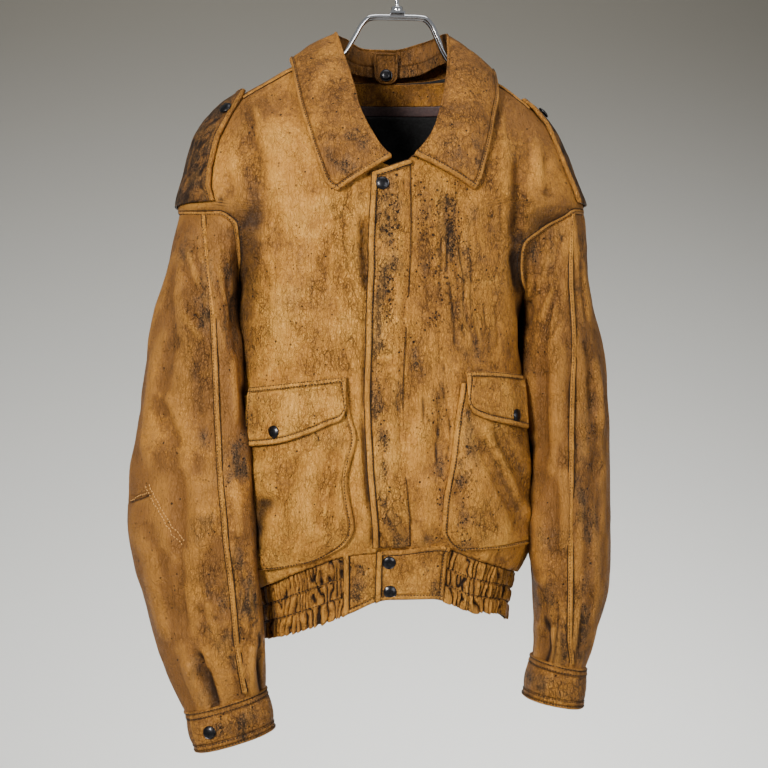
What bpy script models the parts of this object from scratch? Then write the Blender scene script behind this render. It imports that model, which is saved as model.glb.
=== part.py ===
"""Worn leather flight jacket hanging on a chrome wire hanger.

Metres, +Z up. +X is the wearer's left, -Y is the jacket's front. The origin is
the inside top of the hanger's hook, where a rail carries it.
Every cloth piece is a thin closed wall. The torso is a stack of rings; each
panel is a patch of that ring surface between two edges given row by row, and
what is sewn on a panel is made from the panel's own surface, moved out.
"""
import math

import bmesh
import bpy
import numpy as np

# ------------------------------------------------------------------ sizes
WALL = 0.0018            # one layer of leather with its backing
WALL_DOUBLE = 0.0026     # turned and stitched pieces: collar, cuffs, flaps
WALL_LINING = 0.0010
SEAM_GAP = 0.0003
FRONT_X = -0.0175        # centre front line at the placket
PLAIN_X, TAB_X = -0.0710, 0.0450   # where the waistband's gathers begin
TAB_EDGE_X = -0.0340     # free edge of the waist tab
WELT_WIDTH = 0.0068      # flat strip over the long sleeve seam
ROD_RADIUS = 0.0026
HOOK_INNER_RADIUS = 0.020
SNAP_RADIUS = 0.0078
SNAP_HEIGHT = 0.0032

# Torso rings, top to bottom. left/right: side edges at mid depth; front/back:
# depth of the ring; widen: how much wider its back half is on each side;
# flare: the same, but only towards the back's corners, where the sleeves start;
# square: exponent of the ring's outline, 2 is an ellipse.
TORSO_COLUMNS = ("z", "left", "right", "front", "back", "widen", "flare", "square")
TORSO = [
    (-0.1290, -0.0945, 0.0800, 0.018, 0.050, 0.000, 0.000, 2.2),
    (-0.1340, -0.1020, 0.0862, 0.026, 0.064, 0.000, 0.000, 2.2),
    (-0.1432, -0.1220, 0.0960, 0.036, 0.076, 0.000, 0.000, 2.2),
    (-0.1603, -0.1523, 0.1185, 0.048, 0.086, 0.000, 0.000, 2.3),
    (-0.1824, -0.1905, 0.1475, 0.060, 0.092, 0.000, 0.000, 2.3),
    (-0.2031, -0.2180, 0.1735, 0.073, 0.096, 0.000, 0.000, 2.3),
    (-0.2335, -0.2400, 0.1950, 0.094, 0.100, 0.000, 0.000, 2.4),
    (-0.2580, -0.2480, 0.2050, 0.110, 0.103, 0.000, 0.000, 2.4),
    (-0.2811, -0.2540, 0.2130, 0.120, 0.105, 0.000, 0.000, 2.4),
    (-0.3237, -0.2640, 0.2270, 0.126, 0.107, 0.000, 0.000, 2.4),
    (-0.3457, -0.2400, 0.2000, 0.128, 0.108, 0.002, 0.016, 2.5),
    (-0.3676, -0.2190, 0.1780, 0.129, 0.109, 0.004, 0.028, 2.6),
    (-0.3981, -0.1970, 0.1580, 0.130, 0.110, 0.002, 0.034, 2.7),
    (-0.4285, -0.1842, 0.1432, 0.130, 0.110, 0.002, 0.032, 2.8),
    (-0.4773, -0.1795, 0.1400, 0.130, 0.110, 0.005, 0.020, 2.8),
    (-0.5505, -0.1780, 0.1415, 0.131, 0.110, 0.010, 0.010, 2.8),
    (-0.6115, -0.1760, 0.1450, 0.134, 0.111, 0.010, 0.005, 2.8),
    (-0.6725, -0.1740, 0.1495, 0.138, 0.112, 0.010, 0.000, 2.7),
    (-0.7100, -0.1730, 0.1500, 0.136, 0.111, 0.010, 0.000, 2.6),
    (-0.7350, -0.1710, 0.1450, 0.128, 0.107, 0.008, 0.000, 2.5),
    (-0.7530, -0.1680, 0.1390, 0.118, 0.100, 0.006, 0.000, 2.4),
    (-0.7800, -0.1650, 0.1340, 0.113, 0.096, 0.004, 0.000, 2.4),
    (-0.8396, -0.1620, 0.1270, 0.108, 0.092, 0.002, 0.000, 2.4),
]
# The seam above the waistband and the hem, round the ring. Angle 0 is the
# wearer's left side, 90 the back, 180 the wearer's right side, 270 the front.
WAIST_COLUMNS = ("angle", "seam", "hem")
WAIST = [
    (0.0, -0.7600, -0.8180),
    (45.0, -0.7600, -0.8160),
    (90.0, -0.7620, -0.8010),
    (135.0, -0.7700, -0.8200),
    (180.0, -0.7780, -0.8360),
    (208.0, -0.7640, -0.8290),
    (235.0, -0.7430, -0.8140),
    (255.0, -0.7280, -0.7960),
    (270.0, -0.7240, -0.7800),
    (284.0, -0.7200, -0.7800),
    (305.0, -0.7360, -0.7970),
    (330.0, -0.7500, -0.8040),
    (360.0, -0.7600, -0.8180),
]
WAIST_REFERENCE = -0.7450

# Armhole edge, from the shoulder point to the underarm, on the front of the
# ring and on its back.
ARM_COLUMNS = ("x", "z")
ARM_RIGHT = [   # the wearer's right
    (None, -0.3262), (-0.2501, -0.3300), (-0.2331, -0.3326), (-0.2143, -0.3334),
    (-0.2003, -0.3437), (-0.1960, -0.3606), (-0.1935, -0.3806),
    (-0.1910, -0.4052), (None, -0.4293),
]
ARM_RIGHT_BACK = [
    (None, -0.3262), (-0.2540, -0.3280), (-0.2420, -0.3350), (-0.2320, -0.3450),
    (-0.2230, -0.3570), (-0.2150, -0.3710), (-0.2070, -0.3880),
    (-0.1990, -0.4070), (None, -0.4293),
]
ARM_LEFT = [    # the wearer's left
    (None, -0.3228), (0.2190, -0.3241), (0.2049, -0.3255), (0.1846, -0.3377),
    (0.1620, -0.3515), (0.1440, -0.3658), (0.1400, -0.3852),
    (0.1400, -0.4055), (None, -0.4278),
]
ARM_LEFT_BACK = [
    (None, -0.3228), (0.2170, -0.3250), (0.2060, -0.3320), (0.1960, -0.3420),
    (0.1870, -0.3540), (0.1790, -0.3690), (0.1710, -0.3860),
    (0.1620, -0.4050), (None, -0.4278),
]
# Rows of the front panels above the armhole: outer z on the shoulder line,
# inner x and z on the neckline (the first one on the centre front).
YOKE_COLUMNS = ("outer_z", "inner_x", "inner_z")
YOKE_RIGHT = [
    (-0.2950, FRONT_X, -0.2830), (-0.2600, -0.0300, -0.2755),
    (-0.2320, -0.0440, -0.2650), (-0.2100, -0.0580, -0.2510),
    (-0.1920, -0.0700, -0.2350), (-0.1760, -0.0800, -0.2170),
    (-0.1620, -0.0880, -0.1960), (-0.1500, -0.0950, -0.1700),
    (-0.1410, -0.1000, -0.1500),
]
YOKE_LEFT = [
    (-0.2950, FRONT_X, -0.2830), (-0.2600, -0.0040, -0.2755),
    (-0.2320, 0.0120, -0.2650), (-0.2100, 0.0280, -0.2510),
    (-0.1920, 0.0420, -0.2350), (-0.1760, 0.0540, -0.2170),
    (-0.1620, 0.0640, -0.1960), (-0.1500, 0.0730, -0.1700),
    (-0.1410, 0.0800, -0.1500),
]
# Rows of the panels below the armhole: z on the side seam, z at the centre.
SIDE_COLUMNS = ("outer_z", "inner_z")
SIDE = [(-0.7480, -0.7020), (-0.7220, -0.6740), (-0.6860, -0.6420),
        (-0.6440, -0.6060), (-0.5980, -0.5680), (-0.5500, -0.5300),
        (-0.5060, -0.4940), (-0.4660, -0.4600)]
ARM_INNER_Z = [-0.3080, -0.3170, -0.3260, -0.3370, -0.3500, -0.3660, -0.3840,
               -0.4050, -0.4290]

# Sleeve rings from armhole to cuff: the outer and inner points seen from the
# front, middle depth, half depth, how far the inner end sits forward of the
# outer end, and where the piped seam runs across the front (0 outer, 1 inner).
SLEEVE_COLUMNS = ("t", "out_x", "out_z", "in_x", "in_z", "mid_y", "half_y",
                  "forward", "welt")
SLEEVE_RIGHT = [
    (0.00, -0.2654, -0.3290, -0.1900, -0.4200, -0.008, 0.078, 0.000, 0.44),
    (0.04, -0.2690, -0.3464, -0.1935, -0.4300, -0.010, 0.077, 0.010, 0.50),
    (0.13, -0.2798, -0.3935, -0.1925, -0.4640, -0.018, 0.070, 0.024, 0.63),
    (0.22, -0.2942, -0.4418, -0.1905, -0.4980, -0.026, 0.063, 0.034, 0.69),
    (0.33, -0.3061, -0.5033, -0.1875, -0.5498, -0.032, 0.057, 0.040, 0.72),
    (0.45, -0.3151, -0.5681, -0.1829, -0.5908, -0.036, 0.053, 0.042, 0.73),
    (0.57, -0.3231, -0.6397, -0.1782, -0.6433, -0.039, 0.051, 0.042, 0.74),
    (0.68, -0.3251, -0.7002, -0.1748, -0.6967, -0.042, 0.050, 0.041, 0.76),
    (0.77, -0.3165, -0.7521, -0.1705, -0.7434, -0.044, 0.050, 0.038, 0.76),
    (0.85, -0.3021, -0.7968, -0.1650, -0.7878, -0.046, 0.049, 0.034, 0.74),
    (0.93, -0.2860, -0.8469, -0.1630, -0.8306, -0.047, 0.046, 0.026, 0.73),
    (0.975, -0.2689, -0.8914, -0.1610, -0.8680, -0.047, 0.041, 0.018, 0.73),
    (1.00, -0.2545, -0.9150, -0.1607, -0.8870, -0.047, 0.036, 0.012, 0.73),
]
SLEEVE_LEFT = [
    (0.00, 0.2270, -0.3250, 0.1500, -0.4200, -0.006, 0.074, 0.000, 0.45),
    (0.04, 0.2290, -0.3437, 0.1492, -0.4285, -0.008, 0.074, 0.004, 0.42),
    (0.13, 0.2305, -0.3905, 0.1480, -0.4620, -0.013, 0.072, 0.008, 0.40),
    (0.22, 0.2370, -0.4274, 0.1485, -0.5000, -0.017, 0.070, 0.012, 0.42),
    (0.33, 0.2487, -0.4829, 0.1510, -0.5504, -0.021, 0.069, 0.014, 0.50),
    (0.45, 0.2545, -0.5384, 0.1545, -0.5930, -0.025, 0.068, 0.015, 0.56),
    (0.57, 0.2590, -0.6248, 0.1565, -0.6500, -0.029, 0.067, 0.015, 0.60),
    (0.68, 0.2583, -0.6900, 0.1580, -0.7000, -0.033, 0.066, 0.014, 0.62),
    (0.77, 0.2570, -0.7400, 0.1588, -0.7400, -0.036, 0.064, 0.013, 0.62),
    (0.85, 0.2520, -0.7850, 0.1600, -0.7830, -0.038, 0.061, 0.012, 0.61),
    (0.93, 0.2340, -0.8380, 0.1620, -0.8240, -0.040, 0.056, 0.010, 0.54),
    (0.975, 0.2258, -0.8600, 0.1635, -0.8460, -0.041, 0.051, 0.008, 0.46),
    (1.00, 0.2228, -0.8690, 0.1615, -0.8555, -0.041, 0.046, 0.006, 0.40),
]
# Cuff rings from the sleeve down.
CUFF_COLUMNS = ("out_x", "out_z", "in_x", "in_z", "mid_y", "half_y")
CUFF_RIGHT = [
    (-0.2570, -0.9158, -0.1597, -0.8880, -0.047, 0.0385),
    (-0.2508, -0.9431, -0.1540, -0.9115, -0.047, 0.0385),
    (-0.2440, -0.9640, -0.1490, -0.9370, -0.047, 0.0390),
]
CUFF_LEFT = [
    (0.2233, -0.8706, 0.1590, -0.8566, -0.041, 0.048),
    (0.2205, -0.8990, 0.1530, -0.8830, -0.041, 0.048),
    (0.2190, -0.9190, 0.1478, -0.9055, -0.041, 0.049),
]

# Collar sections from the wearer's right front end, round the back of the
# neck, to the left front end. fold is the top roll, edge the outer edge;
# lift is the edge's height off the torso, bulge the leaf's fullness.
COLLAR_COLUMNS = ("fold_x", "fold_y", "fold_z", "edge_x", "edge_z", "side",
                  "lift", "bulge")
FRONT, SIDE_LINE, BACK = -1, 0, 1
COLLAR = [
    (-0.0182, -0.1270, -0.2713, -0.0811, -0.3112, FRONT, 0.006, 0.005),
    (-0.0304, -0.1240, -0.2579, -0.0934, -0.3029, FRONT, 0.006, 0.007),
    (-0.0410, -0.1120, -0.2390, -0.1020, -0.2810, FRONT, 0.007, 0.009),
    (-0.0523, -0.0930, -0.2116, -0.1127, -0.2431, FRONT, 0.007, 0.010),
    (-0.0610, -0.0640, -0.1704, -0.1221, -0.2062, FRONT, 0.008, 0.011),
    (-0.0689, -0.0340, -0.1382, -0.1280, -0.1709, FRONT, 0.013, 0.008),
    (-0.0765, 0.0080, -0.1024, -0.1310, -0.1385, SIDE_LINE, 0.007, 0.003),
    (-0.0616, 0.0500, -0.1021, -0.1040, -0.1540, BACK, 0.011, 0.002),
    (-0.0371, 0.0780, -0.1086, -0.0627, -0.1660, BACK, 0.012, 0.008),
    (0.0020, 0.0880, -0.1085, 0.0020, -0.1750, BACK, 0.012, 0.007),
    (0.0400, 0.0780, -0.1010, 0.0700, -0.1680, BACK, 0.012, 0.008),
    (0.0582, 0.0450, -0.0985, 0.1000, -0.1600, BACK, 0.011, 0.002),
    (0.0640, 0.0080, -0.1036, 0.1200, -0.1495, SIDE_LINE, 0.011, 0.003),
    (0.0606, -0.0340, -0.1396, 0.1176, -0.1864, FRONT, 0.013, 0.008),
    (0.0537, -0.0640, -0.1757, 0.1087, -0.2183, FRONT, 0.008, 0.011),
    (0.0431, -0.0930, -0.2090, 0.1008, -0.2485, FRONT, 0.007, 0.010),
    (0.0325, -0.1120, -0.2369, 0.0924, -0.2765, FRONT, 0.007, 0.009),
    (0.0206, -0.1240, -0.2550, 0.0850, -0.2987, FRONT, 0.006, 0.007),
    (0.0084, -0.1290, -0.2686, 0.0786, -0.3073, FRONT, 0.006, 0.005),
]

# Storm flap over the centre front: left and right edges down its length.
FLAP_COLUMNS = ("z", "left", "right")
FLAP = [(-0.2905, -0.0395, 0.0045), (-0.3400, -0.0420, 0.0045),
        (-0.3900, -0.0440, 0.0030), (-0.4353, -0.0450, 0.0014),
        (-0.4900, -0.0465, -0.0030), (-0.5493, -0.0479, -0.0050),
        (-0.6000, -0.0470, -0.0050), (-0.6500, -0.0430, -0.0010),
        (-0.6900, -0.0395, 0.0020), (-0.7160, -0.0380, 0.0035)]

# Pockets: rows of left and right edges. lift is the pocket's fullness.
POCKET_COLUMNS = ("left", "left_z", "right", "right_z")
BAG_RIGHT = [(-0.1660, -0.5440, -0.0690, -0.5400), (-0.1665, -0.5700, -0.0650, -0.5680),
             (-0.1665, -0.5980, -0.0590, -0.5937), (-0.1665, -0.6450, -0.0690, -0.6415),
             (-0.1655, -0.6980, -0.0615, -0.6929), (-0.1650, -0.7200, -0.0690, -0.7110),
             (-0.1645, -0.7390, -0.0860, -0.7230), (-0.1640, -0.7500, -0.1150, -0.7340)]
BAG_LEFT = [(0.0620, -0.5300, 0.1330, -0.5330), (0.0550, -0.5720, 0.1360, -0.5740),
            (0.0490, -0.6206, 0.1390, -0.6220), (0.0400, -0.6668, 0.1410, -0.6690),
            (0.0380, -0.6960, 0.1410, -0.6980), (0.0470, -0.7130, 0.1390, -0.7140),
            (0.0640, -0.7215, 0.1365, -0.7205)]
# Flaps: top and bottom edges across.
POCKET_FLAP_COLUMNS = ("x", "top", "bottom")
POCKET_FLAP_RIGHT = [(-0.1670, -0.5345, -0.6035), (-0.1411, -0.5310, -0.5995),
                     (-0.1118, -0.5275, -0.5890), (-0.0900, -0.5250, -0.5790),
                     (-0.0765, -0.5235, -0.5731), (-0.0700, -0.5230, -0.5640)]
POCKET_FLAP_LEFT = [(0.0660, -0.5175, -0.5560), (0.0720, -0.5165, -0.5650),
                    (0.0880, -0.5165, -0.5725), (0.1120, -0.5180, -0.5790),
                    (0.1320, -0.5205, -0.5850)]

# Epaulettes: rows from the pointed tip to the armhole seam: the ring angle of
# the edge behind the shoulder line and x of the edge in front of it.
EPAULETTE_COLUMNS = ("z", "behind", "front_x")
EPAULETTE_RIGHT = [(-0.1810, 176.0, -0.1830), (-0.1925, 173.0, -0.1880),
                   (-0.2120, 172.0, -0.1990), (-0.2430, 171.0, -0.2135),
                   (-0.2800, 170.0, -0.2220), (-0.3020, 170.0, -0.2235),
                   (-0.3190, 170.0, -0.2190)]
EPAULETTE_LEFT = [(-0.1880, 366.0, 0.1480), (-0.1985, 376.0, 0.1610),
                  (-0.2195, 380.0, 0.1755), (-0.2500, 380.0, 0.1850),
                  (-0.2810, 380.0, 0.1960), (-0.3020, 380.0, 0.2050),
                  (-0.3150, 380.0, 0.2095)]

# Snap caps on the front: place, and how far the cap's seat is off the torso.
SNAP_COLUMNS = ("x", "z", "seat")
SNAPS = {
    "snap_flap_top": (-0.0292, -0.3021, 0.0048),
    "snap_waist_upper": (-0.0205, -0.7354, 0.0016),
    "snap_waist_lower": (-0.0189, -0.7703, 0.0008),
    "snap_pocket_right": (-0.1433, -0.5862, 0.0134),
    "snap_pocket_left": (0.1195, -0.5686, 0.0136),
    "snap_epaulette_right": (-0.2045, -0.2085, 0.0060),
}

# Hanger wire, centre line, right of the middle and left of the middle.
HANGER_COLUMNS = ("x", "z", "half_gap")
HANGER_TOP_Z = -0.0840
HANGER_WIRE = [
    (-0.1960, -0.2030, 0.0120), (-0.1500, -0.1800, 0.0110),
    (-0.1080, -0.1590, 0.0090), (-0.0790, -0.1425, 0.0075),
    (-0.0640, -0.1280, 0.0070), (-0.0510, -0.1070, 0.0065),
    (-0.0420, -0.0920, 0.0060), (-0.0330, -0.0850, 0.0058),
    (-0.0200, -0.0838, 0.0056), (0.0000, -0.0838, 0.0056),
    (0.0200, -0.0838, 0.0056), (0.0330, -0.0850, 0.0058),
    (0.0420, -0.0930, 0.0060), (0.0500, -0.1100, 0.0063),
    (0.0605, -0.1310, 0.0066), (0.0760, -0.1490, 0.0072),
    (0.1000, -0.1680, 0.0085), (0.1260, -0.1865, 0.0095),
    (0.1480, -0.2030, 0.0100),
]


# ------------------------------------------------------------- small tools
def column(table, columns, name):
    at = columns.index(name)
    return np.array([row[at] for row in table], float)


def smooth_read(xs, ys, x):
    """Cubic through the table's rows, with slopes limited so that it never
    overshoots them."""
    xs, ys = np.asarray(xs, float), np.asarray(ys, float)
    if xs[0] > xs[-1]:
        xs, ys = xs[::-1], ys[::-1]
    x = np.clip(np.asarray(x, float), xs[0], xs[-1])
    h = np.diff(xs)
    d = np.diff(ys) / h
    m = np.zeros(len(xs))
    m[0], m[-1] = d[0], d[-1]
    for i in range(1, len(xs) - 1):
        if d[i - 1] * d[i] > 0:
            w1, w2 = 2 * h[i] + h[i - 1], h[i] + 2 * h[i - 1]
            m[i] = (w1 + w2) / (w1 / d[i - 1] + w2 / d[i])
    i = np.clip(np.searchsorted(xs, x, side="right") - 1, 0, len(h) - 1)
    t = (x - xs[i]) / h[i]
    return ((1 + 2 * t) * (1 - t) ** 2 * ys[i] + t * (1 - t) ** 2 * h[i] * m[i]
            + t * t * (3 - 2 * t) * ys[i + 1] + t * t * (t - 1) * h[i] * m[i + 1])


def step(a, b, x):
    t = np.clip((x - a) / (b - a), 0.0, 1.0)
    return t * t * (3 - 2 * t)


def unit(v):
    return v / np.maximum(np.linalg.norm(v, axis=-1, keepdims=True), 1e-12)


# ------------------------------------------------------------ torso surface
def torso_value(name, z):
    return smooth_read(column(TORSO, TORSO_COLUMNS, "z"),
                       column(TORSO, TORSO_COLUMNS, name), z)


def waist(name, phi):
    angle = np.degrees(np.asarray(phi, float)) % 360.0
    return smooth_read(column(WAIST, WAIST_COLUMNS, "angle"),
                       column(WAIST, WAIST_COLUMNS, name), angle)


def ring_z(phi, z):
    """The height at which the ring table is read, so that the narrow waist
    follows the waist seam as it rises towards the centre front."""
    return z + (WAIST_REFERENCE - waist("seam", phi)) * step(-0.62, -0.70, z)


def torso(phi, z):
    phi, z = np.broadcast_arrays(np.asarray(phi, float), np.asarray(z, float))
    zz = ring_z(phi, z)
    left, right = torso_value("left", zz), torso_value("right", zz)
    c, s = np.cos(phi), np.sin(phi)
    power = 2.0 / torso_value("square", zz)
    half = ((right - left) / 2 + torso_value("widen", zz) * step(-0.35, 0.55, s)
            + torso_value("flare", zz) * step(0.10, 0.75, s))
    x = (left + right) / 2 + half * np.sign(c) * np.abs(c) ** power
    depth = np.where(s < 0, torso_value("front", zz), torso_value("back", zz))
    y = depth * np.sign(s) * np.abs(s) ** power
    return np.stack([x, y, z], -1)


def torso_normal(phi, z):
    e, f = 0.03, 0.003
    du = torso(np.asarray(phi) + e, z) - torso(np.asarray(phi) - e, z)
    dv = torso(phi, np.asarray(z) + f) - torso(phi, np.asarray(z) - f)
    return unit(np.cross(du, dv))


def phi_of(x, z, back=False):
    """The ring angle at which the front (or back) passes through x."""
    lo, hi = (0.0, math.pi) if back else (math.pi, 2 * math.pi)
    for _ in range(50):
        mid = (lo + hi) / 2
        right = float(torso(mid, z)[0]) > x
        if right == back:
            lo = mid
        else:
            hi = mid
    return (lo + hi) / 2


# ------------------------------------------------------------------ meshes
def clear_scene():
    for ob in list(bpy.data.objects):
        bpy.data.objects.remove(ob, do_unlink=True)


def material(name, colour, roughness, metallic=0.0):
    mat = bpy.data.materials.get(name)
    if mat is None:
        mat = bpy.data.materials.new(name)
        mat.use_nodes = True
        node = mat.node_tree.nodes["Principled BSDF"]
        node.inputs["Base Color"].default_value = (*colour, 1.0)
        node.inputs["Roughness"].default_value = roughness
        node.inputs["Metallic"].default_value = metallic
        mat.diffuse_color = (*colour, 1.0)
    return mat


def leather():
    return material("tan_leather", (0.38, 0.19, 0.065), 0.62)


def leather_inside():
    return material("brown_facing_leather", (0.13, 0.055, 0.022), 0.5)


def lining():
    return material("black_lining", (0.012, 0.010, 0.010), 0.75)


def snap_metal():
    return material("gunmetal", (0.045, 0.047, 0.052), 0.28, 1.0)


def chrome():
    return material("chrome", (0.78, 0.78, 0.80), 0.08, 1.0)


def finish(name, bm, mat, sharp=35.0):
    bmesh.ops.recalc_face_normals(bm, faces=bm.faces)
    if bm.calc_volume(signed=True) < 0:
        bmesh.ops.reverse_faces(bm, faces=bm.faces)
    mesh = bpy.data.meshes.new(name)
    bm.to_mesh(mesh)
    bm.free()
    mesh.shade_smooth()
    mesh.set_sharp_from_angle(angle=math.radians(sharp))
    mesh.materials.append(mat)
    ob = bpy.data.objects.new(name, mesh)
    bpy.context.scene.collection.objects.link(ob)
    return ob


def wall(name, points, normals, thick, mat, round_=False):
    """A closed wall on a grid of points: rows x columns, its second face
    thick inside the first. round_ joins the last column to the first."""
    rows, cols = points.shape[:2]
    inner = points - normals * thick
    bm = bmesh.new()
    out = [[bm.verts.new(points[i, j]) for j in range(cols)] for i in range(rows)]
    ins = [[bm.verts.new(inner[i, j]) for j in range(cols)] for i in range(rows)]
    span = cols if round_ else cols - 1
    for i in range(rows - 1):
        for j in range(span):
            k = (j + 1) % cols
            bm.faces.new((out[i][j], out[i][k], out[i + 1][k], out[i + 1][j]))
            bm.faces.new((ins[i][j], ins[i + 1][j], ins[i + 1][k], ins[i][k]))
    for i in (0, rows - 1):
        for j in range(span):
            k = (j + 1) % cols
            bm.faces.new((out[i][j], ins[i][j], ins[i][k], out[i][k]))
    if not round_:
        for j in (0, cols - 1):
            for i in range(rows - 1):
                bm.faces.new((out[i][j], out[i + 1][j], ins[i + 1][j], ins[i][j]))
    return finish(name, bm, mat)


def pull_in(points, first=True, last=True, by=SEAM_GAP / 2, axis=1):
    """Moves a patch's edge rows or columns inwards by half the seam's gap."""
    p = np.swapaxes(points, 0, 1).copy() if axis == 1 else points.copy()
    if first:
        p[0] += unit(p[1] - p[0]) * by
    if last:
        p[-1] += unit(p[-2] - p[-1]) * by
    return np.swapaxes(p, 0, 1) if axis == 1 else p


def tube(name, path, radius, mat, sides=10, closed=False):
    """A round rod along a path, with flat capped ends unless it is closed."""
    path = np.asarray(path, float)
    n = len(path)
    if closed:
        tangent = unit(np.roll(path, -1, 0) - np.roll(path, 1, 0))
    else:
        tangent = unit(np.gradient(path, axis=0))
    side = unit(np.cross(tangent[0], (0.3, 1.0, 0.2)))
    bm = bmesh.new()
    rings = []
    for i in range(n):
        side = unit(side - tangent[i] * np.dot(side, tangent[i]))
        up = np.cross(tangent[i], side)
        rings.append([bm.verts.new(path[i] + radius * (math.cos(a) * side + math.sin(a) * up))
                      for a in np.linspace(0, 2 * math.pi, sides, endpoint=False)])
    for i in range(n if closed else n - 1):
        a, b = rings[i], rings[(i + 1) % n]
        shift = 0
        if closed and i == n - 1:
            shift = min(range(sides), key=lambda s: sum(
                (a[j].co - b[(j + s) % sides].co).length for j in range(sides)))
        for j in range(sides):
            k = (j + 1) % sides
            bm.faces.new((a[j], a[k], b[(k + shift) % sides], b[(j + shift) % sides]))
    if not closed:
        bm.faces.new(rings[0][::-1])
        bm.faces.new(rings[-1])
    return finish(name, bm, mat, 50)


def turned(name, centre, axis, profile, mat, sides=16):
    """A turned piece: profile rows are (radius, height along axis), closed on
    the axis at both ends."""
    axis = unit(np.asarray(axis, float))
    a = unit(np.cross(axis, (0.31, 0.17, 0.93)))
    b = np.cross(axis, a)
    bm = bmesh.new()
    rings = []
    for r, h in profile:
        base = np.asarray(centre) + axis * h
        if r < 1e-6:
            rings.append([bm.verts.new(base)])
        else:
            rings.append([bm.verts.new(base + r * (math.cos(t) * a + math.sin(t) * b))
                          for t in np.linspace(0, 2 * math.pi, sides, endpoint=False)])
    for p, q in zip(rings, rings[1:]):
        for j in range(sides):
            k = (j + 1) % sides
            if len(p) == 1:
                bm.faces.new((p[0], q[j], q[k]))
            elif len(q) == 1:
                bm.faces.new((p[j], q[0], p[k]))
            else:
                bm.faces.new((p[j], q[j], q[k], p[k]))
    return finish(name, bm, mat, 40)


# ------------------------------------------------------------------ panels
def armhole_points(table):
    """(phi, z) down the front edge and down the back edge."""
    right = table is ARM_RIGHT
    front = [(math.pi if right else 2 * math.pi, z) if x is None
             else (phi_of(x, z), z) for x, z in table]
    back = [(math.pi if right else 0.0, z) if x is None
            else (phi_of(x, z, back=True), z)
            for x, z in (ARM_RIGHT_BACK if right else ARM_LEFT_BACK)]
    return front, back


def front_rows(right_side):
    """Rows of a front panel, bottom to top: outer angle and z, inner angle
    and z, and the number of the armhole point at its outer end."""
    arm = ARM_RIGHT if right_side else ARM_LEFT
    yoke = YOKE_RIGHT if right_side else YOKE_LEFT
    side = math.pi if right_side else 2 * math.pi
    edge, _ = armhole_points(arm)
    seam = float(waist("seam", side)), float(waist("seam", phi_of(FRONT_X, -0.73)))
    rows = [(side, seam[0], phi_of(FRONT_X, seam[1]), seam[1], None)]
    for outer, inner in SIDE:
        rows.append((side, outer, phi_of(FRONT_X, inner), inner, None))
    for k in range(len(edge) - 1, -1, -1):
        z = ARM_INNER_Z[k]
        rows.append((edge[k][0], edge[k][1], phi_of(FRONT_X, z), z, k))
    for outer, x, z in yoke:
        rows.append((side, outer, phi_of(x, z), z, None))
    return rows


def front_panel(name, right_side, arm_normals, cols=9):
    rows = front_rows(right_side)
    s = np.linspace(0, 1, cols)
    seam_z = waist("seam", np.linspace(rows[0][0], rows[0][2], cols))
    pts, nrm = [], []
    for n, (p0, z0, p1, z1, k) in enumerate(rows):
        phi = p0 + (p1 - p0) * s
        z = z0 + (z1 - z0) * s
        if n < 3:   # the lowest rows follow the waist seam
            z = z + (seam_z - (rows[0][1] + (rows[0][3] - rows[0][1]) * s)) * (1 - n / 3)
        p, m = torso(phi, z), torso_normal(phi, z)
        if k is not None:
            m[0] = arm_normals[k]
        pts.append(p)
        nrm.append(m)
    pts, nrm = np.array(pts), np.array(nrm)
    if not right_side:
        pts, nrm = pts[:, ::-1], nrm[:, ::-1]
    pts = pull_in(pts, axis=1)
    pts = pull_in(pts, last=False, axis=0)
    return wall(name, pts, nrm, WALL, leather())


def back_panel(name, right_normals, left_normals, cols=17):
    _, right_edge = armhole_points(ARM_RIGHT)
    _, left_edge = armhole_points(ARM_LEFT)
    rows = [(math.pi, float(waist("seam", math.pi)), 0.0, float(waist("seam", 0.0)), None)]
    rows += [(math.pi, z, 0.0, z, None) for z, _ in SIDE]
    for k in range(len(right_edge) - 1, -1, -1):
        rows.append((*right_edge[k], *left_edge[k], k))
    rows += [(math.pi, z, 0.0, z, None) for z, _, _ in YOKE_RIGHT]
    s = np.linspace(0, 1, cols)
    seam_z = waist("seam", np.linspace(math.pi, 0.0, cols))
    pts, nrm = [], []
    for n, (p0, z0, p1, z1, k) in enumerate(rows):
        phi = p0 + (p1 - p0) * s
        z = z0 + (z1 - z0) * s
        if n < 3:
            z = z + (seam_z - (rows[0][1] + (rows[0][3] - rows[0][1]) * s)) * (1 - n / 3)
        # the neckline dips at the centre back and the rows under it follow
        z = z - 0.0090 * np.sin(math.pi * s) ** 2 * step(-0.25, -0.142, np.full(cols, (z0 + z1) / 2))
        p, m = torso(phi, z), torso_normal(phi, z)
        if k is not None:
            m[0], m[-1] = right_normals[k], left_normals[k]
        pts.append(p)
        nrm.append(m)
    pts, nrm = np.array(pts), np.array(nrm)
    pts = pull_in(pts, axis=1)
    pts = pull_in(pts, last=False, axis=0)
    return wall(name, pts, nrm, WALL, leather())


# ------------------------------------------------------------------ sleeves
def armhole_loop(table):
    """The armhole as a closed ring of points: shoulder point, down the front,
    underarm, up the back."""
    front, back = armhole_points(table)
    ring = front + back[-2:0:-1]
    phi = np.array([p for p, _ in ring])
    z = np.array([q for _, q in ring])
    return torso(phi, z), torso_normal(phi, z)


def sleeve_value(table, name, t):
    return smooth_read(column(table, SLEEVE_COLUMNS, "t"),
                       column(table, SLEEVE_COLUMNS, name), t)


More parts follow.
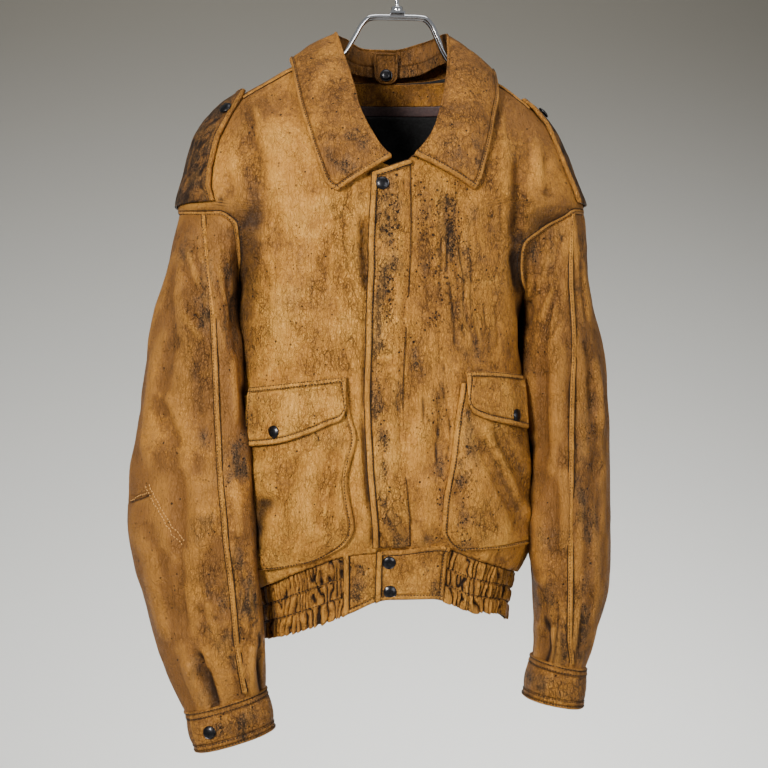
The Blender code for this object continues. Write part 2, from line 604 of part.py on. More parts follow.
def sleeve(table, loop, q, psi, t):
    """Sleeve surface. q is the place on the armhole ring, psi the angle round
    the sleeve (0 outer, 90 front, 180 inner, 270 back), t from 0 to 1."""
    ox, oz = sleeve_value(table, "out_x", t), sleeve_value(table, "out_z", t)
    ix, iz = sleeve_value(table, "in_x", t), sleeve_value(table, "in_z", t)
    c, s = np.cos(psi), np.sin(psi)
    ce = np.sign(c) * np.abs(c) ** 0.9
    se = np.sign(s) * np.abs(s) ** 0.9
    x = (ox + ix) / 2 + (ox - ix) / 2 * ce
    z = (oz + iz) / 2 + (oz - iz) / 2 * ce
    y = (sleeve_value(table, "mid_y", t) - sleeve_value(table, "half_y", t) * se
         + sleeve_value(table, "forward", t) * ce)
    p = np.stack(np.broadcast_arrays(x, y, z), -1)
    n = len(loop)
    k = np.floor(q).astype(int)
    f = (q - k)[..., None]
    start = loop[k % n] * (1 - f) + loop[(k + 1) % n] * f
    w = (1 - step(0.0, 0.13, np.asarray(t, float)))[..., None]
    return start * w + p * (1 - w)


def sleeve_grid(table, loop, qs, ts, welt_q):
    """Angles for each column: the piped seam keeps to its column."""
    n = len(loop)
    under_q = n / 2
    psi = np.zeros((len(ts), len(qs)))
    for i, t in enumerate(ts):
        across = float(sleeve_value(table, "welt", t))
        welt = math.acos(1 - 2 * across)
        # even angles where the ring is free, arc order kept
        psi[i] = np.interp(qs, [0, welt_q, under_q, n],
                           [0, welt, math.pi, 2 * math.pi])
    return psi


SLEEVE_T = [0.0, 0.03, 0.07, 0.12, 0.18, 0.25, 0.32, 0.40, 0.48, 0.56, 0.64,
            0.72, 0.79, 0.86, 0.92, 0.965, 1.0]
WELT_Q = 2


def sleeve_points(table, loop, qs, ts):
    psi = sleeve_grid(table, loop, qs, ts, WELT_Q)
    q = np.broadcast_to(qs, psi.shape)
    t = np.broadcast_to(np.asarray(ts)[:, None], psi.shape)
    return sleeve(table, loop, q, psi, t)


def sleeve_normals(table, loop, qs, ts):
    e = 0.06
    du = sleeve_points(table, loop, qs + e, ts) - sleeve_points(table, loop, qs - e, ts)
    up = np.clip(np.asarray(ts) + 0.01, 0, 1)
    dn = np.clip(np.asarray(ts) - 0.01, 0, 1)
    dv = sleeve_points(table, loop, qs, up) - sleeve_points(table, loop, qs, dn)
    n = unit(np.cross(du, dv))
    ring = sleeve_points(table, loop, np.arange(len(loop), dtype=float), ts)
    out = sleeve_points(table, loop, qs, ts) - ring.mean(1, keepdims=True)
    return n if np.sum(n * out) > 0 else -n


def armhole_normals(table, sleeve_table):
    """Thickness directions along the armhole. Body and sleeve share one where
    they run on into each other, and keep their own under the arm, where the
    two walls fold back to back."""
    loop, body = armhole_loop(table)
    n = len(loop)
    qs = np.arange(n, dtype=float)
    arm = sleeve_normals(sleeve_table, loop, qs, [0.04])[0]
    shared = np.sum(body * arm, -1, keepdims=True) > 0.15
    both = unit(body + arm)
    of_body, of_arm = np.where(shared, both, body), np.where(shared, both, arm)
    half = n // 2
    front = of_body[:half + 1]
    back = np.concatenate([of_body[:1], of_body[:half - 1:-1]])
    return of_arm, front, back


def sleeve_panels(side_name, table, sleeve_table, both):
    loop, _ = armhole_loop(table)
    n = len(loop)
    back_q = n - 3.0
    outward = unit((sleeve_points(sleeve_table, loop, np.arange(n, dtype=float), [0.05])[0] - loop))
    loop_out = loop + outward * SEAM_GAP * 1.6
    top = np.concatenate([np.arange(back_q, n, 0.5), np.arange(0, WELT_Q + 0.1, 0.5)])
    top = np.where(top < back_q - 0.01, top + n, top)
    under = np.array([2, 3, 4, 5, 6, 7, 8, 9, 10, 11, 12, 13], float)
    for name, qs in (("top", top), ("under", under)):
        pts = sleeve_points(sleeve_table, loop_out, qs % n if name == "under" else qs, SLEEVE_T)
        if name == "top":
            # columns past the shoulder point wrap round
            wrapped = qs % n
            psi = sleeve_grid(sleeve_table, loop_out, wrapped, SLEEVE_T, WELT_Q)
            q = np.broadcast_to(wrapped, psi.shape)
            t = np.broadcast_to(np.asarray(SLEEVE_T)[:, None], psi.shape)
            pts = sleeve(sleeve_table, loop_out, q, psi, t)
        nrm = sleeve_normals(sleeve_table, loop_out, qs % n, SLEEVE_T)
        k = np.floor(qs % n).astype(int)
        f = (qs % n - k)[:, None]
        nrm[0] = unit(both[k % n] * (1 - f) + both[(k + 1) % n] * f)
        pts = pull_in(pts, axis=1, by=SEAM_GAP * 0.7)
        wall("sleeve_%s_%s" % (side_name, name), pts, nrm, WALL, leather())


def cuff(name, table, cols=18):
    psi = np.linspace(0, 2 * math.pi, cols, endpoint=False)
    c, s = np.cos(psi), np.sin(psi)
    ce, se = np.sign(c) * np.abs(c) ** 0.9, np.sign(s) * np.abs(s) ** 0.9
    pts = []
    for ox, oz, ix, iz, my, hy in table:
        pts.append(np.stack([(ox + ix) / 2 + (ox - ix) / 2 * ce,
                             my - hy * se,
                             (oz + iz) / 2 + (oz - iz) / 2 * ce], -1))
    pts = np.array(pts)
    pts[0, :, 2] -= 0.0012
    du = np.roll(pts, -1, 1) - np.roll(pts, 1, 1)
    dv = np.gradient(pts, axis=0)
    nrm = unit(np.cross(du, dv))
    centre = pts.mean((0, 1))
    if np.sum(nrm * (pts - centre)) < 0:
        nrm = -nrm
    return wall(name, pts, nrm, WALL_DOUBLE, leather(), round_=True)


# ------------------------------------------------------------------ waist
def waist_section(name, start, end, cols, mat=None, out=0.0):
    phi = np.radians(np.linspace(start, end, cols))
    seam, hem = waist("seam", phi), waist("hem", phi)
    pts, nrm = [], []
    for f in (0.0, 0.33, 0.67, 1.0):
        z = seam - 0.0018 * (1 - f) + (hem - seam) * f
        m = torso_normal(phi, z)
        pts.append(torso(phi, z) + m * out)
        nrm.append(m)
    pts = pull_in(np.array(pts)[:, ::-1], axis=1)
    return wall(name, pts, np.array(nrm)[:, ::-1], WALL_DOUBLE, mat or leather())


# --------------------------------------------------------------- sewn pieces
def on_torso(phi, z, out):
    return torso(phi, z) + torso_normal(phi, z) * out


def front_patch(name, x, z, out, thick, mat=None):
    """A piece laid on the front: x and z grids; out is a number or a grid."""
    phi = np.array([[phi_of(a, b) for a, b in zip(r, q)] for r, q in zip(x, z)])
    nrm = torso_normal(phi, z)
    out = np.broadcast_to(np.asarray(out, float), phi.shape)[..., None]
    return wall(name, torso(phi, z) + nrm * (out + thick), nrm, thick, mat or leather())


def storm_flap():
    z = np.linspace(FLAP[0][0], FLAP[-1][0], 15)
    left = smooth_read(column(FLAP, FLAP_COLUMNS, "z"), column(FLAP, FLAP_COLUMNS, "left"), z)
    right = smooth_read(column(FLAP, FLAP_COLUMNS, "z"), column(FLAP, FLAP_COLUMNS, "right"), z)
    s = np.linspace(0, 1, 4)
    x = left[:, None] + (right - left)[:, None] * s
    front_patch("storm_flap", x, np.repeat(z[:, None], 4, 1), 0.0020, WALL_DOUBLE)


def pocket_bag(name, table):
    k = np.arange(len(table), dtype=float)
    f = np.linspace(0, len(table) - 1, 9)
    lx, lz, rx, rz = (smooth_read(k, column(table, POCKET_COLUMNS, c), f)
                      for c in POCKET_COLUMNS)
    s = np.linspace(0, 1, 6)
    x = lx[:, None] + (rx - lx)[:, None] * s
    z = lz[:, None] + (rz - lz)[:, None] * s
    full = 0.0040 * np.sin(math.pi * s)[None] * np.sin(math.pi * np.linspace(0, 1, 9) ** 0.8)[:, None]
    front_patch(name, x, z, 0.0020 + full, WALL)


def pocket_flap(name, table):
    xs = column(table, POCKET_FLAP_COLUMNS, "x")
    x = np.linspace(xs[0], xs[-1], 7)
    top = smooth_read(xs, column(table, POCKET_FLAP_COLUMNS, "top"), x)
    bottom = smooth_read(xs, column(table, POCKET_FLAP_COLUMNS, "bottom"), x)
    f = np.linspace(0, 1, 4)[:, None]
    z = top[None] + (bottom - top)[None] * f
    out = 0.0078 + 0.0035 * np.linspace(0, 1, 4)[:, None] * np.ones(7)
    out[0] = 0.0046
    front_patch(name, np.repeat(x[None], 4, 0), z, out, WALL_DOUBLE)


def epaulette(name, table):
    zs = column(table, EPAULETTE_COLUMNS, "z")
    z = np.concatenate([[zs[0]], np.linspace(zs[1], zs[-1], 7)])
    behind = np.radians(np.interp(-z, -zs, column(table, EPAULETTE_COLUMNS, "behind")))
    front_x = np.interp(-z, -zs, column(table, EPAULETTE_COLUMNS, "front_x"))
    front = np.array([phi_of(a, b) for a, b in zip(front_x, z)])
    s = np.linspace(0, 1, 5)
    phi = behind[:, None] + (front - behind)[:, None] * s
    zz = np.repeat(z[:, None], 5, 1)
    nrm = torso_normal(phi, zz)
    pts = torso(phi, zz) + nrm * (0.0030 + WALL_DOUBLE)
    return wall(name, pts[:, ::-1], nrm[:, ::-1], WALL_DOUBLE, leather())


def snap(name, point, normal):
    profile = [(0.0, 0.0), (SNAP_RADIUS * 0.86, 0.0), (SNAP_RADIUS, 0.0007),
               (SNAP_RADIUS * 0.97, 0.0015), (SNAP_RADIUS * 0.75, 0.0026),
               (SNAP_RADIUS * 0.4, 0.0031), (0.0, SNAP_HEIGHT)]
    return turned(name, np.asarray(point) + unit(np.asarray(normal)) * 0.0003, normal,
                  profile, snap_metal())


def snaps():
    for name, (x, z, seat) in SNAPS.items():
        phi = phi_of(x, z)
        m = torso_normal(phi, z)
        snap(name, torso(phi, z) + m * seat, m)
    phi, z = math.radians(356.0), -0.2040
    m = torso_normal(phi, z)
    snap("snap_epaulette_left", torso(phi, z) + m * 0.0060, m)
    for name, table, psi in (("snap_cuff_right", CUFF_RIGHT, 64.0),
                             ("snap_cuff_left", CUFF_LEFT, 310.0)):
        ox, oz, ix, iz, my, hy = table[1]
        c, q = math.cos(math.radians(psi)), math.sin(math.radians(psi))
        ce, se = math.copysign(abs(c) ** 0.9, c), math.copysign(abs(q) ** 0.9, q)
        point = np.array([(ox + ix) / 2 + (ox - ix) / 2 * ce, my - hy * se,
                          (oz + iz) / 2 + (oz - iz) / 2 * ce])
        a = abs(ox - ix) / 2
        out = unit(np.array([math.copysign(1, ox) * c / a, -q / hy, 0.0]))
        snap(name, point + out * 0.0003, out)


def sleeve_welt(name, table, sleeve_table):
    """The flat strip over the piped seam, from the sleeve's own points."""
    loop, _ = armhole_loop(table)
    qs = np.array([WELT_Q - 0.3, WELT_Q, WELT_Q + 0.3])
    ts = np.array([0.012] + SLEEVE_T[1:-1] + [0.995])
    pts = sleeve_points(sleeve_table, loop, qs, ts)
    nrm = sleeve_normals(sleeve_table, loop, np.array([float(WELT_Q)]), ts)
    mid = pts[:, 1:2]
    side = unit(pts[:, 2:3] - pts[:, 0:1])
    half = WELT_WIDTH / 2
    grid = np.concatenate([mid - side * half, mid, mid + side * half], 1)
    nrm = np.repeat(nrm, 3, 1)
    wall(name, grid + nrm * (0.0012 + 0.0014), nrm, 0.0014, leather())


# ------------------------------------------------------------------ collar
def surface_y(x, z, side):
    p = torso(phi_of(x, z, back=side > 0), z)
    return float(p[1])


def collar_sections():
    out = []
    for fx, fy, fz, ex, ez, side, lift, bulge in COLLAR:
        fold = np.array([fx, fy, fz])
        if side == SIDE_LINE:
            edge = np.array([ex, 0.004, ez])
        else:
            edge = np.array([ex, surface_y(ex, ez, side) + side * lift, ez])
        out.append((fold, edge, bulge))
    return out


def collar_surface(u, v):
    """u from 0 to 18 round the neck, v from 0 at the fold to 1 at the edge."""
    sections = collar_sections()
    k = np.arange(len(sections), dtype=float)
    fold = np.stack([smooth_read(k, [s[0][i] for s in sections], u) for i in range(3)], -1)
    edge = np.stack([smooth_read(k, [s[1][i] for s in sections], u) for i in range(3)], -1)
    bulge = smooth_read(k, [s[2] for s in sections], u)
    across = unit(edge - fold)
    along = np.gradient(fold + edge, axis=0)
    n = unit(np.cross(along, across))
    centre = np.array([0.0, 0.0, -0.30])
    n = np.where((np.sum(n * ((fold + edge) / 2 - centre), -1) < 0)[:, None], -n, n)
    pts, nrm = [], []
    for f in v:
        p = fold * (1 - f) + edge * f + n * (bulge * 4 * f * (1 - f))[:, None]
        pts.append(p)
    pts = np.array(pts)
    du = np.gradient(pts, axis=1)
    dv = np.gradient(pts, axis=0)
    nrm = unit(np.cross(du, dv))
    nrm = np.where((np.sum(nrm * n[None], -1) < 0)[..., None], -nrm, nrm)
    return pts, nrm, n


def neckline(count):
    """Points round the neck seam at the collar's stations: angle and z."""
    left = [(phi_of(x, z), z) for _, x, z in YOKE_RIGHT]
    right = [(phi_of(x, z), z) for _, x, z in YOKE_LEFT]
    return left, right


def collar():
    u = np.linspace(0, 18, 31)
    v = [0.0, 0.12, 0.34, 0.56, 0.78, 1.0]
    pts, nrm, n = collar_surface(u, v)
    wall("collar_fall", pts, nrm, WALL_DOUBLE, leather())
    # the stand: from just inside the fold down to the neck seam
    fold = pts[0] - n * 0.0
    inward = np.stack([0.0 - fold[:, 0], -0.02 - fold[:, 1], np.zeros(len(u))], -1)
    inward = unit(inward)
    top = fold + inward * 0.0036 + np.array([0, 0, -0.0022])
    base = stand_base(u)
    rows = []
    for f in (0.0, 0.35, 0.7, 1.0):
        rows.append(top * (1 - f) + base * f + inward * (0.0008 * 4 * f * (1 - f)))
    rows = np.array(rows)
    du, dv = np.gradient(rows, axis=1), np.gradient(rows, axis=0)
    m = unit(np.cross(du, dv))
    m = np.where((np.sum(m * inward[None], -1) > 0)[..., None], -m, m)
    wall("collar_stand", rows[:, 1:-1], m[:, 1:-1], WALL, leather_inside())


NECK_SEAM_COLUMNS = ("u", "x", "y", "z")
NECK_SEAM = [   # inside the neck opening, just above the panels' top edges
    (0.0, -0.0230, -0.1060, -0.2700), (2.0, -0.0490, -0.0950, -0.2450),
    (4.0, -0.0760, -0.0560, -0.1880), (5.0, -0.0850, -0.0290, -0.1520),
    (6.0, -0.0880, 0.0100, -0.1300), (7.0, -0.0700, 0.0480, -0.1330),
    (8.0, -0.0420, 0.0720, -0.1420), (9.0, -0.0060, 0.0800, -0.1440),
    (10.0, 0.0300, 0.0720, -0.1420), (11.0, 0.0560, 0.0460, -0.1330),
    (12.0, 0.0770, 0.0100, -0.1290), (13.0, 0.0745, -0.0290, -0.1520),
    (14.0, 0.0610, -0.0560, -0.1900), (16.0, 0.0340, -0.0950, -0.2450),
    (18.0, 0.0030, -0.1060, -0.2700),
]


def stand_base(u):
    us = column(NECK_SEAM, NECK_SEAM_COLUMNS, "u")
    return np.stack([smooth_read(us, column(NECK_SEAM, NECK_SEAM_COLUMNS, c), u)
                     for c in ("x", "y", "z")], -1)


# ------------------------------------------------------------------ inside
def inside_patch(name, phi0, phi1, tops, depth, out, thick, mat, rows=3, cols=11):
    """A piece laid inside the back. tops gives its top edge's z at each
    angle, depth its height."""
    phi = np.radians(np.linspace(phi0, phi1, cols))
    top = tops(phi)
    pts, nrm = [], []
    for f in np.linspace(0, 1, rows):
        z = top - depth * f
        m = torso_normal(phi, z)
        pts.append(torso(phi, z) - m * (WALL + out))
        nrm.append(m)
    return wall(name, np.array(pts)[:, ::-1], np.array(nrm)[:, ::-1], thick, mat)


def facing_top(phi):
    return -0.1490 - 0.0015 * np.sin(phi) ** 2


def inner_pieces():
    inside_patch("neck_facing", 30, 150, facing_top, 0.0270, 0.0010, 0.0014,
                 leather_inside(), rows=3, cols=13)
    inside_patch("lining_band", 28, 152, lambda p: facing_top(p) - 0.0274, 0.0120,
                 0.0010, WALL_LINING, lining(), rows=2, cols=13)
    inside_patch("lining_back", 34, 146, lambda p: facing_top(p) - 0.0398, 0.1350,
                 0.0028, WALL_LINING, lining(), rows=6, cols=13)
    # the hanging tab inside the collar stand, with its snap
    s = np.linspace(0, 1, 5)
    width = np.array([0.0135, 0.0150, 0.0155, 0.0155, 0.0135])
    zt, zb = -0.1130, -0.1520
    rows = []
    for f, w in zip(s, width):
        z = zt + (zb - zt) * f
        xx = np.linspace(-w, w, 4) - 0.0070
        y = 0.0755 - 0.0015 * f
        rows.append(np.stack([xx, np.full(4, y) - 0.06 * (xx + 0.007) ** 2 / 0.01, np.full(4, z)], -1))
    rows = np.array(rows)
    m = np.zeros_like(rows)
    m[..., 1] = 1.0
    wall("neck_tab", rows, m, 0.0020, leather_inside())
    snap("snap_neck_tab", (-0.0070, 0.0712, -0.1415), (0, -1, 0))


# ------------------------------------------------------------------ hanger
def hanger():
    front = [(x, -g, z) for x, z, g in HANGER_WIRE]
    back = [(x, g, z) for x, z, g in HANGER_WIRE[::-1]]
    tip_r = (HANGER_WIRE[-1][0] + 0.007, 0.0, HANGER_WIRE[-1][1] - 0.004)
    tip_l = (HANGER_WIRE[0][0] - 0.007, 0.0, HANGER_WIRE[0][1] - 0.004)
    tube("hanger_wire", front + [tip_r] + back + [tip_l], ROD_RADIUS, chrome(), closed=True)
    # hook: straight stem, then a round hook whose inside top is the origin
    r = HOOK_INNER_RADIUS + ROD_RADIUS
    cz = ROD_RADIUS - r
    arc = [(r * math.cos(a), 0.0, cz + r * math.sin(a))
           for a in np.radians(np.linspace(-25, 205, 20))]
    stem = [(-0.0145, 0.0, -0.0395), (-0.0060, 0.0, -0.0465), (-0.0012, 0.0, -0.0540),
            (0.0, 0.0, -0.0620), (0.0, 0.0, -0.0700)]
    tube("hanger_hook", arc + stem, ROD_RADIUS * 0.9, chrome())
    block = [(0.0, 0.0), (0.0062, 0.0), (0.0070, 0.0010), (0.0070, 0.0056),
             (0.0055, 0.0066), (0.0, 0.0066)]
    turned("hanger_nut", (0, 0, -0.0772), (0, 0, 1), block, chrome(), sides=20)
    # the saddle that holds both wires under the nut
    bm = bmesh.new()
    bmesh.ops.create_cube(bm, size=1.0)
    for v in bm.verts:
        v.co = (v.co.x * 0.018, v.co.y * 0.022, v.co.z * 0.0030 - 0.0792)
    finish("hanger_saddle", bm, chrome())


def main():
    clear_scene()
    both_r, front_r, back_r = armhole_normals(ARM_RIGHT, SLEEVE_RIGHT)
    both_l, front_l, back_l = armhole_normals(ARM_LEFT, SLEEVE_LEFT)
    front_panel("front_right", True, front_r)
    front_panel("front_left", False, front_l)
    back_panel("back", back_r, back_l)
    sleeve_panels("right", ARM_RIGHT, SLEEVE_RIGHT, both_r)
    sleeve_panels("left", ARM_LEFT, SLEEVE_LEFT, both_l)
    cuff("cuff_right", CUFF_RIGHT)
    cuff("cuff_left", CUFF_LEFT)
    plain, centre, tab = (math.degrees(phi_of(x, -0.76))
                          for x in (PLAIN_X, TAB_EDGE_X, TAB_X))
    waist_section("waist_gathers_right", 180.0, plain, 9)
    waist_section("waist_plain_right", plain, centre, 5)
    waist_section("waist_tab_left", centre, tab, 5)
    waist_section("waist_gathers_left", tab, 360.0, 8)
    waist_section("waist_gathers_back", 0.0, 180.0, 17)
    storm_flap()
    pocket_bag("pocket_bag_right", BAG_RIGHT)
    pocket_bag("pocket_bag_left", BAG_LEFT)
    pocket_flap("pocket_flap_right", POCKET_FLAP_RIGHT)
    pocket_flap("pocket_flap_left", POCKET_FLAP_LEFT)
    epaulette("epaulette_right", EPAULETTE_RIGHT)
    epaulette("epaulette_left", EPAULETTE_LEFT)
    sleeve_welt("sleeve_welt_right", ARM_RIGHT, SLEEVE_RIGHT)
    sleeve_welt("sleeve_welt_left", ARM_LEFT, SLEEVE_LEFT)
    snaps()
    collar()
    inner_pieces()
    hanger()


main()
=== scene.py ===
import math

import bpy
import numpy as np
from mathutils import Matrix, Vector


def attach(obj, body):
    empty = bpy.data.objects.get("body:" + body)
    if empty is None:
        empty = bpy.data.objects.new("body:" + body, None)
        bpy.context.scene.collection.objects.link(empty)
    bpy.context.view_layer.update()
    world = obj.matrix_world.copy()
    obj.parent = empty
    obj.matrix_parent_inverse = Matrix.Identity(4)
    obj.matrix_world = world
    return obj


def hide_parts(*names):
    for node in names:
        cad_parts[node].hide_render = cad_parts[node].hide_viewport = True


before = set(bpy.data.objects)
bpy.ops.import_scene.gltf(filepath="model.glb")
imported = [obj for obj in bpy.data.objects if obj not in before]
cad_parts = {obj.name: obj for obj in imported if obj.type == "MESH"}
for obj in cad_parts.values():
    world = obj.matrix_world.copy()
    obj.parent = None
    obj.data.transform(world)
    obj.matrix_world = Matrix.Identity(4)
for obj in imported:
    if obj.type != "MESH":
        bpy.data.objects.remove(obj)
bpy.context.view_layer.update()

# ===================================================================== sizes
WALL = 0.0018            # one layer of leather with its backing
WALL_DOUBLE = 0.0026     # turned and stitched pieces: collar, cuffs, flaps
WALL_LINING = 0.0010
SEAM_GAP = 0.0003
FRONT_X = -0.0175        # centre front line at the placket
PLAIN_X, TAB_X = -0.0710, 0.0450   # where the waistband's gathers begin
TAB_EDGE_X = -0.0340     # free edge of the waist tab
WELT_WIDTH = 0.0068      # flat strip over the long sleeve seam
ROD_RADIUS = 0.0026
HOOK_INNER_RADIUS = 0.020
SNAP_RADIUS = 0.0078
SNAP_HEIGHT = 0.0032

# Torso rings, top to bottom. left/right: side edges at mid depth; front/back:
# depth of the ring; widen: how much wider its back half is on each side;
# flare: the same, but only towards the back's corners, where the sleeves start;
# square: exponent of the ring's outline, 2 is an ellipse.
TORSO_COLUMNS = ("z", "left", "right", "front", "back", "widen", "flare", "square")
TORSO = [
    (-0.1290, -0.0945, 0.0800, 0.018, 0.050, 0.000, 0.000, 2.2),
    (-0.1340, -0.1020, 0.0862, 0.026, 0.064, 0.000, 0.000, 2.2),
    (-0.1432, -0.1220, 0.0960, 0.036, 0.076, 0.000, 0.000, 2.2),
    (-0.1603, -0.1523, 0.1185, 0.048, 0.086, 0.000, 0.000, 2.3),
    (-0.1824, -0.1905, 0.1475, 0.060, 0.092, 0.000, 0.000, 2.3),
    (-0.2031, -0.2180, 0.1735, 0.073, 0.096, 0.000, 0.000, 2.3),
    (-0.2335, -0.2400, 0.1950, 0.094, 0.100, 0.000, 0.000, 2.4),
    (-0.2580, -0.2480, 0.2050, 0.110, 0.103, 0.000, 0.000, 2.4),
    (-0.2811, -0.2540, 0.2130, 0.120, 0.105, 0.000, 0.000, 2.4),
    (-0.3237, -0.2640, 0.2270, 0.126, 0.107, 0.000, 0.000, 2.4),
    (-0.3457, -0.2400, 0.2000, 0.128, 0.108, 0.002, 0.016, 2.5),
    (-0.3676, -0.2190, 0.1780, 0.129, 0.109, 0.004, 0.028, 2.6),
    (-0.3981, -0.1970, 0.1580, 0.130, 0.110, 0.002, 0.034, 2.7),
    (-0.4285, -0.1842, 0.1432, 0.130, 0.110, 0.002, 0.032, 2.8),
    (-0.4773, -0.1795, 0.1400, 0.130, 0.110, 0.005, 0.020, 2.8),
    (-0.5505, -0.1780, 0.1415, 0.131, 0.110, 0.010, 0.010, 2.8),
    (-0.6115, -0.1760, 0.1450, 0.134, 0.111, 0.010, 0.005, 2.8),
    (-0.6725, -0.1740, 0.1495, 0.138, 0.112, 0.010, 0.000, 2.7),
    (-0.7100, -0.1730, 0.1500, 0.136, 0.111, 0.010, 0.000, 2.6),
    (-0.7350, -0.1710, 0.1450, 0.128, 0.107, 0.008, 0.000, 2.5),
    (-0.7530, -0.1680, 0.1390, 0.118, 0.100, 0.006, 0.000, 2.4),
    (-0.7800, -0.1650, 0.1340, 0.113, 0.096, 0.004, 0.000, 2.4),
    (-0.8396, -0.1620, 0.1270, 0.108, 0.092, 0.002, 0.000, 2.4),
]
# The seam above the waistband and the hem, round the ring. Angle 0 is the
# wearer's left side, 90 the back, 180 the wearer's right side, 270 the front.
WAIST_COLUMNS = ("angle", "seam", "hem")
WAIST = [
    (0.0, -0.7600, -0.8180),
    (45.0, -0.7600, -0.8160),
    (90.0, -0.7620, -0.8010),
    (135.0, -0.7700, -0.8200),
    (180.0, -0.7780, -0.8360),
    (208.0, -0.7640, -0.8290),
    (235.0, -0.7430, -0.8140),
    (255.0, -0.7280, -0.7960),
    (270.0, -0.7240, -0.7800),
    (284.0, -0.7200, -0.7800),
    (305.0, -0.7360, -0.7970),
    (330.0, -0.7500, -0.8040),
    (360.0, -0.7600, -0.8180),
]
WAIST_REFERENCE = -0.7450

# Armhole edge, from the shoulder point to the underarm, on the front of the
# ring and on its back.
ARM_COLUMNS = ("x", "z")
ARM_RIGHT = [   # the wearer's right
    (None, -0.3262), (-0.2501, -0.3300), (-0.2331, -0.3326), (-0.2143, -0.3334),
    (-0.2003, -0.3437), (-0.1960, -0.3606), (-0.1935, -0.3806),
    (-0.1910, -0.4052), (None, -0.4293),
]
ARM_RIGHT_BACK = [
    (None, -0.3262), (-0.2540, -0.3280), (-0.2420, -0.3350), (-0.2320, -0.3450),
    (-0.2230, -0.3570), (-0.2150, -0.3710), (-0.2070, -0.3880),
    (-0.1990, -0.4070), (None, -0.4293),
]
ARM_LEFT = [    # the wearer's left
    (None, -0.3228), (0.2190, -0.3241), (0.2049, -0.3255), (0.1846, -0.3377),
    (0.1620, -0.3515), (0.1440, -0.3658), (0.1400, -0.3852),
    (0.1400, -0.4055), (None, -0.4278),
]
ARM_LEFT_BACK = [
    (None, -0.3228), (0.2170, -0.3250), (0.2060, -0.3320), (0.1960, -0.3420),
    (0.1870, -0.3540), (0.1790, -0.3690), (0.1710, -0.3860),
    (0.1620, -0.4050), (None, -0.4278),
]
# Rows of the front panels above the armhole: outer z on the shoulder line,
# inner x and z on the neckline (the first one on the centre front).
YOKE_COLUMNS = ("outer_z", "inner_x", "inner_z")
YOKE_RIGHT = [
    (-0.2950, FRONT_X, -0.2830), (-0.2600, -0.0300, -0.2755),
    (-0.2320, -0.0440, -0.2650), (-0.2100, -0.0580, -0.2510),
    (-0.1920, -0.0700, -0.2350), (-0.1760, -0.0800, -0.2170),
    (-0.1620, -0.0880, -0.1960), (-0.1500, -0.0950, -0.1700),
    (-0.1410, -0.1000, -0.1500),
]
YOKE_LEFT = [
    (-0.2950, FRONT_X, -0.2830), (-0.2600, -0.0040, -0.2755),
    (-0.2320, 0.0120, -0.2650), (-0.2100, 0.0280, -0.2510),
    (-0.1920, 0.0420, -0.2350), (-0.1760, 0.0540, -0.2170),
    (-0.1620, 0.0640, -0.1960), (-0.1500, 0.0730, -0.1700),
    (-0.1410, 0.0800, -0.1500),
]
# Rows of the panels below the armhole: z on the side seam, z at the centre.
SIDE_COLUMNS = ("outer_z", "inner_z")
SIDE = [(-0.7480, -0.7020), (-0.7220, -0.6740), (-0.6860, -0.6420),
        (-0.6440, -0.6060), (-0.5980, -0.5680), (-0.5500, -0.5300),
        (-0.5060, -0.4940), (-0.4660, -0.4600)]
ARM_INNER_Z = [-0.3080, -0.3170, -0.3260, -0.3370, -0.3500, -0.3660, -0.3840,
               -0.4050, -0.4290]

# Sleeve rings from armhole to cuff: the outer and inner points seen from the
# front, middle depth, half depth, how far the inner end sits forward of the
# outer end, and where the piped seam runs across the front (0 outer, 1 inner).
SLEEVE_COLUMNS = ("t", "out_x", "out_z", "in_x", "in_z", "mid_y", "half_y",
                  "forward", "welt")
SLEEVE_RIGHT = [
    (0.00, -0.2654, -0.3290, -0.1900, -0.4200, -0.008, 0.078, 0.000, 0.44),
    (0.04, -0.2690, -0.3464, -0.1935, -0.4300, -0.010, 0.077, 0.010, 0.50),
    (0.13, -0.2798, -0.3935, -0.1925, -0.4640, -0.018, 0.070, 0.024, 0.63),
    (0.22, -0.2942, -0.4418, -0.1905, -0.4980, -0.026, 0.063, 0.034, 0.69),
    (0.33, -0.3061, -0.5033, -0.1875, -0.5498, -0.032, 0.057, 0.040, 0.72),
    (0.45, -0.3151, -0.5681, -0.1829, -0.5908, -0.036, 0.053, 0.042, 0.73),
    (0.57, -0.3231, -0.6397, -0.1782, -0.6433, -0.039, 0.051, 0.042, 0.74),
    (0.68, -0.3251, -0.7002, -0.1748, -0.6967, -0.042, 0.050, 0.041, 0.76),
    (0.77, -0.3165, -0.7521, -0.1705, -0.7434, -0.044, 0.050, 0.038, 0.76),
    (0.85, -0.3021, -0.7968, -0.1650, -0.7878, -0.046, 0.049, 0.034, 0.74),
    (0.93, -0.2860, -0.8469, -0.1630, -0.8306, -0.047, 0.046, 0.026, 0.73),
    (0.975, -0.2689, -0.8914, -0.1610, -0.8680, -0.047, 0.041, 0.018, 0.73),
    (1.00, -0.2545, -0.9150, -0.1607, -0.8870, -0.047, 0.036, 0.012, 0.73),
]
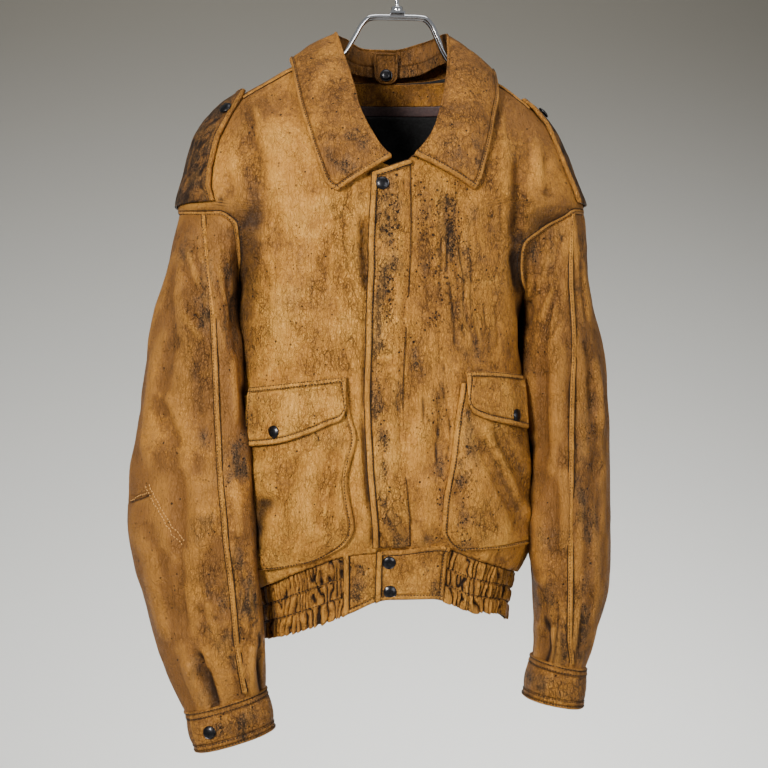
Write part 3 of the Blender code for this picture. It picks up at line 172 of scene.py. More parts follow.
SLEEVE_LEFT = [
    (0.00, 0.2270, -0.3250, 0.1500, -0.4200, -0.006, 0.074, 0.000, 0.45),
    (0.04, 0.2290, -0.3437, 0.1492, -0.4285, -0.008, 0.074, 0.004, 0.42),
    (0.13, 0.2305, -0.3905, 0.1480, -0.4620, -0.013, 0.072, 0.008, 0.40),
    (0.22, 0.2370, -0.4274, 0.1485, -0.5000, -0.017, 0.070, 0.012, 0.42),
    (0.33, 0.2487, -0.4829, 0.1510, -0.5504, -0.021, 0.069, 0.014, 0.50),
    (0.45, 0.2545, -0.5384, 0.1545, -0.5930, -0.025, 0.068, 0.015, 0.56),
    (0.57, 0.2590, -0.6248, 0.1565, -0.6500, -0.029, 0.067, 0.015, 0.60),
    (0.68, 0.2583, -0.6900, 0.1580, -0.7000, -0.033, 0.066, 0.014, 0.62),
    (0.77, 0.2570, -0.7400, 0.1588, -0.7400, -0.036, 0.064, 0.013, 0.62),
    (0.85, 0.2520, -0.7850, 0.1600, -0.7830, -0.038, 0.061, 0.012, 0.61),
    (0.93, 0.2340, -0.8380, 0.1620, -0.8240, -0.040, 0.056, 0.010, 0.54),
    (0.975, 0.2258, -0.8600, 0.1635, -0.8460, -0.041, 0.051, 0.008, 0.46),
    (1.00, 0.2228, -0.8690, 0.1615, -0.8555, -0.041, 0.046, 0.006, 0.40),
]
# Cuff rings from the sleeve down.
CUFF_COLUMNS = ("out_x", "out_z", "in_x", "in_z", "mid_y", "half_y")
CUFF_RIGHT = [
    (-0.2570, -0.9158, -0.1597, -0.8880, -0.047, 0.0385),
    (-0.2508, -0.9431, -0.1540, -0.9115, -0.047, 0.0385),
    (-0.2440, -0.9640, -0.1490, -0.9370, -0.047, 0.0390),
]
CUFF_LEFT = [
    (0.2233, -0.8706, 0.1590, -0.8566, -0.041, 0.048),
    (0.2205, -0.8990, 0.1530, -0.8830, -0.041, 0.048),
    (0.2190, -0.9190, 0.1478, -0.9055, -0.041, 0.049),
]

# Collar sections from the wearer's right front end, round the back of the
# neck, to the left front end. fold is the top roll, edge the outer edge;
# lift is the edge's height off the torso, bulge the leaf's fullness.
COLLAR_COLUMNS = ("fold_x", "fold_y", "fold_z", "edge_x", "edge_z", "side",
                  "lift", "bulge")
FRONT, SIDE_LINE, BACK = -1, 0, 1
COLLAR = [
    (-0.0182, -0.1270, -0.2713, -0.0811, -0.3112, FRONT, 0.006, 0.005),
    (-0.0304, -0.1240, -0.2579, -0.0934, -0.3029, FRONT, 0.006, 0.007),
    (-0.0410, -0.1120, -0.2390, -0.1020, -0.2810, FRONT, 0.007, 0.009),
    (-0.0523, -0.0930, -0.2116, -0.1127, -0.2431, FRONT, 0.007, 0.010),
    (-0.0610, -0.0640, -0.1704, -0.1221, -0.2062, FRONT, 0.008, 0.011),
    (-0.0689, -0.0340, -0.1382, -0.1280, -0.1709, FRONT, 0.013, 0.008),
    (-0.0765, 0.0080, -0.1024, -0.1310, -0.1385, SIDE_LINE, 0.007, 0.003),
    (-0.0616, 0.0500, -0.1021, -0.1040, -0.1540, BACK, 0.011, 0.002),
    (-0.0371, 0.0780, -0.1086, -0.0627, -0.1660, BACK, 0.012, 0.008),
    (0.0020, 0.0880, -0.1085, 0.0020, -0.1750, BACK, 0.012, 0.007),
    (0.0400, 0.0780, -0.1010, 0.0700, -0.1680, BACK, 0.012, 0.008),
    (0.0582, 0.0450, -0.0985, 0.1000, -0.1600, BACK, 0.011, 0.002),
    (0.0640, 0.0080, -0.1036, 0.1200, -0.1495, SIDE_LINE, 0.011, 0.003),
    (0.0606, -0.0340, -0.1396, 0.1176, -0.1864, FRONT, 0.013, 0.008),
    (0.0537, -0.0640, -0.1757, 0.1087, -0.2183, FRONT, 0.008, 0.011),
    (0.0431, -0.0930, -0.2090, 0.1008, -0.2485, FRONT, 0.007, 0.010),
    (0.0325, -0.1120, -0.2369, 0.0924, -0.2765, FRONT, 0.007, 0.009),
    (0.0206, -0.1240, -0.2550, 0.0850, -0.2987, FRONT, 0.006, 0.007),
    (0.0084, -0.1290, -0.2686, 0.0786, -0.3073, FRONT, 0.006, 0.005),
]

# Storm flap over the centre front: left and right edges down its length.
FLAP_COLUMNS = ("z", "left", "right")
FLAP = [(-0.2905, -0.0395, 0.0045), (-0.3400, -0.0420, 0.0045),
        (-0.3900, -0.0440, 0.0030), (-0.4353, -0.0450, 0.0014),
        (-0.4900, -0.0465, -0.0030), (-0.5493, -0.0479, -0.0050),
        (-0.6000, -0.0470, -0.0050), (-0.6500, -0.0430, -0.0010),
        (-0.6900, -0.0395, 0.0020), (-0.7160, -0.0380, 0.0035)]

# Pockets: rows of left and right edges. lift is the pocket's fullness.
POCKET_COLUMNS = ("left", "left_z", "right", "right_z")
BAG_RIGHT = [(-0.1660, -0.5440, -0.0690, -0.5400), (-0.1665, -0.5700, -0.0650, -0.5680),
             (-0.1665, -0.5980, -0.0590, -0.5937), (-0.1665, -0.6450, -0.0690, -0.6415),
             (-0.1655, -0.6980, -0.0615, -0.6929), (-0.1650, -0.7200, -0.0690, -0.7110),
             (-0.1645, -0.7390, -0.0860, -0.7230), (-0.1640, -0.7500, -0.1150, -0.7340)]
BAG_LEFT = [(0.0620, -0.5300, 0.1330, -0.5330), (0.0550, -0.5720, 0.1360, -0.5740),
            (0.0490, -0.6206, 0.1390, -0.6220), (0.0400, -0.6668, 0.1410, -0.6690),
            (0.0380, -0.6960, 0.1410, -0.6980), (0.0470, -0.7130, 0.1390, -0.7140),
            (0.0640, -0.7215, 0.1365, -0.7205)]
# Flaps: top and bottom edges across.
POCKET_FLAP_COLUMNS = ("x", "top", "bottom")
POCKET_FLAP_RIGHT = [(-0.1670, -0.5345, -0.6035), (-0.1411, -0.5310, -0.5995),
                     (-0.1118, -0.5275, -0.5890), (-0.0900, -0.5250, -0.5790),
                     (-0.0765, -0.5235, -0.5731), (-0.0700, -0.5230, -0.5640)]
POCKET_FLAP_LEFT = [(0.0660, -0.5175, -0.5560), (0.0720, -0.5165, -0.5650),
                    (0.0880, -0.5165, -0.5725), (0.1120, -0.5180, -0.5790),
                    (0.1320, -0.5205, -0.5850)]

# Epaulettes: rows from the pointed tip to the armhole seam: the ring angle of
# the edge behind the shoulder line and x of the edge in front of it.
EPAULETTE_COLUMNS = ("z", "behind", "front_x")
EPAULETTE_RIGHT = [(-0.1810, 176.0, -0.1830), (-0.1925, 173.0, -0.1880),
                   (-0.2120, 172.0, -0.1990), (-0.2430, 171.0, -0.2135),
                   (-0.2800, 170.0, -0.2220), (-0.3020, 170.0, -0.2235),
                   (-0.3190, 170.0, -0.2190)]
EPAULETTE_LEFT = [(-0.1880, 366.0, 0.1480), (-0.1985, 376.0, 0.1610),
                  (-0.2195, 380.0, 0.1755), (-0.2500, 380.0, 0.1850),
                  (-0.2810, 380.0, 0.1960), (-0.3020, 380.0, 0.2050),
                  (-0.3150, 380.0, 0.2095)]

# Snap caps on the front: place, and how far the cap's seat is off the torso.
SNAP_COLUMNS = ("x", "z", "seat")
SNAPS = {
    "snap_flap_top": (-0.0292, -0.3021, 0.0048),
    "snap_waist_upper": (-0.0205, -0.7354, 0.0016),
    "snap_waist_lower": (-0.0189, -0.7703, 0.0008),
    "snap_pocket_right": (-0.1433, -0.5862, 0.0134),
    "snap_pocket_left": (0.1195, -0.5686, 0.0136),
    "snap_epaulette_right": (-0.2045, -0.2085, 0.0060),
}

# Hanger wire, centre line, right of the middle and left of the middle.
HANGER_COLUMNS = ("x", "z", "half_gap")
HANGER_TOP_Z = -0.0840
HANGER_WIRE = [
    (-0.1960, -0.2030, 0.0120), (-0.1500, -0.1800, 0.0110),
    (-0.1080, -0.1590, 0.0090), (-0.0790, -0.1425, 0.0075),
    (-0.0640, -0.1280, 0.0070), (-0.0510, -0.1070, 0.0065),
    (-0.0420, -0.0920, 0.0060), (-0.0330, -0.0850, 0.0058),
    (-0.0200, -0.0838, 0.0056), (0.0000, -0.0838, 0.0056),
    (0.0200, -0.0838, 0.0056), (0.0330, -0.0850, 0.0058),
    (0.0420, -0.0930, 0.0060), (0.0500, -0.1100, 0.0063),
    (0.0605, -0.1310, 0.0066), (0.0760, -0.1490, 0.0072),
    (0.1000, -0.1680, 0.0085), (0.1260, -0.1865, 0.0095),
    (0.1480, -0.2030, 0.0100),
]


# ------------------------------------------------------------- small tools
def column(table, columns, name):
    at = columns.index(name)
    return np.array([row[at] for row in table], float)


def smooth_read(xs, ys, x):
    """Cubic through the table's rows, with slopes limited so that it never
    overshoots them."""
    xs, ys = np.asarray(xs, float), np.asarray(ys, float)
    if xs[0] > xs[-1]:
        xs, ys = xs[::-1], ys[::-1]
    x = np.clip(np.asarray(x, float), xs[0], xs[-1])
    h = np.diff(xs)
    d = np.diff(ys) / h
    m = np.zeros(len(xs))
    m[0], m[-1] = d[0], d[-1]
    for i in range(1, len(xs) - 1):
        if d[i - 1] * d[i] > 0:
            w1, w2 = 2 * h[i] + h[i - 1], h[i] + 2 * h[i - 1]
            m[i] = (w1 + w2) / (w1 / d[i - 1] + w2 / d[i])
    i = np.clip(np.searchsorted(xs, x, side="right") - 1, 0, len(h) - 1)
    t = (x - xs[i]) / h[i]
    return ((1 + 2 * t) * (1 - t) ** 2 * ys[i] + t * (1 - t) ** 2 * h[i] * m[i]
            + t * t * (3 - 2 * t) * ys[i + 1] + t * t * (t - 1) * h[i] * m[i + 1])


def step(a, b, x):
    t = np.clip((x - a) / (b - a), 0.0, 1.0)
    return t * t * (3 - 2 * t)


def unit(v):
    return v / np.maximum(np.linalg.norm(v, axis=-1, keepdims=True), 1e-12)


# ------------------------------------------------------------ torso surface
def torso_value(name, z):
    return smooth_read(column(TORSO, TORSO_COLUMNS, "z"),
                       column(TORSO, TORSO_COLUMNS, name), z)


def waist(name, phi):
    angle = np.degrees(np.asarray(phi, float)) % 360.0
    return smooth_read(column(WAIST, WAIST_COLUMNS, "angle"),
                       column(WAIST, WAIST_COLUMNS, name), angle)


def ring_z(phi, z):
    """The height at which the ring table is read, so that the narrow waist
    follows the waist seam as it rises towards the centre front."""
    return z + (WAIST_REFERENCE - waist("seam", phi)) * step(-0.62, -0.70, z)


def torso(phi, z):
    phi, z = np.broadcast_arrays(np.asarray(phi, float), np.asarray(z, float))
    zz = ring_z(phi, z)
    left, right = torso_value("left", zz), torso_value("right", zz)
    c, s = np.cos(phi), np.sin(phi)
    power = 2.0 / torso_value("square", zz)
    half = ((right - left) / 2 + torso_value("widen", zz) * step(-0.35, 0.55, s)
            + torso_value("flare", zz) * step(0.10, 0.75, s))
    x = (left + right) / 2 + half * np.sign(c) * np.abs(c) ** power
    depth = np.where(s < 0, torso_value("front", zz), torso_value("back", zz))
    y = depth * np.sign(s) * np.abs(s) ** power
    return np.stack([x, y, z], -1)


def torso_normal(phi, z):
    e, f = 0.03, 0.003
    du = torso(np.asarray(phi) + e, z) - torso(np.asarray(phi) - e, z)
    dv = torso(phi, np.asarray(z) + f) - torso(phi, np.asarray(z) - f)
    return unit(np.cross(du, dv))


def phi_of(x, z, back=False):
    """The ring angle at which the front (or back) passes through x."""
    lo, hi = (0.0, math.pi) if back else (math.pi, 2 * math.pi)
    for _ in range(50):
        mid = (lo + hi) / 2
        right = float(torso(mid, z)[0]) > x
        if right == back:
            lo = mid
        else:
            hi = mid
    return (lo + hi) / 2


NECK_SEAM_COLUMNS = ("u", "x", "y", "z")
NECK_SEAM = [   # inside the neck opening, just above the panels' top edges
    (0.0, -0.0230, -0.1060, -0.2700), (2.0, -0.0490, -0.0950, -0.2450),
    (4.0, -0.0760, -0.0560, -0.1880), (5.0, -0.0850, -0.0290, -0.1520),
    (6.0, -0.0880, 0.0100, -0.1300), (7.0, -0.0700, 0.0480, -0.1330),
    (8.0, -0.0420, 0.0720, -0.1420), (9.0, -0.0060, 0.0800, -0.1440),
    (10.0, 0.0300, 0.0720, -0.1420), (11.0, 0.0560, 0.0460, -0.1330),
    (12.0, 0.0770, 0.0100, -0.1290), (13.0, 0.0745, -0.0290, -0.1520),
    (14.0, 0.0610, -0.0560, -0.1900), (16.0, 0.0340, -0.0950, -0.2450),
    (18.0, 0.0030, -0.1060, -0.2700),
]
# ------------------------------------------------------------ creases, listed
# depth in mm (minus is a trough), half width in mm, kind, path of (x, z) in mm
CREASE_COLUMNS = ("depth", "width", "kind", "path")
CREASES_FRONT = [
    (0.9, 2.6, "soft", ((-83, -362), (-87, -392), (-89, -412), (-85, -435))),
    (0.8, 2.2, "soft", ((-76, -358), (-80, -387), (-82, -406))),
    (0.9, 2.4, "soft", ((-67, -374), (-72, -401), (-79, -435), (-76, -460))),
    (-0.9, 2.4, "soft", ((-73, -392), (-76, -417), (-81, -442), (-78, -469))),
    (0.7, 2.2, "soft", ((-62, -326), (-66, -351), (-70, -374))),
    (-0.8, 2.2, "soft", ((-69, -321), (-73, -346), (-76, -367))),
    (0.9, 3.0, "soft", ((-67, -456), (-71, -478), (-65, -506), (-59, -531))),
    (-0.9, 2.6, "soft", ((-75, -481), (-70, -501), (-63, -526))),
    (0.7, 2.2, "soft", ((-54, -435), (-52, -469), (-55, -499))),
    (-0.7, 2.0, "soft", ((-91, -367), (-94, -392), (-92, -417))),
    (0.6, 2.0, "soft", ((-58, -293), (-60, -316), (-58, -337))),
    (-0.6, 1.8, "soft", ((-63, -288), (-66, -309), (-68, -325))),
    (-0.6, 1.8, "soft", ((-53, -297), (-54, -325), (-54, -346))),
    (-6.5, 6.0, "soft", ((-50, -334), (-49, -367), (-48, -399), (-44, -435))),
    (2.2, 6.0, "soft", ((-64, -351), (-63, -385), (-55, -424), (-50, -449))),
    (-3.6, 3.2, "soft", ((-47, -435), (-46, -481), (-47, -526), (-48, -572))),
    (-6.0, 3.2, "soft", ((-53, -560), (-50, -586), (-48, -620), (-45, -654), (-43, -684))),
    (-3.0, 3.4, "soft", ((-43, -654), (-39, -686), (-36, -721))),
    (2.0, 6.0, "soft", ((-57, -481), (-58, -526), (-56, -572))),
    (2.4, 7.0, "soft", ((-52, -663), (-48, -690), (-51, -716))),
    (-6.0, 16.0, "soft", ((-184, -232), (-177, -272), (-173, -308), (-166, -361))),
    (2.2, 14.0, "soft", ((-165, -209), (-150, -261), (-136, -320), (-127, -378))),
    (-2.2, 15.0, "soft", ((-105, -316), (-98, -358), (-102, -412))),
    (1.8, 15.0, "soft", ((-123, -435), (-134, -480), (-132, -517))),
    (-2.0, 12.0, "soft", ((-141, -292), (-148, -343), (-152, -391))),
    (-1.6, 9.0, "soft", ((-122, -249), (-116, -293), (-100, -321))),
    (-2.0, 7.0, "soft", ((-205, -281), (-203, -307), (-207, -325))),
    (1.6, 5.0, "soft", ((-196, -236), (-199, -271), (-193, -307))),
    (-0.8, 3.0, "soft", ((-165, -181), (-156, -206), (-140, -220))),
    (-1.2, 4.0, "soft", ((-183, -205), (-177, -232), (-180, -258))),
    (1.0, 4.0, "soft", ((-174, -200), (-168, -227), (-170, -255))),
    (-0.7, 2.2, "soft", ((-75, -300), (-64, -321), (-66, -346))),
    (-0.7, 2.6, "soft", ((-191, -355), (-180, -336), (-170, -315))),
    (-0.8, 2.2, "soft", ((-166, -390), (-159, -420), (-156, -455))),
    (0.7, 2.4, "soft", ((-159, -379), (-152, -416), (-150, -448))),
    (-1.1, 2.0, "soft", ((52, -361), (55, -394), (60, -416), (58, -448), (65, -483))),
    (0.8, 2.6, "soft", ((57, -361), (61, -391), (65, -416), (64, -446), (70, -478))),
    (-0.9, 1.8, "soft", ((64, -393), (65, -430), (74, -464), (83, -499))),
    (0.7, 2.2, "soft", ((70, -397), (71, -432), (81, -464), (89, -494))),
    (-0.8, 2.0, "soft", ((44, -412), (54, -448), (58, -485), (56, -517))),
    (-0.9, 2.0, "soft", ((46, -306), (45, -338), (49, -361))),
    (0.7, 2.4, "soft", ((39, -308), (39, -338), (42, -366))),
    (-0.7, 1.8, "soft", ((78, -319), (78, -349), (82, -379))),
    (0.6, 2.2, "soft", ((84, -323), (85, -356), (90, -383))),
    (-0.7, 2.0, "soft", ((93, -283), (96, -318), (97, -355))),
    (-0.7, 2.0, "soft", ((107, -294), (109, -332), (108, -371))),
    (0.7, 2.4, "soft", ((115, -277), (116, -322), (114, -364))),
    (-0.6, 1.8, "soft", ((108, -218), (110, -252), (110, -282))),
    (0.6, 2.2, "soft", ((120, -207), (120, -239), (121, -270))),
    (-0.6, 2.0, "soft", ((19, -378), (21, -407), (20, -435))),
    (-0.6, 2.0, "soft", ((33, -458), (37, -487), (37, -517))),
    (0.6, 2.2, "soft", ((27, -469), (30, -494), (30, -522))),
    (-0.6, 2.0, "soft", ((103, -433), (108, -468), (106, -498))),
    (-7.5, 9.0, "soft", ((138, -256), (135, -300), (134, -335), (130, -374))),
    (-5.0, 8.0, "soft", ((130, -358), (132, -408), (141, -466), (142, -517))),
    (2.6, 9.0, "soft", ((158, -233), (162, -272), (166, -310))),
    (1.8, 9.0, "soft", ((120, -231), (120, -282), (116, -329))),
    (-2.0, 6.0, "soft", ((173, -255), (167, -286), (175, -314))),
    (-1.0, 3.2, "soft", ((144, -312), (160, -304), (175, -310))),
    (1.0, 4.0, "soft", ((139, -333), (156, -323), (175, -319))),
    (-0.8, 2.6, "soft", ((152, -236), (148, -265), (151, -290))),
    (-2.0, 14.0, "soft", ((26, -308), (21, -366), (26, -423))),
    (1.6, 14.0, "soft", ((74, -296), (80, -365), (90, -434))),
    (-1.6, 12.0, "soft", ((47, -526), (37, -584), (27, -629))),
    (1.6, 10.0, "soft", ((19, -526), (15, -584), (11, -640))),
    (-1.4, 9.0, "soft", ((2, -469), (7, -538), (4, -595))),
    (1.5, 8.0, "soft", ((25, -629), (20, -675), (24, -710))),
    (-1.2, 3.4, "soft", ((13, -686), (24, -710), (39, -725))),
    (1.4, 4.0, "soft", ((6, -686), (16, -712), (32, -730))),
    (-0.9, 2.4, "soft", ((27, -686), (38, -710), (46, -725))),
    (-1.2, 3.0, "soft", ((-136, -742), (-131, -754), (-122, -763))),
    (1.4, 3.6, "soft", ((-122, -741), (-115, -751), (-108, -758))),
    (-1.4, 3.0, "soft", ((-102, -736), (-97, -745), (-88, -752))),
    (1.5, 3.6, "soft", ((-86, -728), (-77, -736), (-72, -745))),
    (-1.6, 3.0, "soft", ((72, -725), (80, -736), (88, -743))),
    (1.6, 3.6, "soft", ((86, -726), (97, -736), (106, -744))),
    (-1.6, 3.0, "soft", ((106, -727), (115, -738), (125, -746))),
]
CREASES_STORM_FLAP = [
    (-0.7, 1.6, "soft", ((-27, -330), (-34, -339), (-39, -350))),
    (0.6, 1.6, "soft", ((-25, -339), (-31, -348), (-38, -362))),
    (-0.7, 1.6, "soft", ((-26, -350), (-32, -362), (-38, -373))),
    (-0.6, 1.5, "soft", ((-27, -366), (-33, -378), (-36, -387))),
    (-0.6, 1.6, "soft", ((-13, -309), (-20, -325), (-25, -337))),
    (-0.5, 1.6, "soft", ((-4, -316), (-11, -334), (-18, -348))),
    (-1.0, 2.4, "soft", ((-4, -292), (-4, -311), (-6, -327))),
    (-1.4, 2.8, "soft", ((-29, -681), (-19, -695), (-6, -715))),
    (1.3, 3.0, "soft", ((-26, -672), (-14, -688), (-1, -709))),
    (-1.3, 2.6, "soft", ((-20, -669), (-8, -686), (2, -702))),
    (1.2, 3.0, "soft", ((-13, -663), (-4, -677), (3, -691))),
    (-1.0, 2.2, "soft", ((-35, -695), (-25, -712), (-15, -724))),
    (-1.2, 4.0, "soft", ((-11, -536), (-7, -572), (-9, -602))),
    (1.2, 4.5, "soft", ((-20, -545), (-18, -584), (-16, -618))),
    (-0.8, 3.0, "soft", ((-28, -577), (-30, -606), (-26, -634))),
    (-1.2, 5.0, "soft", ((-20, -385), (-23, -430), (-25, -469))),
    (1.0, 5.0, "soft", ((-9, -385), (-10, -435), (-14, -481))),
    (-0.8, 3.0, "soft", ((-36, -504), (-27, -510), (-14, -506))),
    (-1.0, 4.0, "soft", ((-14, -629), (-11, -652), (-5, -672))),
]
CREASES_BAG_RIGHT = [
    (-4.2, 10.0, "soft", ((-78, -595), (-88, -629), (-94, -663), (-98, -704))),
    (3.0, 11.0, "soft", ((-98, -602), (-109, -636), (-120, -677), (-127, -710))),
    (-2.6, 9.0, "soft", ((-123, -609), (-134, -648), (-145, -688))),
    (-0.8, 9.0, "soft", ((-156, -649), (-165, -676), (-171, -708))),
    (2.4, 9.0, "soft", ((-147, -614), (-154, -638), (-150, -665))),
    (2.4, 7.0, "soft", ((-68, -608), (-74, -640), (-77, -670), (-74, -702))),
    (-1.2, 3.0, "soft", ((-87, -677), (-78, -686), (-71, -700))),
    (-1.2, 3.2, "soft", ((-122, -716), (-102, -709), (-82, -700))),
    (-0.9, 2.6, "soft", ((-170, -604), (-170, -623), (-165, -639))),
    (0.9, 2.6, "soft", ((-133, -604), (-127, -620), (-129, -636))),
    (-0.8, 2.4, "soft", ((-141, -602), (-138, -621), (-142, -635))),
]
CREASES_BAG_LEFT = [
    (3.4, 9.0, "lip", ((75, -572), (95, -610), (115, -650), (129, -681), (145, -710))),
    (-3.6, 8.0, "soft", ((93, -577), (110, -608), (128, -646), (143, -683))),
    (2.6, 10.0, "soft", ((63, -607), (74, -646), (87, -683))),
    (-1.8, 7.0, "soft", ((53, -630), (58, -664), (63, -699))),
    (-1.0, 2.6, "soft", ((80, -602), (94, -635), (110, -670))),
    (-0.8, 2.2, "soft", ((111, -592), (127, -623), (141, -654))),
    (-0.9, 2.2, "soft", ((70, -687), (90, -697), (110, -706))),
    (-0.8, 2.0, "soft", ((84, -664), (97, -684), (107, -701))),
]
CREASES_POCKET_FLAP_RIGHT = [
    (-1.4, 10.0, "soft", ((-166, -540), (-165, -568), (-161, -592))),
    (1.4, 12.0, "soft", ((-134, -540), (-127, -565), (-123, -586))),
    (-0.8, 5.0, "soft", ((-102, -533), (-98, -554), (-93, -572))),
    (0.8, 5.0, "soft", ((-85, -531), (-83, -549), (-82, -565))),
    (-0.6, 2.4, "soft", ((-144, -542), (-144, -559), (-141, -572))),
]
CREASES_POCKET_FLAP_LEFT = [
    (-1.0, 6.0, "soft", ((83, -531), (93, -550), (106, -564))),
    (1.2, 7.0, "soft", ((109, -526), (112, -545), (117, -561))),
    (-0.8, 3.0, "soft", ((93, -531), (96, -540), (90, -552))),
]
CREASES_SLEEVE_RIGHT = [
    (-0.9, 2.6, "soft", ((-246, -364), (-240, -390), (-234, -415))),
    (0.9, 2.8, "soft", ((-253, -371), (-244, -397), (-237, -422))),
    (-1.0, 2.8, "soft", ((-262, -390), (-251, -406), (-237, -434))),
    (-1.1, 3.0, "soft", ((-256, -434), (-242, -455), (-230, -468))),
    (1.0, 3.2, "soft", ((-260, -445), (-246, -466), (-233, -482))),
    (-0.9, 2.4, "soft", ((-240, -480), (-230, -494), (-226, -510))),
    (-0.9, 2.6, "soft", ((-212, -376), (-205, -401), (-203, -429))),
    (0.8, 2.6, "soft", ((-216, -390), (-212, -417), (-207, -441))),
    (-1.0, 2.6, "soft", ((-196, -422), (-200, -448), (-198, -473))),
    (-2.2, 9.0, "soft", ((-295, -540), (-276, -573), (-258, -610))),
    (2.0, 9.0, "soft", ((-276, -536), (-260, -573), (-246, -610))),
    (-2.0, 8.0, "soft", ((-265, -469), (-279, -510), (-283, -550))),
    (2.0, 10.0, "soft", ((-249, -503), (-258, -550), (-253, -596))),
    (-2.4, 10.0, "soft", ((-256, -630), (-258, -688), (-260, -734))),
    (2.2, 10.0, "soft", ((-242, -630), (-240, -688), (-237, -746))),
    (-2.0, 8.0, "soft", ((-230, -712), (-221, -749), (-216, -786))),
    (-1.0, 2.6, "soft", ((-229, -742), (-219, -765), (-210, -788))),
    (-0.9, 2.4, "soft", ((-237, -781), (-230, -811), (-223, -839))),
    (1.0, 3.0, "soft", ((-230, -776), (-222, -807), (-214, -835))),
    (-1.8, 7.0, "soft", ((-283, -718), (-276, -769), (-265, -822))),
    (1.8, 8.0, "soft", ((-299, -734), (-288, -785), (-274, -838))),
    (-3.6, 3.2, "soft", ((-245, -839), (-234, -860), (-224, -885), (-221, -911))),
    (3.2, 5.0, "soft", ((-253, -846), (-244, -867), (-235, -890), (-231, -911))),
    (2.2, 5.0, "soft", ((-223, -846), (-214, -872), (-210, -902))),
    (-1.6, 3.2, "soft", ((-203, -839), (-198, -867), (-196, -898))),
    (-2.6, 3.0, "soft", ((-166, -833), (-169, -856), (-166, -879))),
    (2.0, 4.0, "soft", ((-176, -828), (-178, -856), (-175, -882))),
    (-1.0, 2.4, "soft", ((-184, -782), (-177, -807), (-180, -833))),
    (-0.9, 2.4, "soft", ((-196, -735), (-186, -763), (-180, -786))),
    (-1.4, 4.0, "soft", ((-191, -526), (-186, -561), (-184, -596))),
    (1.4, 5.0, "soft", ((-200, -492), (-198, -538), (-193, -584))),
    (-0.8, 2.6, "soft", ((-306, -584), (-295, -610), (-283, -630))),
    (1.2, 6.0, "soft", ((-198, -631), (-193, -677), (-191, -712))),
]
CREASES_SLEEVE_LEFT = [
    (-1.0, 1.8, "soft", ((189, -352), (183, -380), (174, -406))),
    (-0.9, 1.8, "soft", ((175, -387), (173, -399), (180, -404))),
    (-1.2, 2.2, "soft", ((185, -420), (175, -441), (170, -465), (168, -491))),
    (1.0, 2.6, "soft", ((180, -413), (170, -434), (162, -458))),
    (-0.8, 2.0, "soft", ((154, -387), (156, -413), (152, -434))),
    (-0.8, 2.0, "soft", ((147, -427), (154, -446), (149, -467))),
    (-0.9, 2.2, "soft", ((187, -453), (180, -463), (173, -477))),
    (2.6, 9.0, "soft", ((185, -474), (183, -514), (180, -562), (180, -609))),
    (-2.8, 8.0, "soft", ((167, -491), (165, -538), (165, -585), (167, -632))),
    (2.0, 8.0, "soft", ((153, -514), (153, -562), (155, -609))),
    (-1.8, 7.0, "soft", ((175, -632), (177, -691), (175, -750))),
    (1.8, 8.0, "soft", ((187, -621), (187, -680), (187, -739))),
    (1.8, 8.0, "soft", ((161, -668), (162, -727), (165, -786))),
    (-1.2, 2.6, "soft", ((212, -373), (216, -420), (221, -467))),
    (-1.6, 6.0, "soft", ((221, -467), (223, -526), (226, -585))),
    (1.6, 6.0, "soft", ((233, -491), (235, -550), (235, -597))),
    (-1.8, 6.0, "soft", ((233, -597), (230, -644), (233, -692))),
    (-1.0, 2.6, "soft", ((240, -623), (235, -637), (226, -649))),
    (-1.6, 5.0, "soft", ((218, -668), (216, -715), (218, -762))),
    (-3.2, 3.0, "soft", ((165, -814), (166, -835), (172, -856), (175, -870))),
    (2.8, 4.6, "soft", ((156, -818), (158, -840), (162, -861))),
    (2.2, 4.6, "soft", ((175, -812), (180, -838), (185, -864))),
    (-1.2, 2.6, "soft", ((212, -786), (210, -817), (206, -847))),
    (1.2, 3.4, "soft", ((205, -791), (202, -821), (199, -847))),
    (-1.1, 2.6, "soft", ((226, -763), (221, -793), (216, -819))),
    (-0.9, 2.4, "soft", ((159, -762), (166, -786), (168, -809))),
]
CREASES_COLLAR_RIGHT = [
    (-1.4, 4.0, "soft", ((-87, -219), (-73, -226), (-56, -225))),
    (1.2, 4.0, "soft", ((-87, -209), (-70, -216), (-56, -218))),
    (-1.0, 3.0, "soft", ((-75, -249), (-61, -253), (-49, -248))),
    (-1.2, 8.0, "soft", ((-108, -165), (-101, -189), (-94, -212))),
]
CREASES_COLLAR_LEFT = [
    (-1.3, 4.0, "soft", ((50, -207), (66, -202), (83, -190))),
    (1.1, 4.0, "soft", ((50, -217), (68, -212), (87, -200))),
    (-1.0, 5.0, "soft", ((42, -233), (57, -240), (68, -245))),
    (-1.0, 7.0, "soft", ((78, -162), (87, -186), (90, -209))),
]
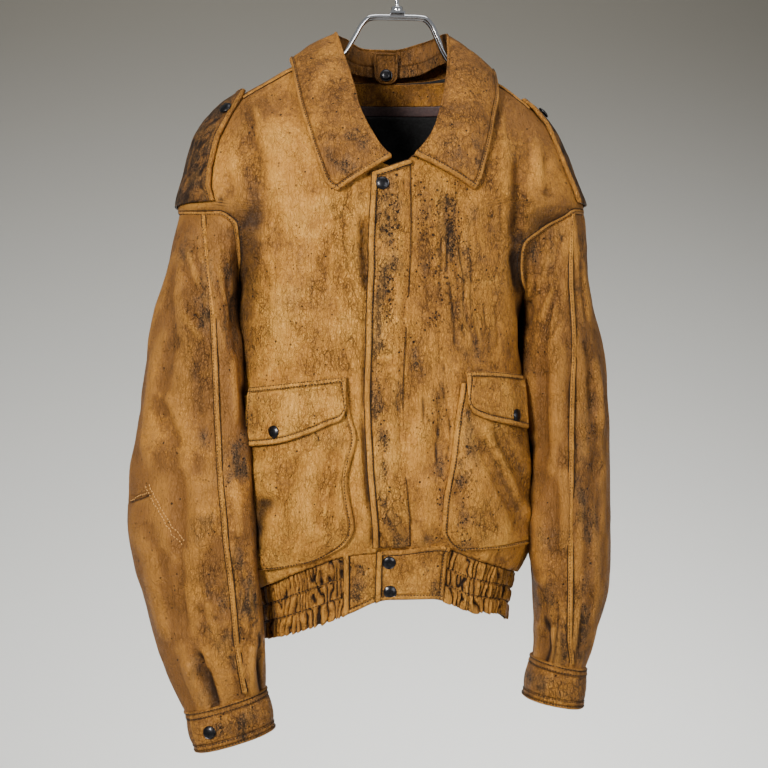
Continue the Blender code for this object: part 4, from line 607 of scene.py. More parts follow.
# ---------------------------------------------------------------- wear and stains, with some painted shade
# soft spots: middle x, z, half width, half height in mm, amount
SPOT_COLUMNS = ("x", "z", "half_width", "half_height", "amount")
# dark spots: stains, and painted shade beside the right sleeve (x about -165 to -180)
DARK_BODY = [
    (-123, -418, 27, 61, 0.35), (-102, -469, 24, 37, 0.25), (-134, -338, 17, 22, 0.25),
    (-166, -235, 12, 32, 0.18), (-140, -362, 20, 20, 0.30), (-177, -514, 10, 49, 0.42),
    (-179, -432, 9, 49, 0.32), (-111, -435, 24, 29, 0.30), (26, -326, 24, 27, 0.65),
    (49, -348, 15, 37, 0.75), (70, -359, 12, 49, 0.60), (82, -388, 17, 37, 0.42),
    (19, -378, 15, 32, 0.50), (62, -434, 12, 49, 0.45), (97, -359, 12, 32, 0.35),
    (11, -481, 10, 29, 0.50), (14, -503, 9, 24, 0.50), (78, -492, 12, 20, 0.40),
    (122, -218, 12, 27, 0.30), (122, -282, 12, 49, 0.30), (32, -572, 12, 32, 0.40),
    (37, -629, 10, 37, 0.60), (43, -664, 9, 49, 0.65), (26, -710, 20, 17, 0.60),
    (35, -549, 17, 17, 0.35), (43, -526, 12, 24, 0.40), (-88, -292, 17, 17, 0.25),
    (-54, -321, 10, 37, 0.30), (106, -433, 12, 49, 0.30), (163, -254, 12, 37, 0.25),
    (-89, -504, 20, 15, 0.25), (-49, -733, 15, 10, 0.50),
]
PITS_BODY = [
    (26, -320, 32, 37, 0.90), (37, -366, 32, 44, 0.80), (26, -391, 20, 17, 0.90),
    (73, -388, 17, 61, 0.60), (92, -434, 20, 61, 0.45), (33, -458, 12, 12, 0.80),
    (47, -350, 15, 49, 0.90), (34, -561, 15, 15, 0.90), (25, -584, 15, 20, 0.70),
    (19, -629, 17, 49, 0.35), (41, -664, 10, 49, 0.70), (-123, -435, 37, 73, 0.22),
    (-89, -469, 24, 49, 0.20), (25, -698, 17, 17, 0.40), (105, -468, 17, 37, 0.35),
    (61, -308, 24, 24, 0.50), (40, -345, 36, 56, 1.00), (52, -420, 28, 50, 0.70),
]
CRACK_BODY = [
    (115, -329, 29, 110, 0.80), (114, -231, 24, 49, 0.70), (73, -434, 29, 85, 0.75),
    (-66, -390, 27, 85, 0.75), (-66, -332, 22, 49, 0.70), (-166, -433, 17, 85, 0.50),
    (-123, -469, 37, 61, 0.35), (-78, -492, 29, 49, 0.60), (-179, -235, 17, 73, 0.50),
    (-9, -435, 73, 171, 0.30), (38, -343, 49, 73, 0.60), (-151, -550, 73, 37, 0.20),
]
DARK_FLAP = [
    (-20, -304, 15, 17, 0.45), (-22, -338, 17, 32, 0.75), (-27, -372, 15, 32, 0.80),
    (-31, -424, 13, 37, 0.90), (-33, -458, 12, 34, 0.90), (-34, -486, 10, 17, 0.90),
    (-36, -526, 9, 27, 0.80), (-37, -561, 9, 27, 0.70), (-32, -595, 10, 32, 0.65),
    (-28, -629, 11, 32, 0.60), (-36, -513, 12, 7, 0.70), (-11, -545, 10, 17, 0.45),
    (-23, -686, 15, 20, 0.60), (-9, -709, 15, 15, 0.70), (-13, -320, 12, 32, 0.50),
    (-9, -362, 10, 24, 0.35), (-28, -663, 9, 17, 0.50),
]
PITS_FLAP = [
    (-18, -355, 22, 73, 0.95), (-23, -435, 20, 73, 1.00), (-30, -492, 15, 49, 0.80),
    (-30, -595, 15, 61, 0.70), (-24, -663, 17, 37, 0.50), (-11, -401, 12, 49, 0.60),
    (-4, -458, 10, 37, 0.50),
]
CRACK_FLAP = [
    (-18, -344, 22, 61, 0.90), (-23, -435, 20, 73, 0.70), (-21, -686, 22, 37, 0.90),
    (-21, -572, 20, 61, 0.50),
]
DARK_BAG_R = [
    (-98, -590, 27, 15, 0.40), (-123, -629, 37, 29, 0.18), (-165, -596, 12, 17, 0.35),
    (-78, -709, 12, 12, 0.35), (-156, -736, 24, 10, 0.30),
]
CRACK_BAG_R = [
    (-123, -618, 49, 37, 0.40), (-89, -697, 24, 24, 0.60), (-165, -608, 15, 49, 0.50),
]
DARK_BAG_L = [
    (67, -630, 14, 36, 0.85), (63, -584, 14, 22, 0.65), (64, -675, 16, 22, 0.80),
    (73, -711, 17, 10, 0.55), (111, -596, 20, 37, 0.28), (132, -632, 10, 37, 0.35),
]
PITS_BAG_L = [
    (67, -641, 12, 49, 0.80), (64, -693, 12, 17, 1.00), (78, -664, 12, 37, 0.40),
]
CRACK_BAG_L = [
    (110, -608, 29, 49, 0.80), (97, -688, 29, 24, 0.50),
]
DARK_PF_R = [
    (-170, -547, 15, 20, 0.50), (-172, -573, 11, 27, 0.45), (-123, -547, 24, 12, 0.12),
]
DARK_PF_L = [
    (80, -540, 15, 10, 0.30), (96, -533, 12, 7, 0.30),
]
DARK_EP_R = [
    (-231, -242, 15, 24, 0.75), (-240, -279, 15, 29, 0.85), (-238, -316, 15, 17, 0.70),
    (-226, -275, 10, 37, 0.70), (-212, -207, 12, 10, 0.50),
]
DARK_EP_L = [
    (192, -250, 24, 49, 0.35),
]
DARK_SLEEVE_R = [
    (-253, -371, 22, 29, 0.55), (-230, -422, 9, 56, 0.85), (-237, -390, 12, 32, 0.50),
    (-200, -445, 15, 39, 0.75), (-207, -399, 12, 24, 0.45), (-198, -468, 10, 20, 0.70),
    (-193, -622, 20, 32, 0.95), (-207, -642, 12, 22, 0.80), (-251, -434, 22, 24, 0.35),
    (-242, -515, 20, 24, 0.35), (-230, -596, 10, 29, 0.55), (-272, -480, 20, 37, 0.30),
    (-230, -700, 15, 20, 0.70), (-240, -693, 15, 15, 0.50), (-191, -742, 15, 20, 0.75),
    (-203, -758, 12, 24, 0.60), (-180, -782, 15, 32, 0.85), (-210, -781, 11, 37, 0.60),
    (-228, -770, 15, 24, 0.40), (-173, -828, 12, 37, 0.70), (-191, -851, 15, 32, 0.85),
    (-196, -828, 12, 24, 0.60), (-237, -874, 12, 27, 0.75), (-219, -886, 12, 24, 0.45),
    (-208, -839, 10, 22, 0.50), (-226, -810, 15, 12, 0.35), (-313, -717, 7, 20, 0.60),
    (-297, -607, 10, 20, 0.25), (-265, -353, 15, 15, 0.45), (-207, -360, 15, 12, 0.45),
]
CRACK_SLEEVE_R = [
    (-242, -468, 22, 61, 0.80), (-237, -422, 20, 49, 0.70), (-205, -422, 15, 61, 0.60),
    (-191, -782, 20, 73, 0.60), (-230, -515, 17, 37, 0.80), (-231, -700, 17, 24, 0.70),
    (-228, -781, 17, 49, 0.50),
]
DARK_SLEEVE_L = [
    (216, -385, 15, 54, 0.50), (209, -361, 15, 24, 0.45), (161, -373, 20, 24, 0.50),
    (185, -361, 12, 24, 0.40), (233, -550, 12, 24, 0.30), (216, -550, 15, 37, 0.40),
    (211, -585, 12, 32, 0.60), (209, -668, 11, 27, 0.95), (221, -692, 15, 49, 0.55),
    (233, -656, 12, 37, 0.40), (171, -710, 22, 17, 0.50), (185, -550, 12, 24, 0.20),
    (180, -833, 20, 27, 0.65), (209, -810, 15, 37, 0.70), (197, -786, 20, 27, 0.45),
    (233, -786, 12, 24, 0.50), (171, -786, 15, 24, 0.40), (156, -644, 10, 24, 0.30),
    (214, -833, 15, 20, 0.70), (149, -526, 10, 49, 0.30), (221, -739, 17, 37, 0.45),
]
CRACK_SLEEVE_L = [
    (167, -420, 29, 73, 0.90), (221, -550, 20, 146, 0.50), (209, -644, 24, 73, 0.60),
    (185, -798, 37, 61, 0.50),
]
DARK_CUFF_R = [
    (-186, -916, 24, 15, 0.85), (-207, -929, 20, 15, 0.70), (-180, -939, 17, 10, 0.60),
    (-170, -897, 15, 10, 0.60), (-230, -948, 12, 7, 0.30),
]
DARK_CUFF_L = [
    (158, -884, 17, 10, 0.70), (184, -898, 17, 10, 0.70), (199, -884, 12, 10, 0.35),
    (151, -903, 10, 7, 0.50),
]
DARK_COLLAR_R = [
    (-70, -279, 22, 15, 0.75), (-63, -246, 17, 15, 0.50), (-87, -258, 12, 20, 0.45),
    (-73, -221, 17, 7, 0.30), (-98, -200, 17, 24, 0.25), (-49, -258, 12, 15, 0.55),
    (-91, -158, 17, 17, 0.15),
]
DARK_COLLAR_L = [
    (66, -275, 22, 12, 0.75), (83, -256, 12, 17, 0.50), (50, -257, 17, 12, 0.40),
    (73, -209, 22, 17, 0.30), (54, -231, 15, 12, 0.30),
]
DARK_WAIST = [
    (-56, -764, 15, 32, 0.80), (-65, -745, 10, 15, 0.60), (7, -757, 20, 20, 0.40),
    (20, -741, 17, 10, 0.50), (35, -770, 12, 17, 0.60), (-7, -780, 17, 10, 0.30),
    (28, -786, 17, 7, 0.60), (-122, -782, 61, 15, 0.35), (-133, -812, 32, 12, 0.40),
    (89, -772, 37, 12, 0.35), (90, -794, 37, 10, 0.40), (-156, -798, 12, 24, 0.50),
    (123, -770, 10, 24, 0.40), (-26, -757, 10, 24, 0.30),
]


# ================================================================== reading
def phi_at(x, z, back=False):
    """Ring angle on the front (or back) at each x and z, for arrays."""
    x, z = np.broadcast_arrays(np.asarray(x, float), np.asarray(z, float))
    lo = np.full(x.shape, 0.0 if back else math.pi)
    hi = np.full(x.shape, math.pi if back else 2 * math.pi)
    for _ in range(30):
        mid = (lo + hi) / 2
        right = torso(mid, z)[..., 0] > x
        go = right if back else ~right
        lo = np.where(go, mid, lo)
        hi = np.where(go, hi, mid)
    return (lo + hi) / 2


def lattice(seed, n=64):
    return np.random.RandomState(seed).rand(n, n) * 2 - 1


def noise2(a, b, size_a, size_b, seed):
    """Smooth value noise from -1 to 1, its cells size_a by size_b."""
    g = lattice(seed)
    u, v = np.asarray(a, float) / size_a + 17.3, np.asarray(b, float) / size_b + 9.1
    i, j = np.floor(u).astype(int), np.floor(v).astype(int)
    f, h = u - i, v - j
    f, h = f * f * (3 - 2 * f), h * h * (3 - 2 * h)
    g00, g10 = g[i % 64, j % 64], g[(i + 1) % 64, j % 64]
    g01, g11 = g[i % 64, (j + 1) % 64], g[(i + 1) % 64, (j + 1) % 64]
    return (g00 * (1 - f) + g10 * f) * (1 - h) + (g01 * (1 - f) + g11 * f) * h


def ridged(a, b, size_a, size_b, seed):
    """Noise with sharp valleys, 0 to 1, for fine creasing."""
    return 1 - np.abs(noise2(a, b, size_a, size_b, seed))


def to_path(x, z, path):
    """Distance to a polyline, signed distance (left of it positive), and how
    far along it (0 to 1) the nearest point lies."""
    path = np.asarray(path, float)
    seg = path[1:] - path[:-1]
    length = np.linalg.norm(seg, axis=1)
    total = length.sum()
    start = np.concatenate([[0.0], np.cumsum(length)[:-1]])
    best = np.full(np.shape(x), 1e9)
    side = np.zeros(np.shape(x))
    where = np.zeros(np.shape(x))
    for p, d, l, s0 in zip(path[:-1], seg, length, start):
        t = np.clip(((x - p[0]) * d[0] + (z - p[1]) * d[1]) / (l * l), 0, 1)
        ex, ez = x - p[0] - t * d[0], z - p[1] - t * d[1]
        r = np.hypot(ex, ez)
        nearer = r < best
        best = np.where(nearer, r, best)
        cross = d[0] * ez - d[1] * ex
        side = np.where(nearer, np.sign(cross) * r, side)
        where = np.where(nearer, (s0 + t * l) / total, where)
    return best, side, where


def smooth_path(path, n=4):
    """A polyline with its corners rounded off."""
    p = np.asarray(path, float)
    if len(p) < 3:
        return p
    k = np.arange(len(p), dtype=float)
    q = np.linspace(0, len(p) - 1, (len(p) - 1) * n + 1)
    return np.stack([smooth_read(k, p[:, 0], q), smooth_read(k, p[:, 1], q)], -1)


def creases(rows, x, z):
    """Sum of listed creases in millimetres on the grid x, z. A row is
    (depth, width, kind, path in millimetres): kind "soft" is a round trough or
    ridge, "lip" is raised on the left of its path and sunk on the right."""
    total = np.zeros(np.shape(x))
    for depth, width, kind, path in rows:
        path = smooth_path(np.asarray(path, float) / 1000.0)
        lo, hi = path.min(0) - 4 * width / 1000, path.max(0) + 4 * width / 1000
        near = (x > lo[0]) & (x < hi[0]) & (z > lo[1]) & (z < hi[1])
        if not near.any():
            continue
        d, s, t = to_path(x[near], z[near], path)
        w = width / 1000.0
        fade = step(0.0, 0.22, t) * step(0.0, 0.22, 1 - t)
        if kind == "soft":
            v = depth * np.exp(-(d / w) ** 2)
        else:
            v = depth * 1.65 * (s / w) * np.exp(-(s / w) ** 2) * np.exp(-np.maximum(d - np.abs(s), 0) / w)
        total[near] += v * fade
    return total


def spots(rows, x, z, seed=5, rough=0.5):
    """Listed soft spots: (x, z, half width, half height, amount) in
    millimetres, their edges broken up by noise. Values 0 to about 1."""
    total = np.zeros(np.shape(x))
    broken = (noise2(x, z, 0.012, 0.016, seed) * 0.6 + noise2(x, z, 0.030, 0.036, seed + 1) * 0.4)
    for cx, cz, rx, rz, amount in rows:
        r = np.sqrt(((x * 1000 - cx) / rx) ** 2 + ((z * 1000 - cz) / rz) ** 2)
        total = np.maximum(total, amount * step(1.75, 0.05, r + 1.6 * rough * broken))
    return total


def even(length, pitch, fine=0.0095, fine_pitch=0.00095, first=True, last=True):
    """Positions from 0 to 1 along a strip, closer together near its ends."""
    a = np.arange(0, fine, fine_pitch)
    lo = a if first else np.array([0.0])
    hi = length - a[::-1] if last else np.array([length])
    n = max(2, int(round((hi[0] - lo[-1]) / pitch)))
    mid = np.linspace(lo[-1], hi[0], n + 1)[1:-1]
    return np.concatenate([lo, mid, hi]) / length


def hem_profile(d, width=0.0062, height=1.1, groove=0.8):
    """Millimetres of relief at distance d from a turned and stitched edge: a
    soft roll out to the stitch line, the stitch line's groove, a round lip."""
    d = np.maximum(d, 0.0)
    roll = height * np.sin(math.pi * np.clip(d / width, 0, 1)) ** 0.8
    lip = -1.1 * np.clip(1 - d / 0.0012, 0, 1) ** 2
    cut = -groove * np.exp(-((d - width) / 0.0009) ** 2)
    return np.where(d < width * 1.8, roll * (d < width) + lip + cut, 0.0)


# =================================================================== meshes
PIECES = {}


def link(ob):
    bpy.context.scene.collection.objects.link(ob)
    return ob


def mesh_object(name, verts, faces, mats, index=None, smooth=True, marks=None):
    mesh = bpy.data.meshes.new(name)
    verts = np.ascontiguousarray(verts, dtype=np.float32)
    faces = np.ascontiguousarray(faces, dtype=np.int32)
    k = faces.shape[1]
    mesh.vertices.add(len(verts))
    mesh.vertices.foreach_set("co", verts.ravel())
    mesh.loops.add(faces.size)
    mesh.loops.foreach_set("vertex_index", faces.ravel())
    mesh.polygons.add(len(faces))
    mesh.polygons.foreach_set("loop_start", np.arange(0, faces.size, k, dtype=np.int32))
    mesh.polygons.foreach_set("loop_total", np.full(len(faces), k, dtype=np.int32))
    mesh.update(calc_edges=True)
    for m in mats:
        mesh.materials.append(m)
    if index is not None:
        mesh.polygons.foreach_set("material_index", np.ascontiguousarray(index, dtype=np.int32))
    mesh.polygons.foreach_set("use_smooth", np.full(len(faces), bool(smooth)))
    for key, value in (marks or {}).items():
        a = mesh.attributes.new(key, "FLOAT", "POINT")
        a.data.foreach_set("value", np.ascontiguousarray(value, dtype=np.float32).ravel())
    mesh.validate()
    ob = bpy.data.objects.new(name, mesh)
    return link(ob)


MARKS = ("tone", "dark", "pits", "crack", "edge", "seam")
GRIDS = {}


def shell(name, points, normals, thick, mats, marks=None, wrap=False):
    """A closed sheet on a grid of outer points; its inner face lies thick
    inside. mats: outside, inside."""
    points, normals = np.asarray(points, float), np.asarray(normals, float)
    rows, cols = points.shape[:2]
    inner = points - normals * (thick if np.isscalar(thick) else np.asarray(thick)[..., None])
    n = rows * cols
    verts = np.concatenate([points.reshape(-1, 3), inner.reshape(-1, 3)])
    i, j = np.meshgrid(np.arange(rows - 1), np.arange(cols if wrap else cols - 1), indexing="ij")
    i, j = i.ravel(), j.ravel()
    k = (j + 1) % cols
    a, b, c, d = i * cols + j, i * cols + k, (i + 1) * cols + k, (i + 1) * cols + j
    outer = np.stack([a, b, c, d], 1)
    under = np.stack([a, d, c, b], 1) + n
    jj = np.arange(cols if wrap else cols - 1)
    kk = (jj + 1) % cols
    last = (rows - 1) * cols
    rim = [np.stack([kk, jj, jj + n, kk + n], 1),
           np.stack([last + jj, last + kk, last + kk + n, last + jj + n], 1)]
    if not wrap:
        ii = np.arange(rows - 1) * cols
        rim.append(np.stack([ii, ii + cols, ii + cols + n, ii + n], 1))
        e = ii + cols - 1
        rim.append(np.stack([e + cols, e, e + n, e + cols + n], 1))
    rim = np.concatenate(rim)
    faces = np.concatenate([outer, under, rim])
    e1 = points[:-1, 1:] - points[:-1, :-1]
    e2 = points[1:, :-1] - points[:-1, :-1]
    if np.sum(np.cross(e1, e2) * normals[:-1, :-1]) < 0:
        faces = faces[:, ::-1]
    index = np.concatenate([np.zeros(len(outer)), np.ones(len(under)), np.zeros(len(rim))])
    data = {}
    for key in MARKS:
        v = (marks or {}).get(key, 0.0)
        v = np.broadcast_to(np.asarray(v, float), (rows, cols))
        data[key] = np.concatenate([v.ravel(), v.ravel()])
    ob = mesh_object(name, verts, faces, mats, index, True, data)
    PIECES[name] = ob
    GRIDS[name] = (points, normals)
    return ob


def blur(h, rows, cols):
    """A box mean over a grid, its edges repeated."""
    for axis, k in ((0, rows), (1, cols)):
        pad = [(k, k) if a == axis else (0, 0) for a in (0, 1)]
        c = np.cumsum(np.pad(h, pad, mode="edge"), axis=axis)
        c = np.concatenate([np.zeros_like(np.take(c, [0], axis)), c], axis)
        n = h.shape[axis]
        hi = np.take(c, np.arange(2 * k + 1, 2 * k + 1 + n), axis)
        lo = np.take(c, np.arange(0, n), axis)
        h = (hi - lo) / (2 * k + 1)
    return h


def rub_in_and_shade(h, marks, rows=3, cols=4, amount=1.0, broad=1.0):
    """Marks that follow the form: ridges rubbed lighter, with painted highlight;
    dirt and painted shade in the hollows; broad painted light and shade, higher
    ground lighter and lower ground darker. h is the relief in millimetres on the
    piece's grid."""
    near = h - blur(blur(h, rows, cols), rows, cols)
    wide = h - blur(blur(h, rows * 4, cols * 4), rows * 4, cols * 4)
    zero = np.zeros(h.shape)
    # ridges lighter: rubbed wear and painted highlight; hollows darker: dirt and painted shade
    edge = np.maximum(zero, marks.get("edge", 0)) + 0.50 * amount * np.clip(near / 0.60, 0, 1)
    seam = np.maximum(zero, marks.get("seam", 0)) + 0.22 * amount * np.clip(-near / 0.80, 0, 1) ** 1.5
    # painted light and shade: higher ground lighter, lower ground darker
    tone = zero + marks.get("tone", 0) + broad * 0.22 * np.clip(wide / 2.2, -1.3, 1.0)
    marks["edge"], marks["seam"], marks["tone"] = np.clip(edge, 0, 1), np.clip(seam, 0, 1), tone
    return marks


def arcs(p):
    """Distance along each row of a grid from its first and from its last point."""
    d = np.concatenate([np.zeros((len(p), 1)), np.cumsum(np.linalg.norm(np.diff(p, axis=1), axis=-1), 1)], 1)
    return d, d[:, -1:] - d


def to_edges(p, edges):
    """Distance from each grid point to the nearest of the named edges."""
    d = np.full(p.shape[:2], 1.0)
    first, last = arcs(p)
    top, bottom = (v.T for v in arcs(p.transpose(1, 0, 2)))
    for name, v in (("first", first), ("last", last), ("top", top), ("bottom", bottom)):
        if name in edges:
            d = np.minimum(d, v)
    return d


def inset(name, side, d, a=0.0, b=1.0):
    """A line on a piece at distance d inside one of its edges, with normals."""
    p, n = GRIDS[name]
    if side in ("top", "bottom"):
        p, n = p.transpose(1, 0, 2), n.transpose(1, 0, 2)
    if side in ("last", "bottom"):
        p, n = p[:, ::-1], n[:, ::-1]
    k0, k1 = int(round(a * (len(p) - 1))), int(round(b * (len(p) - 1))) + 1
    out, nor = [], []
    for row, m in zip(p[k0:k1], n[k0:k1]):
        l = np.concatenate([[0.0], np.cumsum(np.linalg.norm(np.diff(row, axis=0), axis=1))])
        out.append([np.interp(d, l, row[:, i]) for i in range(3)])
        nor.append([np.interp(d, l, m[:, i]) for i in range(3)])
    return np.array(out), unit(np.array(nor))


def resample(p, n, pitch, offset=0.5):
    l = np.concatenate([[0.0], np.cumsum(np.linalg.norm(np.diff(p, axis=0), axis=1))])
    s = np.arange(offset * pitch, l[-1] - 0.3 * pitch, pitch)
    q = np.stack([np.interp(s, l, p[:, i]) for i in range(3)], -1)
    m = unit(np.stack([np.interp(s, l, n[:, i]) for i in range(3)], -1))
    e = pitch * 0.3
    fw = np.stack([np.interp(s + e, l, p[:, i]) for i in range(3)], -1)
    bw = np.stack([np.interp(s - e, l, p[:, i]) for i in range(3)], -1)
    return q, m, unit(fw - bw)


def stitches(name, lines, mat, pitch=0.0036, length=0.0024, radius=0.00048, sink=0.0001):
    """Sewing stitches along lines, joined in one mesh. Each line is a pair of
    point and normal arrays."""
    verts, faces, base = [], [], 0
    rnd = np.random.RandomState(len(name) * 7 + 3)
    for p, m in lines:
        if len(p) < 2:
            continue
        q, nn, t = resample(np.asarray(p), np.asarray(m), pitch)
        if not len(q):
            continue
        b = unit(np.cross(nn, t))
        nn = unit(np.cross(t, b))
        size = (0.85 + 0.3 * rnd.rand(len(q)))[:, None, None, None]
        turn = (rnd.rand(len(q)) - 0.5) * 0.22
        t2 = t * np.cos(turn)[:, None] + b * np.sin(turn)[:, None]
        b2 = b * np.cos(turn)[:, None] - t * np.sin(turn)[:, None]
        xs = np.array([-0.5, -0.32, 0.32, 0.5]) * length
        rs = np.array([0.35, 1.0, 1.0, 0.35]) * radius
        ang = np.radians([45, 135, 225, 315])
        v = (q[:, None, None] + t2[:, None, None] * xs[None, :, None, None] * size
             + (b2[:, None, None] * np.cos(ang)[None, None, :, None] * 1.25
                + nn[:, None, None] * np.sin(ang)[None, None, :, None]) * rs[None, :, None, None]
             + nn[:, None, None] * (radius * 0.5 - sink))
        n = len(q)
        verts.append(v.reshape(-1, 3))
        quad = []
        for k in range(3):
            for s in range(4):
                s2 = (s + 1) % 4
                quad.append((k * 4 + s, k * 4 + s2, k * 4 + 4 + s2, k * 4 + 4 + s))
        quad.append((3, 2, 1, 0))
        quad.append((12, 13, 14, 15))
        quad = np.array(quad)
        faces.append((quad[None] + (base + 16 * np.arange(n))[:, None, None]).reshape(-1, 4))
        base += 16 * n
    ob = mesh_object(name, np.concatenate(verts), np.concatenate(faces), (mat,))
    PIECES[name] = ob
    return ob


def strip(name, p, n, width, height, mats, marks=None, pitch=0.0022, under=0.0008):
    """A narrow rounded strip laid along a line: a piping, welt or seam."""
    l = np.concatenate([[0.0], np.cumsum(np.linalg.norm(np.diff(p, axis=0), axis=1))])
    s = np.linspace(0, l[-1], max(3, int(l[-1] / pitch)))
    q = np.stack([np.interp(s, l, p[:, i]) for i in range(3)], -1)
    m = unit(np.stack([np.interp(s, l, n[:, i]) for i in range(3)], -1))
    t = unit(np.gradient(q, axis=0))
    side = unit(np.cross(m, t))
    # a sunk line along both edges, painted dark as shadow beside the raised strip
    k0 = width / (width + 0.0022)
    core = np.array([-1.0, -0.90, -0.70, -0.35, 0.0, 0.35, 0.70, 0.90, 1.0])
    u = np.concatenate([[-1.0, -k0 - 0.01], k0 * core, [k0 + 0.01, 1.0]])
    rise = height * np.where(np.abs(u) > k0 + 0.001, 0.03, 0.22 + 0.78 * (1 - np.minimum(np.abs(u) / k0, 1) ** 3.0))
    pts = q[:, None] + side[:, None] * (u * (width + 0.0022) / 2)[None, :, None] + m[:, None] * rise[None, :, None]
    nn = np.broadcast_to(m[:, None], pts.shape)
    k = marks or {}
    x, z = pts[..., 0], pts[..., 2]
    data = {"edge": 0.75, "tone": 0.1 * noise2(x + z, z, 0.02, 0.02, 5), "crack": 0.3,
            "seam": 0.96 * np.broadcast_to(np.abs(u) > k0 + 0.001, pts.shape[:2])}
    data.update(k)
    return shell(name, pts, nn, rise[None] + under + 0 * s[:, None], mats, data)


def rod(name, paths, radius, mat, sides=8, closed=False, ends=True):
    """Round rods along one or more paths, as one mesh."""
    verts, faces = [], []
    base = 0
    for path in paths:
        p = np.asarray(path, float)
        n = len(p)
        t = np.gradient(p, axis=0) if not closed else np.roll(p, -1, 0) - np.roll(p, 1, 0)
        t = unit(t)
        up = np.array([0.0, 0.0, 1.0]) if abs(t[0][2]) < 0.9 else np.array([0.0, 1.0, 0.0])
        side = unit(np.cross(t[0], up))
        rings = []
        r = radius if np.isscalar(radius) else None
        for k in range(n):
            side = unit(side - t[k] * np.dot(side, t[k]))
            other = np.cross(t[k], side)
            ang = np.linspace(0, 2 * math.pi, sides, endpoint=False)
            rk = r if r is not None else radius[k]
            rings.append(p[k] + rk * (np.cos(ang)[:, None] * side + np.sin(ang)[:, None] * other))
        rings = np.array(rings)
        verts.append(rings.reshape(-1, 3))
        span = n if closed else n - 1
        for k in range(span):
            k2 = (k + 1) % n
            for s in range(sides):
                s2 = (s + 1) % sides
                faces.append((base + k * sides + s, base + k * sides + s2,
                              base + k2 * sides + s2, base + k2 * sides + s))
        m = n * sides
        if not closed and ends:
            verts.append(np.array([p[0], p[-1]]))
            for s in range(sides):
                s2 = (s + 1) % sides
                faces.append((base + m, base + s2, base + s, base + m))
                faces.append((base + m + 1, base + (n - 1) * sides + s,
                              base + (n - 1) * sides + s2, base + m + 1))
            m += 2
        base += m
    verts = np.concatenate(verts)
    mesh = bpy.data.meshes.new(name)
    mesh.from_pydata([tuple(v) for v in verts], [], [tuple(dict.fromkeys(f)) for f in faces])
    mesh.validate()
    mesh.shade_smooth()
    mesh.materials.append(mat)
    ob = bpy.data.objects.new(name, mesh)
    PIECES[name] = link(ob)
    return ob


def lathe(name, centre, axis, profile, mat, sides=28):
    """A turned shape: profile is (radius, height) up the axis."""
    axis = unit(np.asarray(axis, float))
    up = np.array([0.0, 0.0, 1.0]) if abs(axis[2]) < 0.9 else np.array([1.0, 0.0, 0.0])
    e1 = unit(np.cross(up, axis))
    e2 = np.cross(axis, e1)
    verts, faces = [], []
    ang = np.linspace(0, 2 * math.pi, sides, endpoint=False)
    for r, h in profile:
        verts.append(np.asarray(centre) + axis * h + max(r, 1e-6) *
                     (np.cos(ang)[:, None] * e1 + np.sin(ang)[:, None] * e2))
    verts = np.concatenate(verts)
    for k in range(len(profile) - 1):
        for s in range(sides):
            s2 = (s + 1) % sides
            faces.append((k * sides + s, k * sides + s2, (k + 1) * sides + s2, (k + 1) * sides + s))
    mesh = bpy.data.meshes.new(name)
    faces.append(tuple(range(sides))[::-1])
    faces.append(tuple((len(profile) - 1) * sides + s for s in range(sides)))
    mesh.from_pydata([tuple(v) for v in verts], [], faces)
    mesh.shade_smooth()
    mesh.set_sharp_from_angle(angle=math.radians(50))
    mesh.materials.append(mat)
    ob = bpy.data.objects.new(name, mesh)
    PIECES[name] = link(ob)
    return ob


def armhole_points(table):
    """(phi, z) down the front edge and down the back edge."""
    right = table is ARM_RIGHT
    front = [(math.pi if right else 2 * math.pi, z) if x is None
             else (float(phi_at(x, z)), z) for x, z in table]
    back = [(math.pi if right else 0.0, z) if x is None
            else (float(phi_at(x, z, back=True)), z)
            for x, z in (ARM_RIGHT_BACK if right else ARM_LEFT_BACK)]
    return front, back


def sleeve_value(table, name, t):
    return smooth_read(column(table, SLEEVE_COLUMNS, "t"),
                       column(table, SLEEVE_COLUMNS, name), t)


WELT_Q = 2

# creases placed where the photo doesn't show: the back
CREASES_BACK = [
    (-3.0, 16.0, "soft", ((-150, -300), (-118, -400), (-96, -520), (-90, -640))),
    (2.4, 14.0, "soft", ((-120, -290), (-92, -400), (-70, -540), (-66, -660))),
    (-2.6, 15.0, "soft", ((128, -300), (106, -410), (88, -540), (80, -650))),
    (2.2, 14.0, "soft", ((100, -280), (80, -400), (62, -520), (56, -640))),
    (-2.0, 12.0, "soft", ((-20, -420), (-6, -520), (-14, -640), (4, -720))),
    (1.8, 12.0, "soft", ((16, -400), (24, -520), (12, -650))),
    (-2.2, 9.0, "soft", ((-176, -290), (-140, -330), (-90, -350))),
    (1.6, 8.0, "soft", ((-170, -316), (-136, -356), (-94, -372))),
    (-2.0, 9.0, "soft", ((150, -300), (116, -342), (74, -356))),
    (1.4, 8.0, "soft", ((146, -326), (112, -366), (78, -382))),
    (-1.6, 8.0, "soft", ((-110, -190), (-50, -215), (10, -212), (70, -200))),
    (1.2, 8.0, "soft", ((-100, -214), (-40, -236), (30, -232))),
    (-1.4, 6.0, "soft", ((-140, -560), (-120, -640), (-126, -720))),
    (-1.3, 6.0, "soft", ((120, -560), (110, -640), (116, -720))),
    (-1.0, 3.0, "soft", ((-60, -470), (-52, -540), (-58, -600))),
    (-0.9, 3.0, "soft", ((40, -450), (46, -530), (38, -600))),
    (0.8, 3.0, "soft", ((-36, -330), (-30, -400), (-38, -470))),
]
DARK_BACK = [
    (-120, -360, 40, 60, 0.35), (90, -420, 36, 70, 0.40), (-20, -560, 50, 60, 0.30),
    (140, -620, 30, 60, 0.45), (-150, -640, 30, 60, 0.45), (20, -280, 60, 30, 0.25),
]

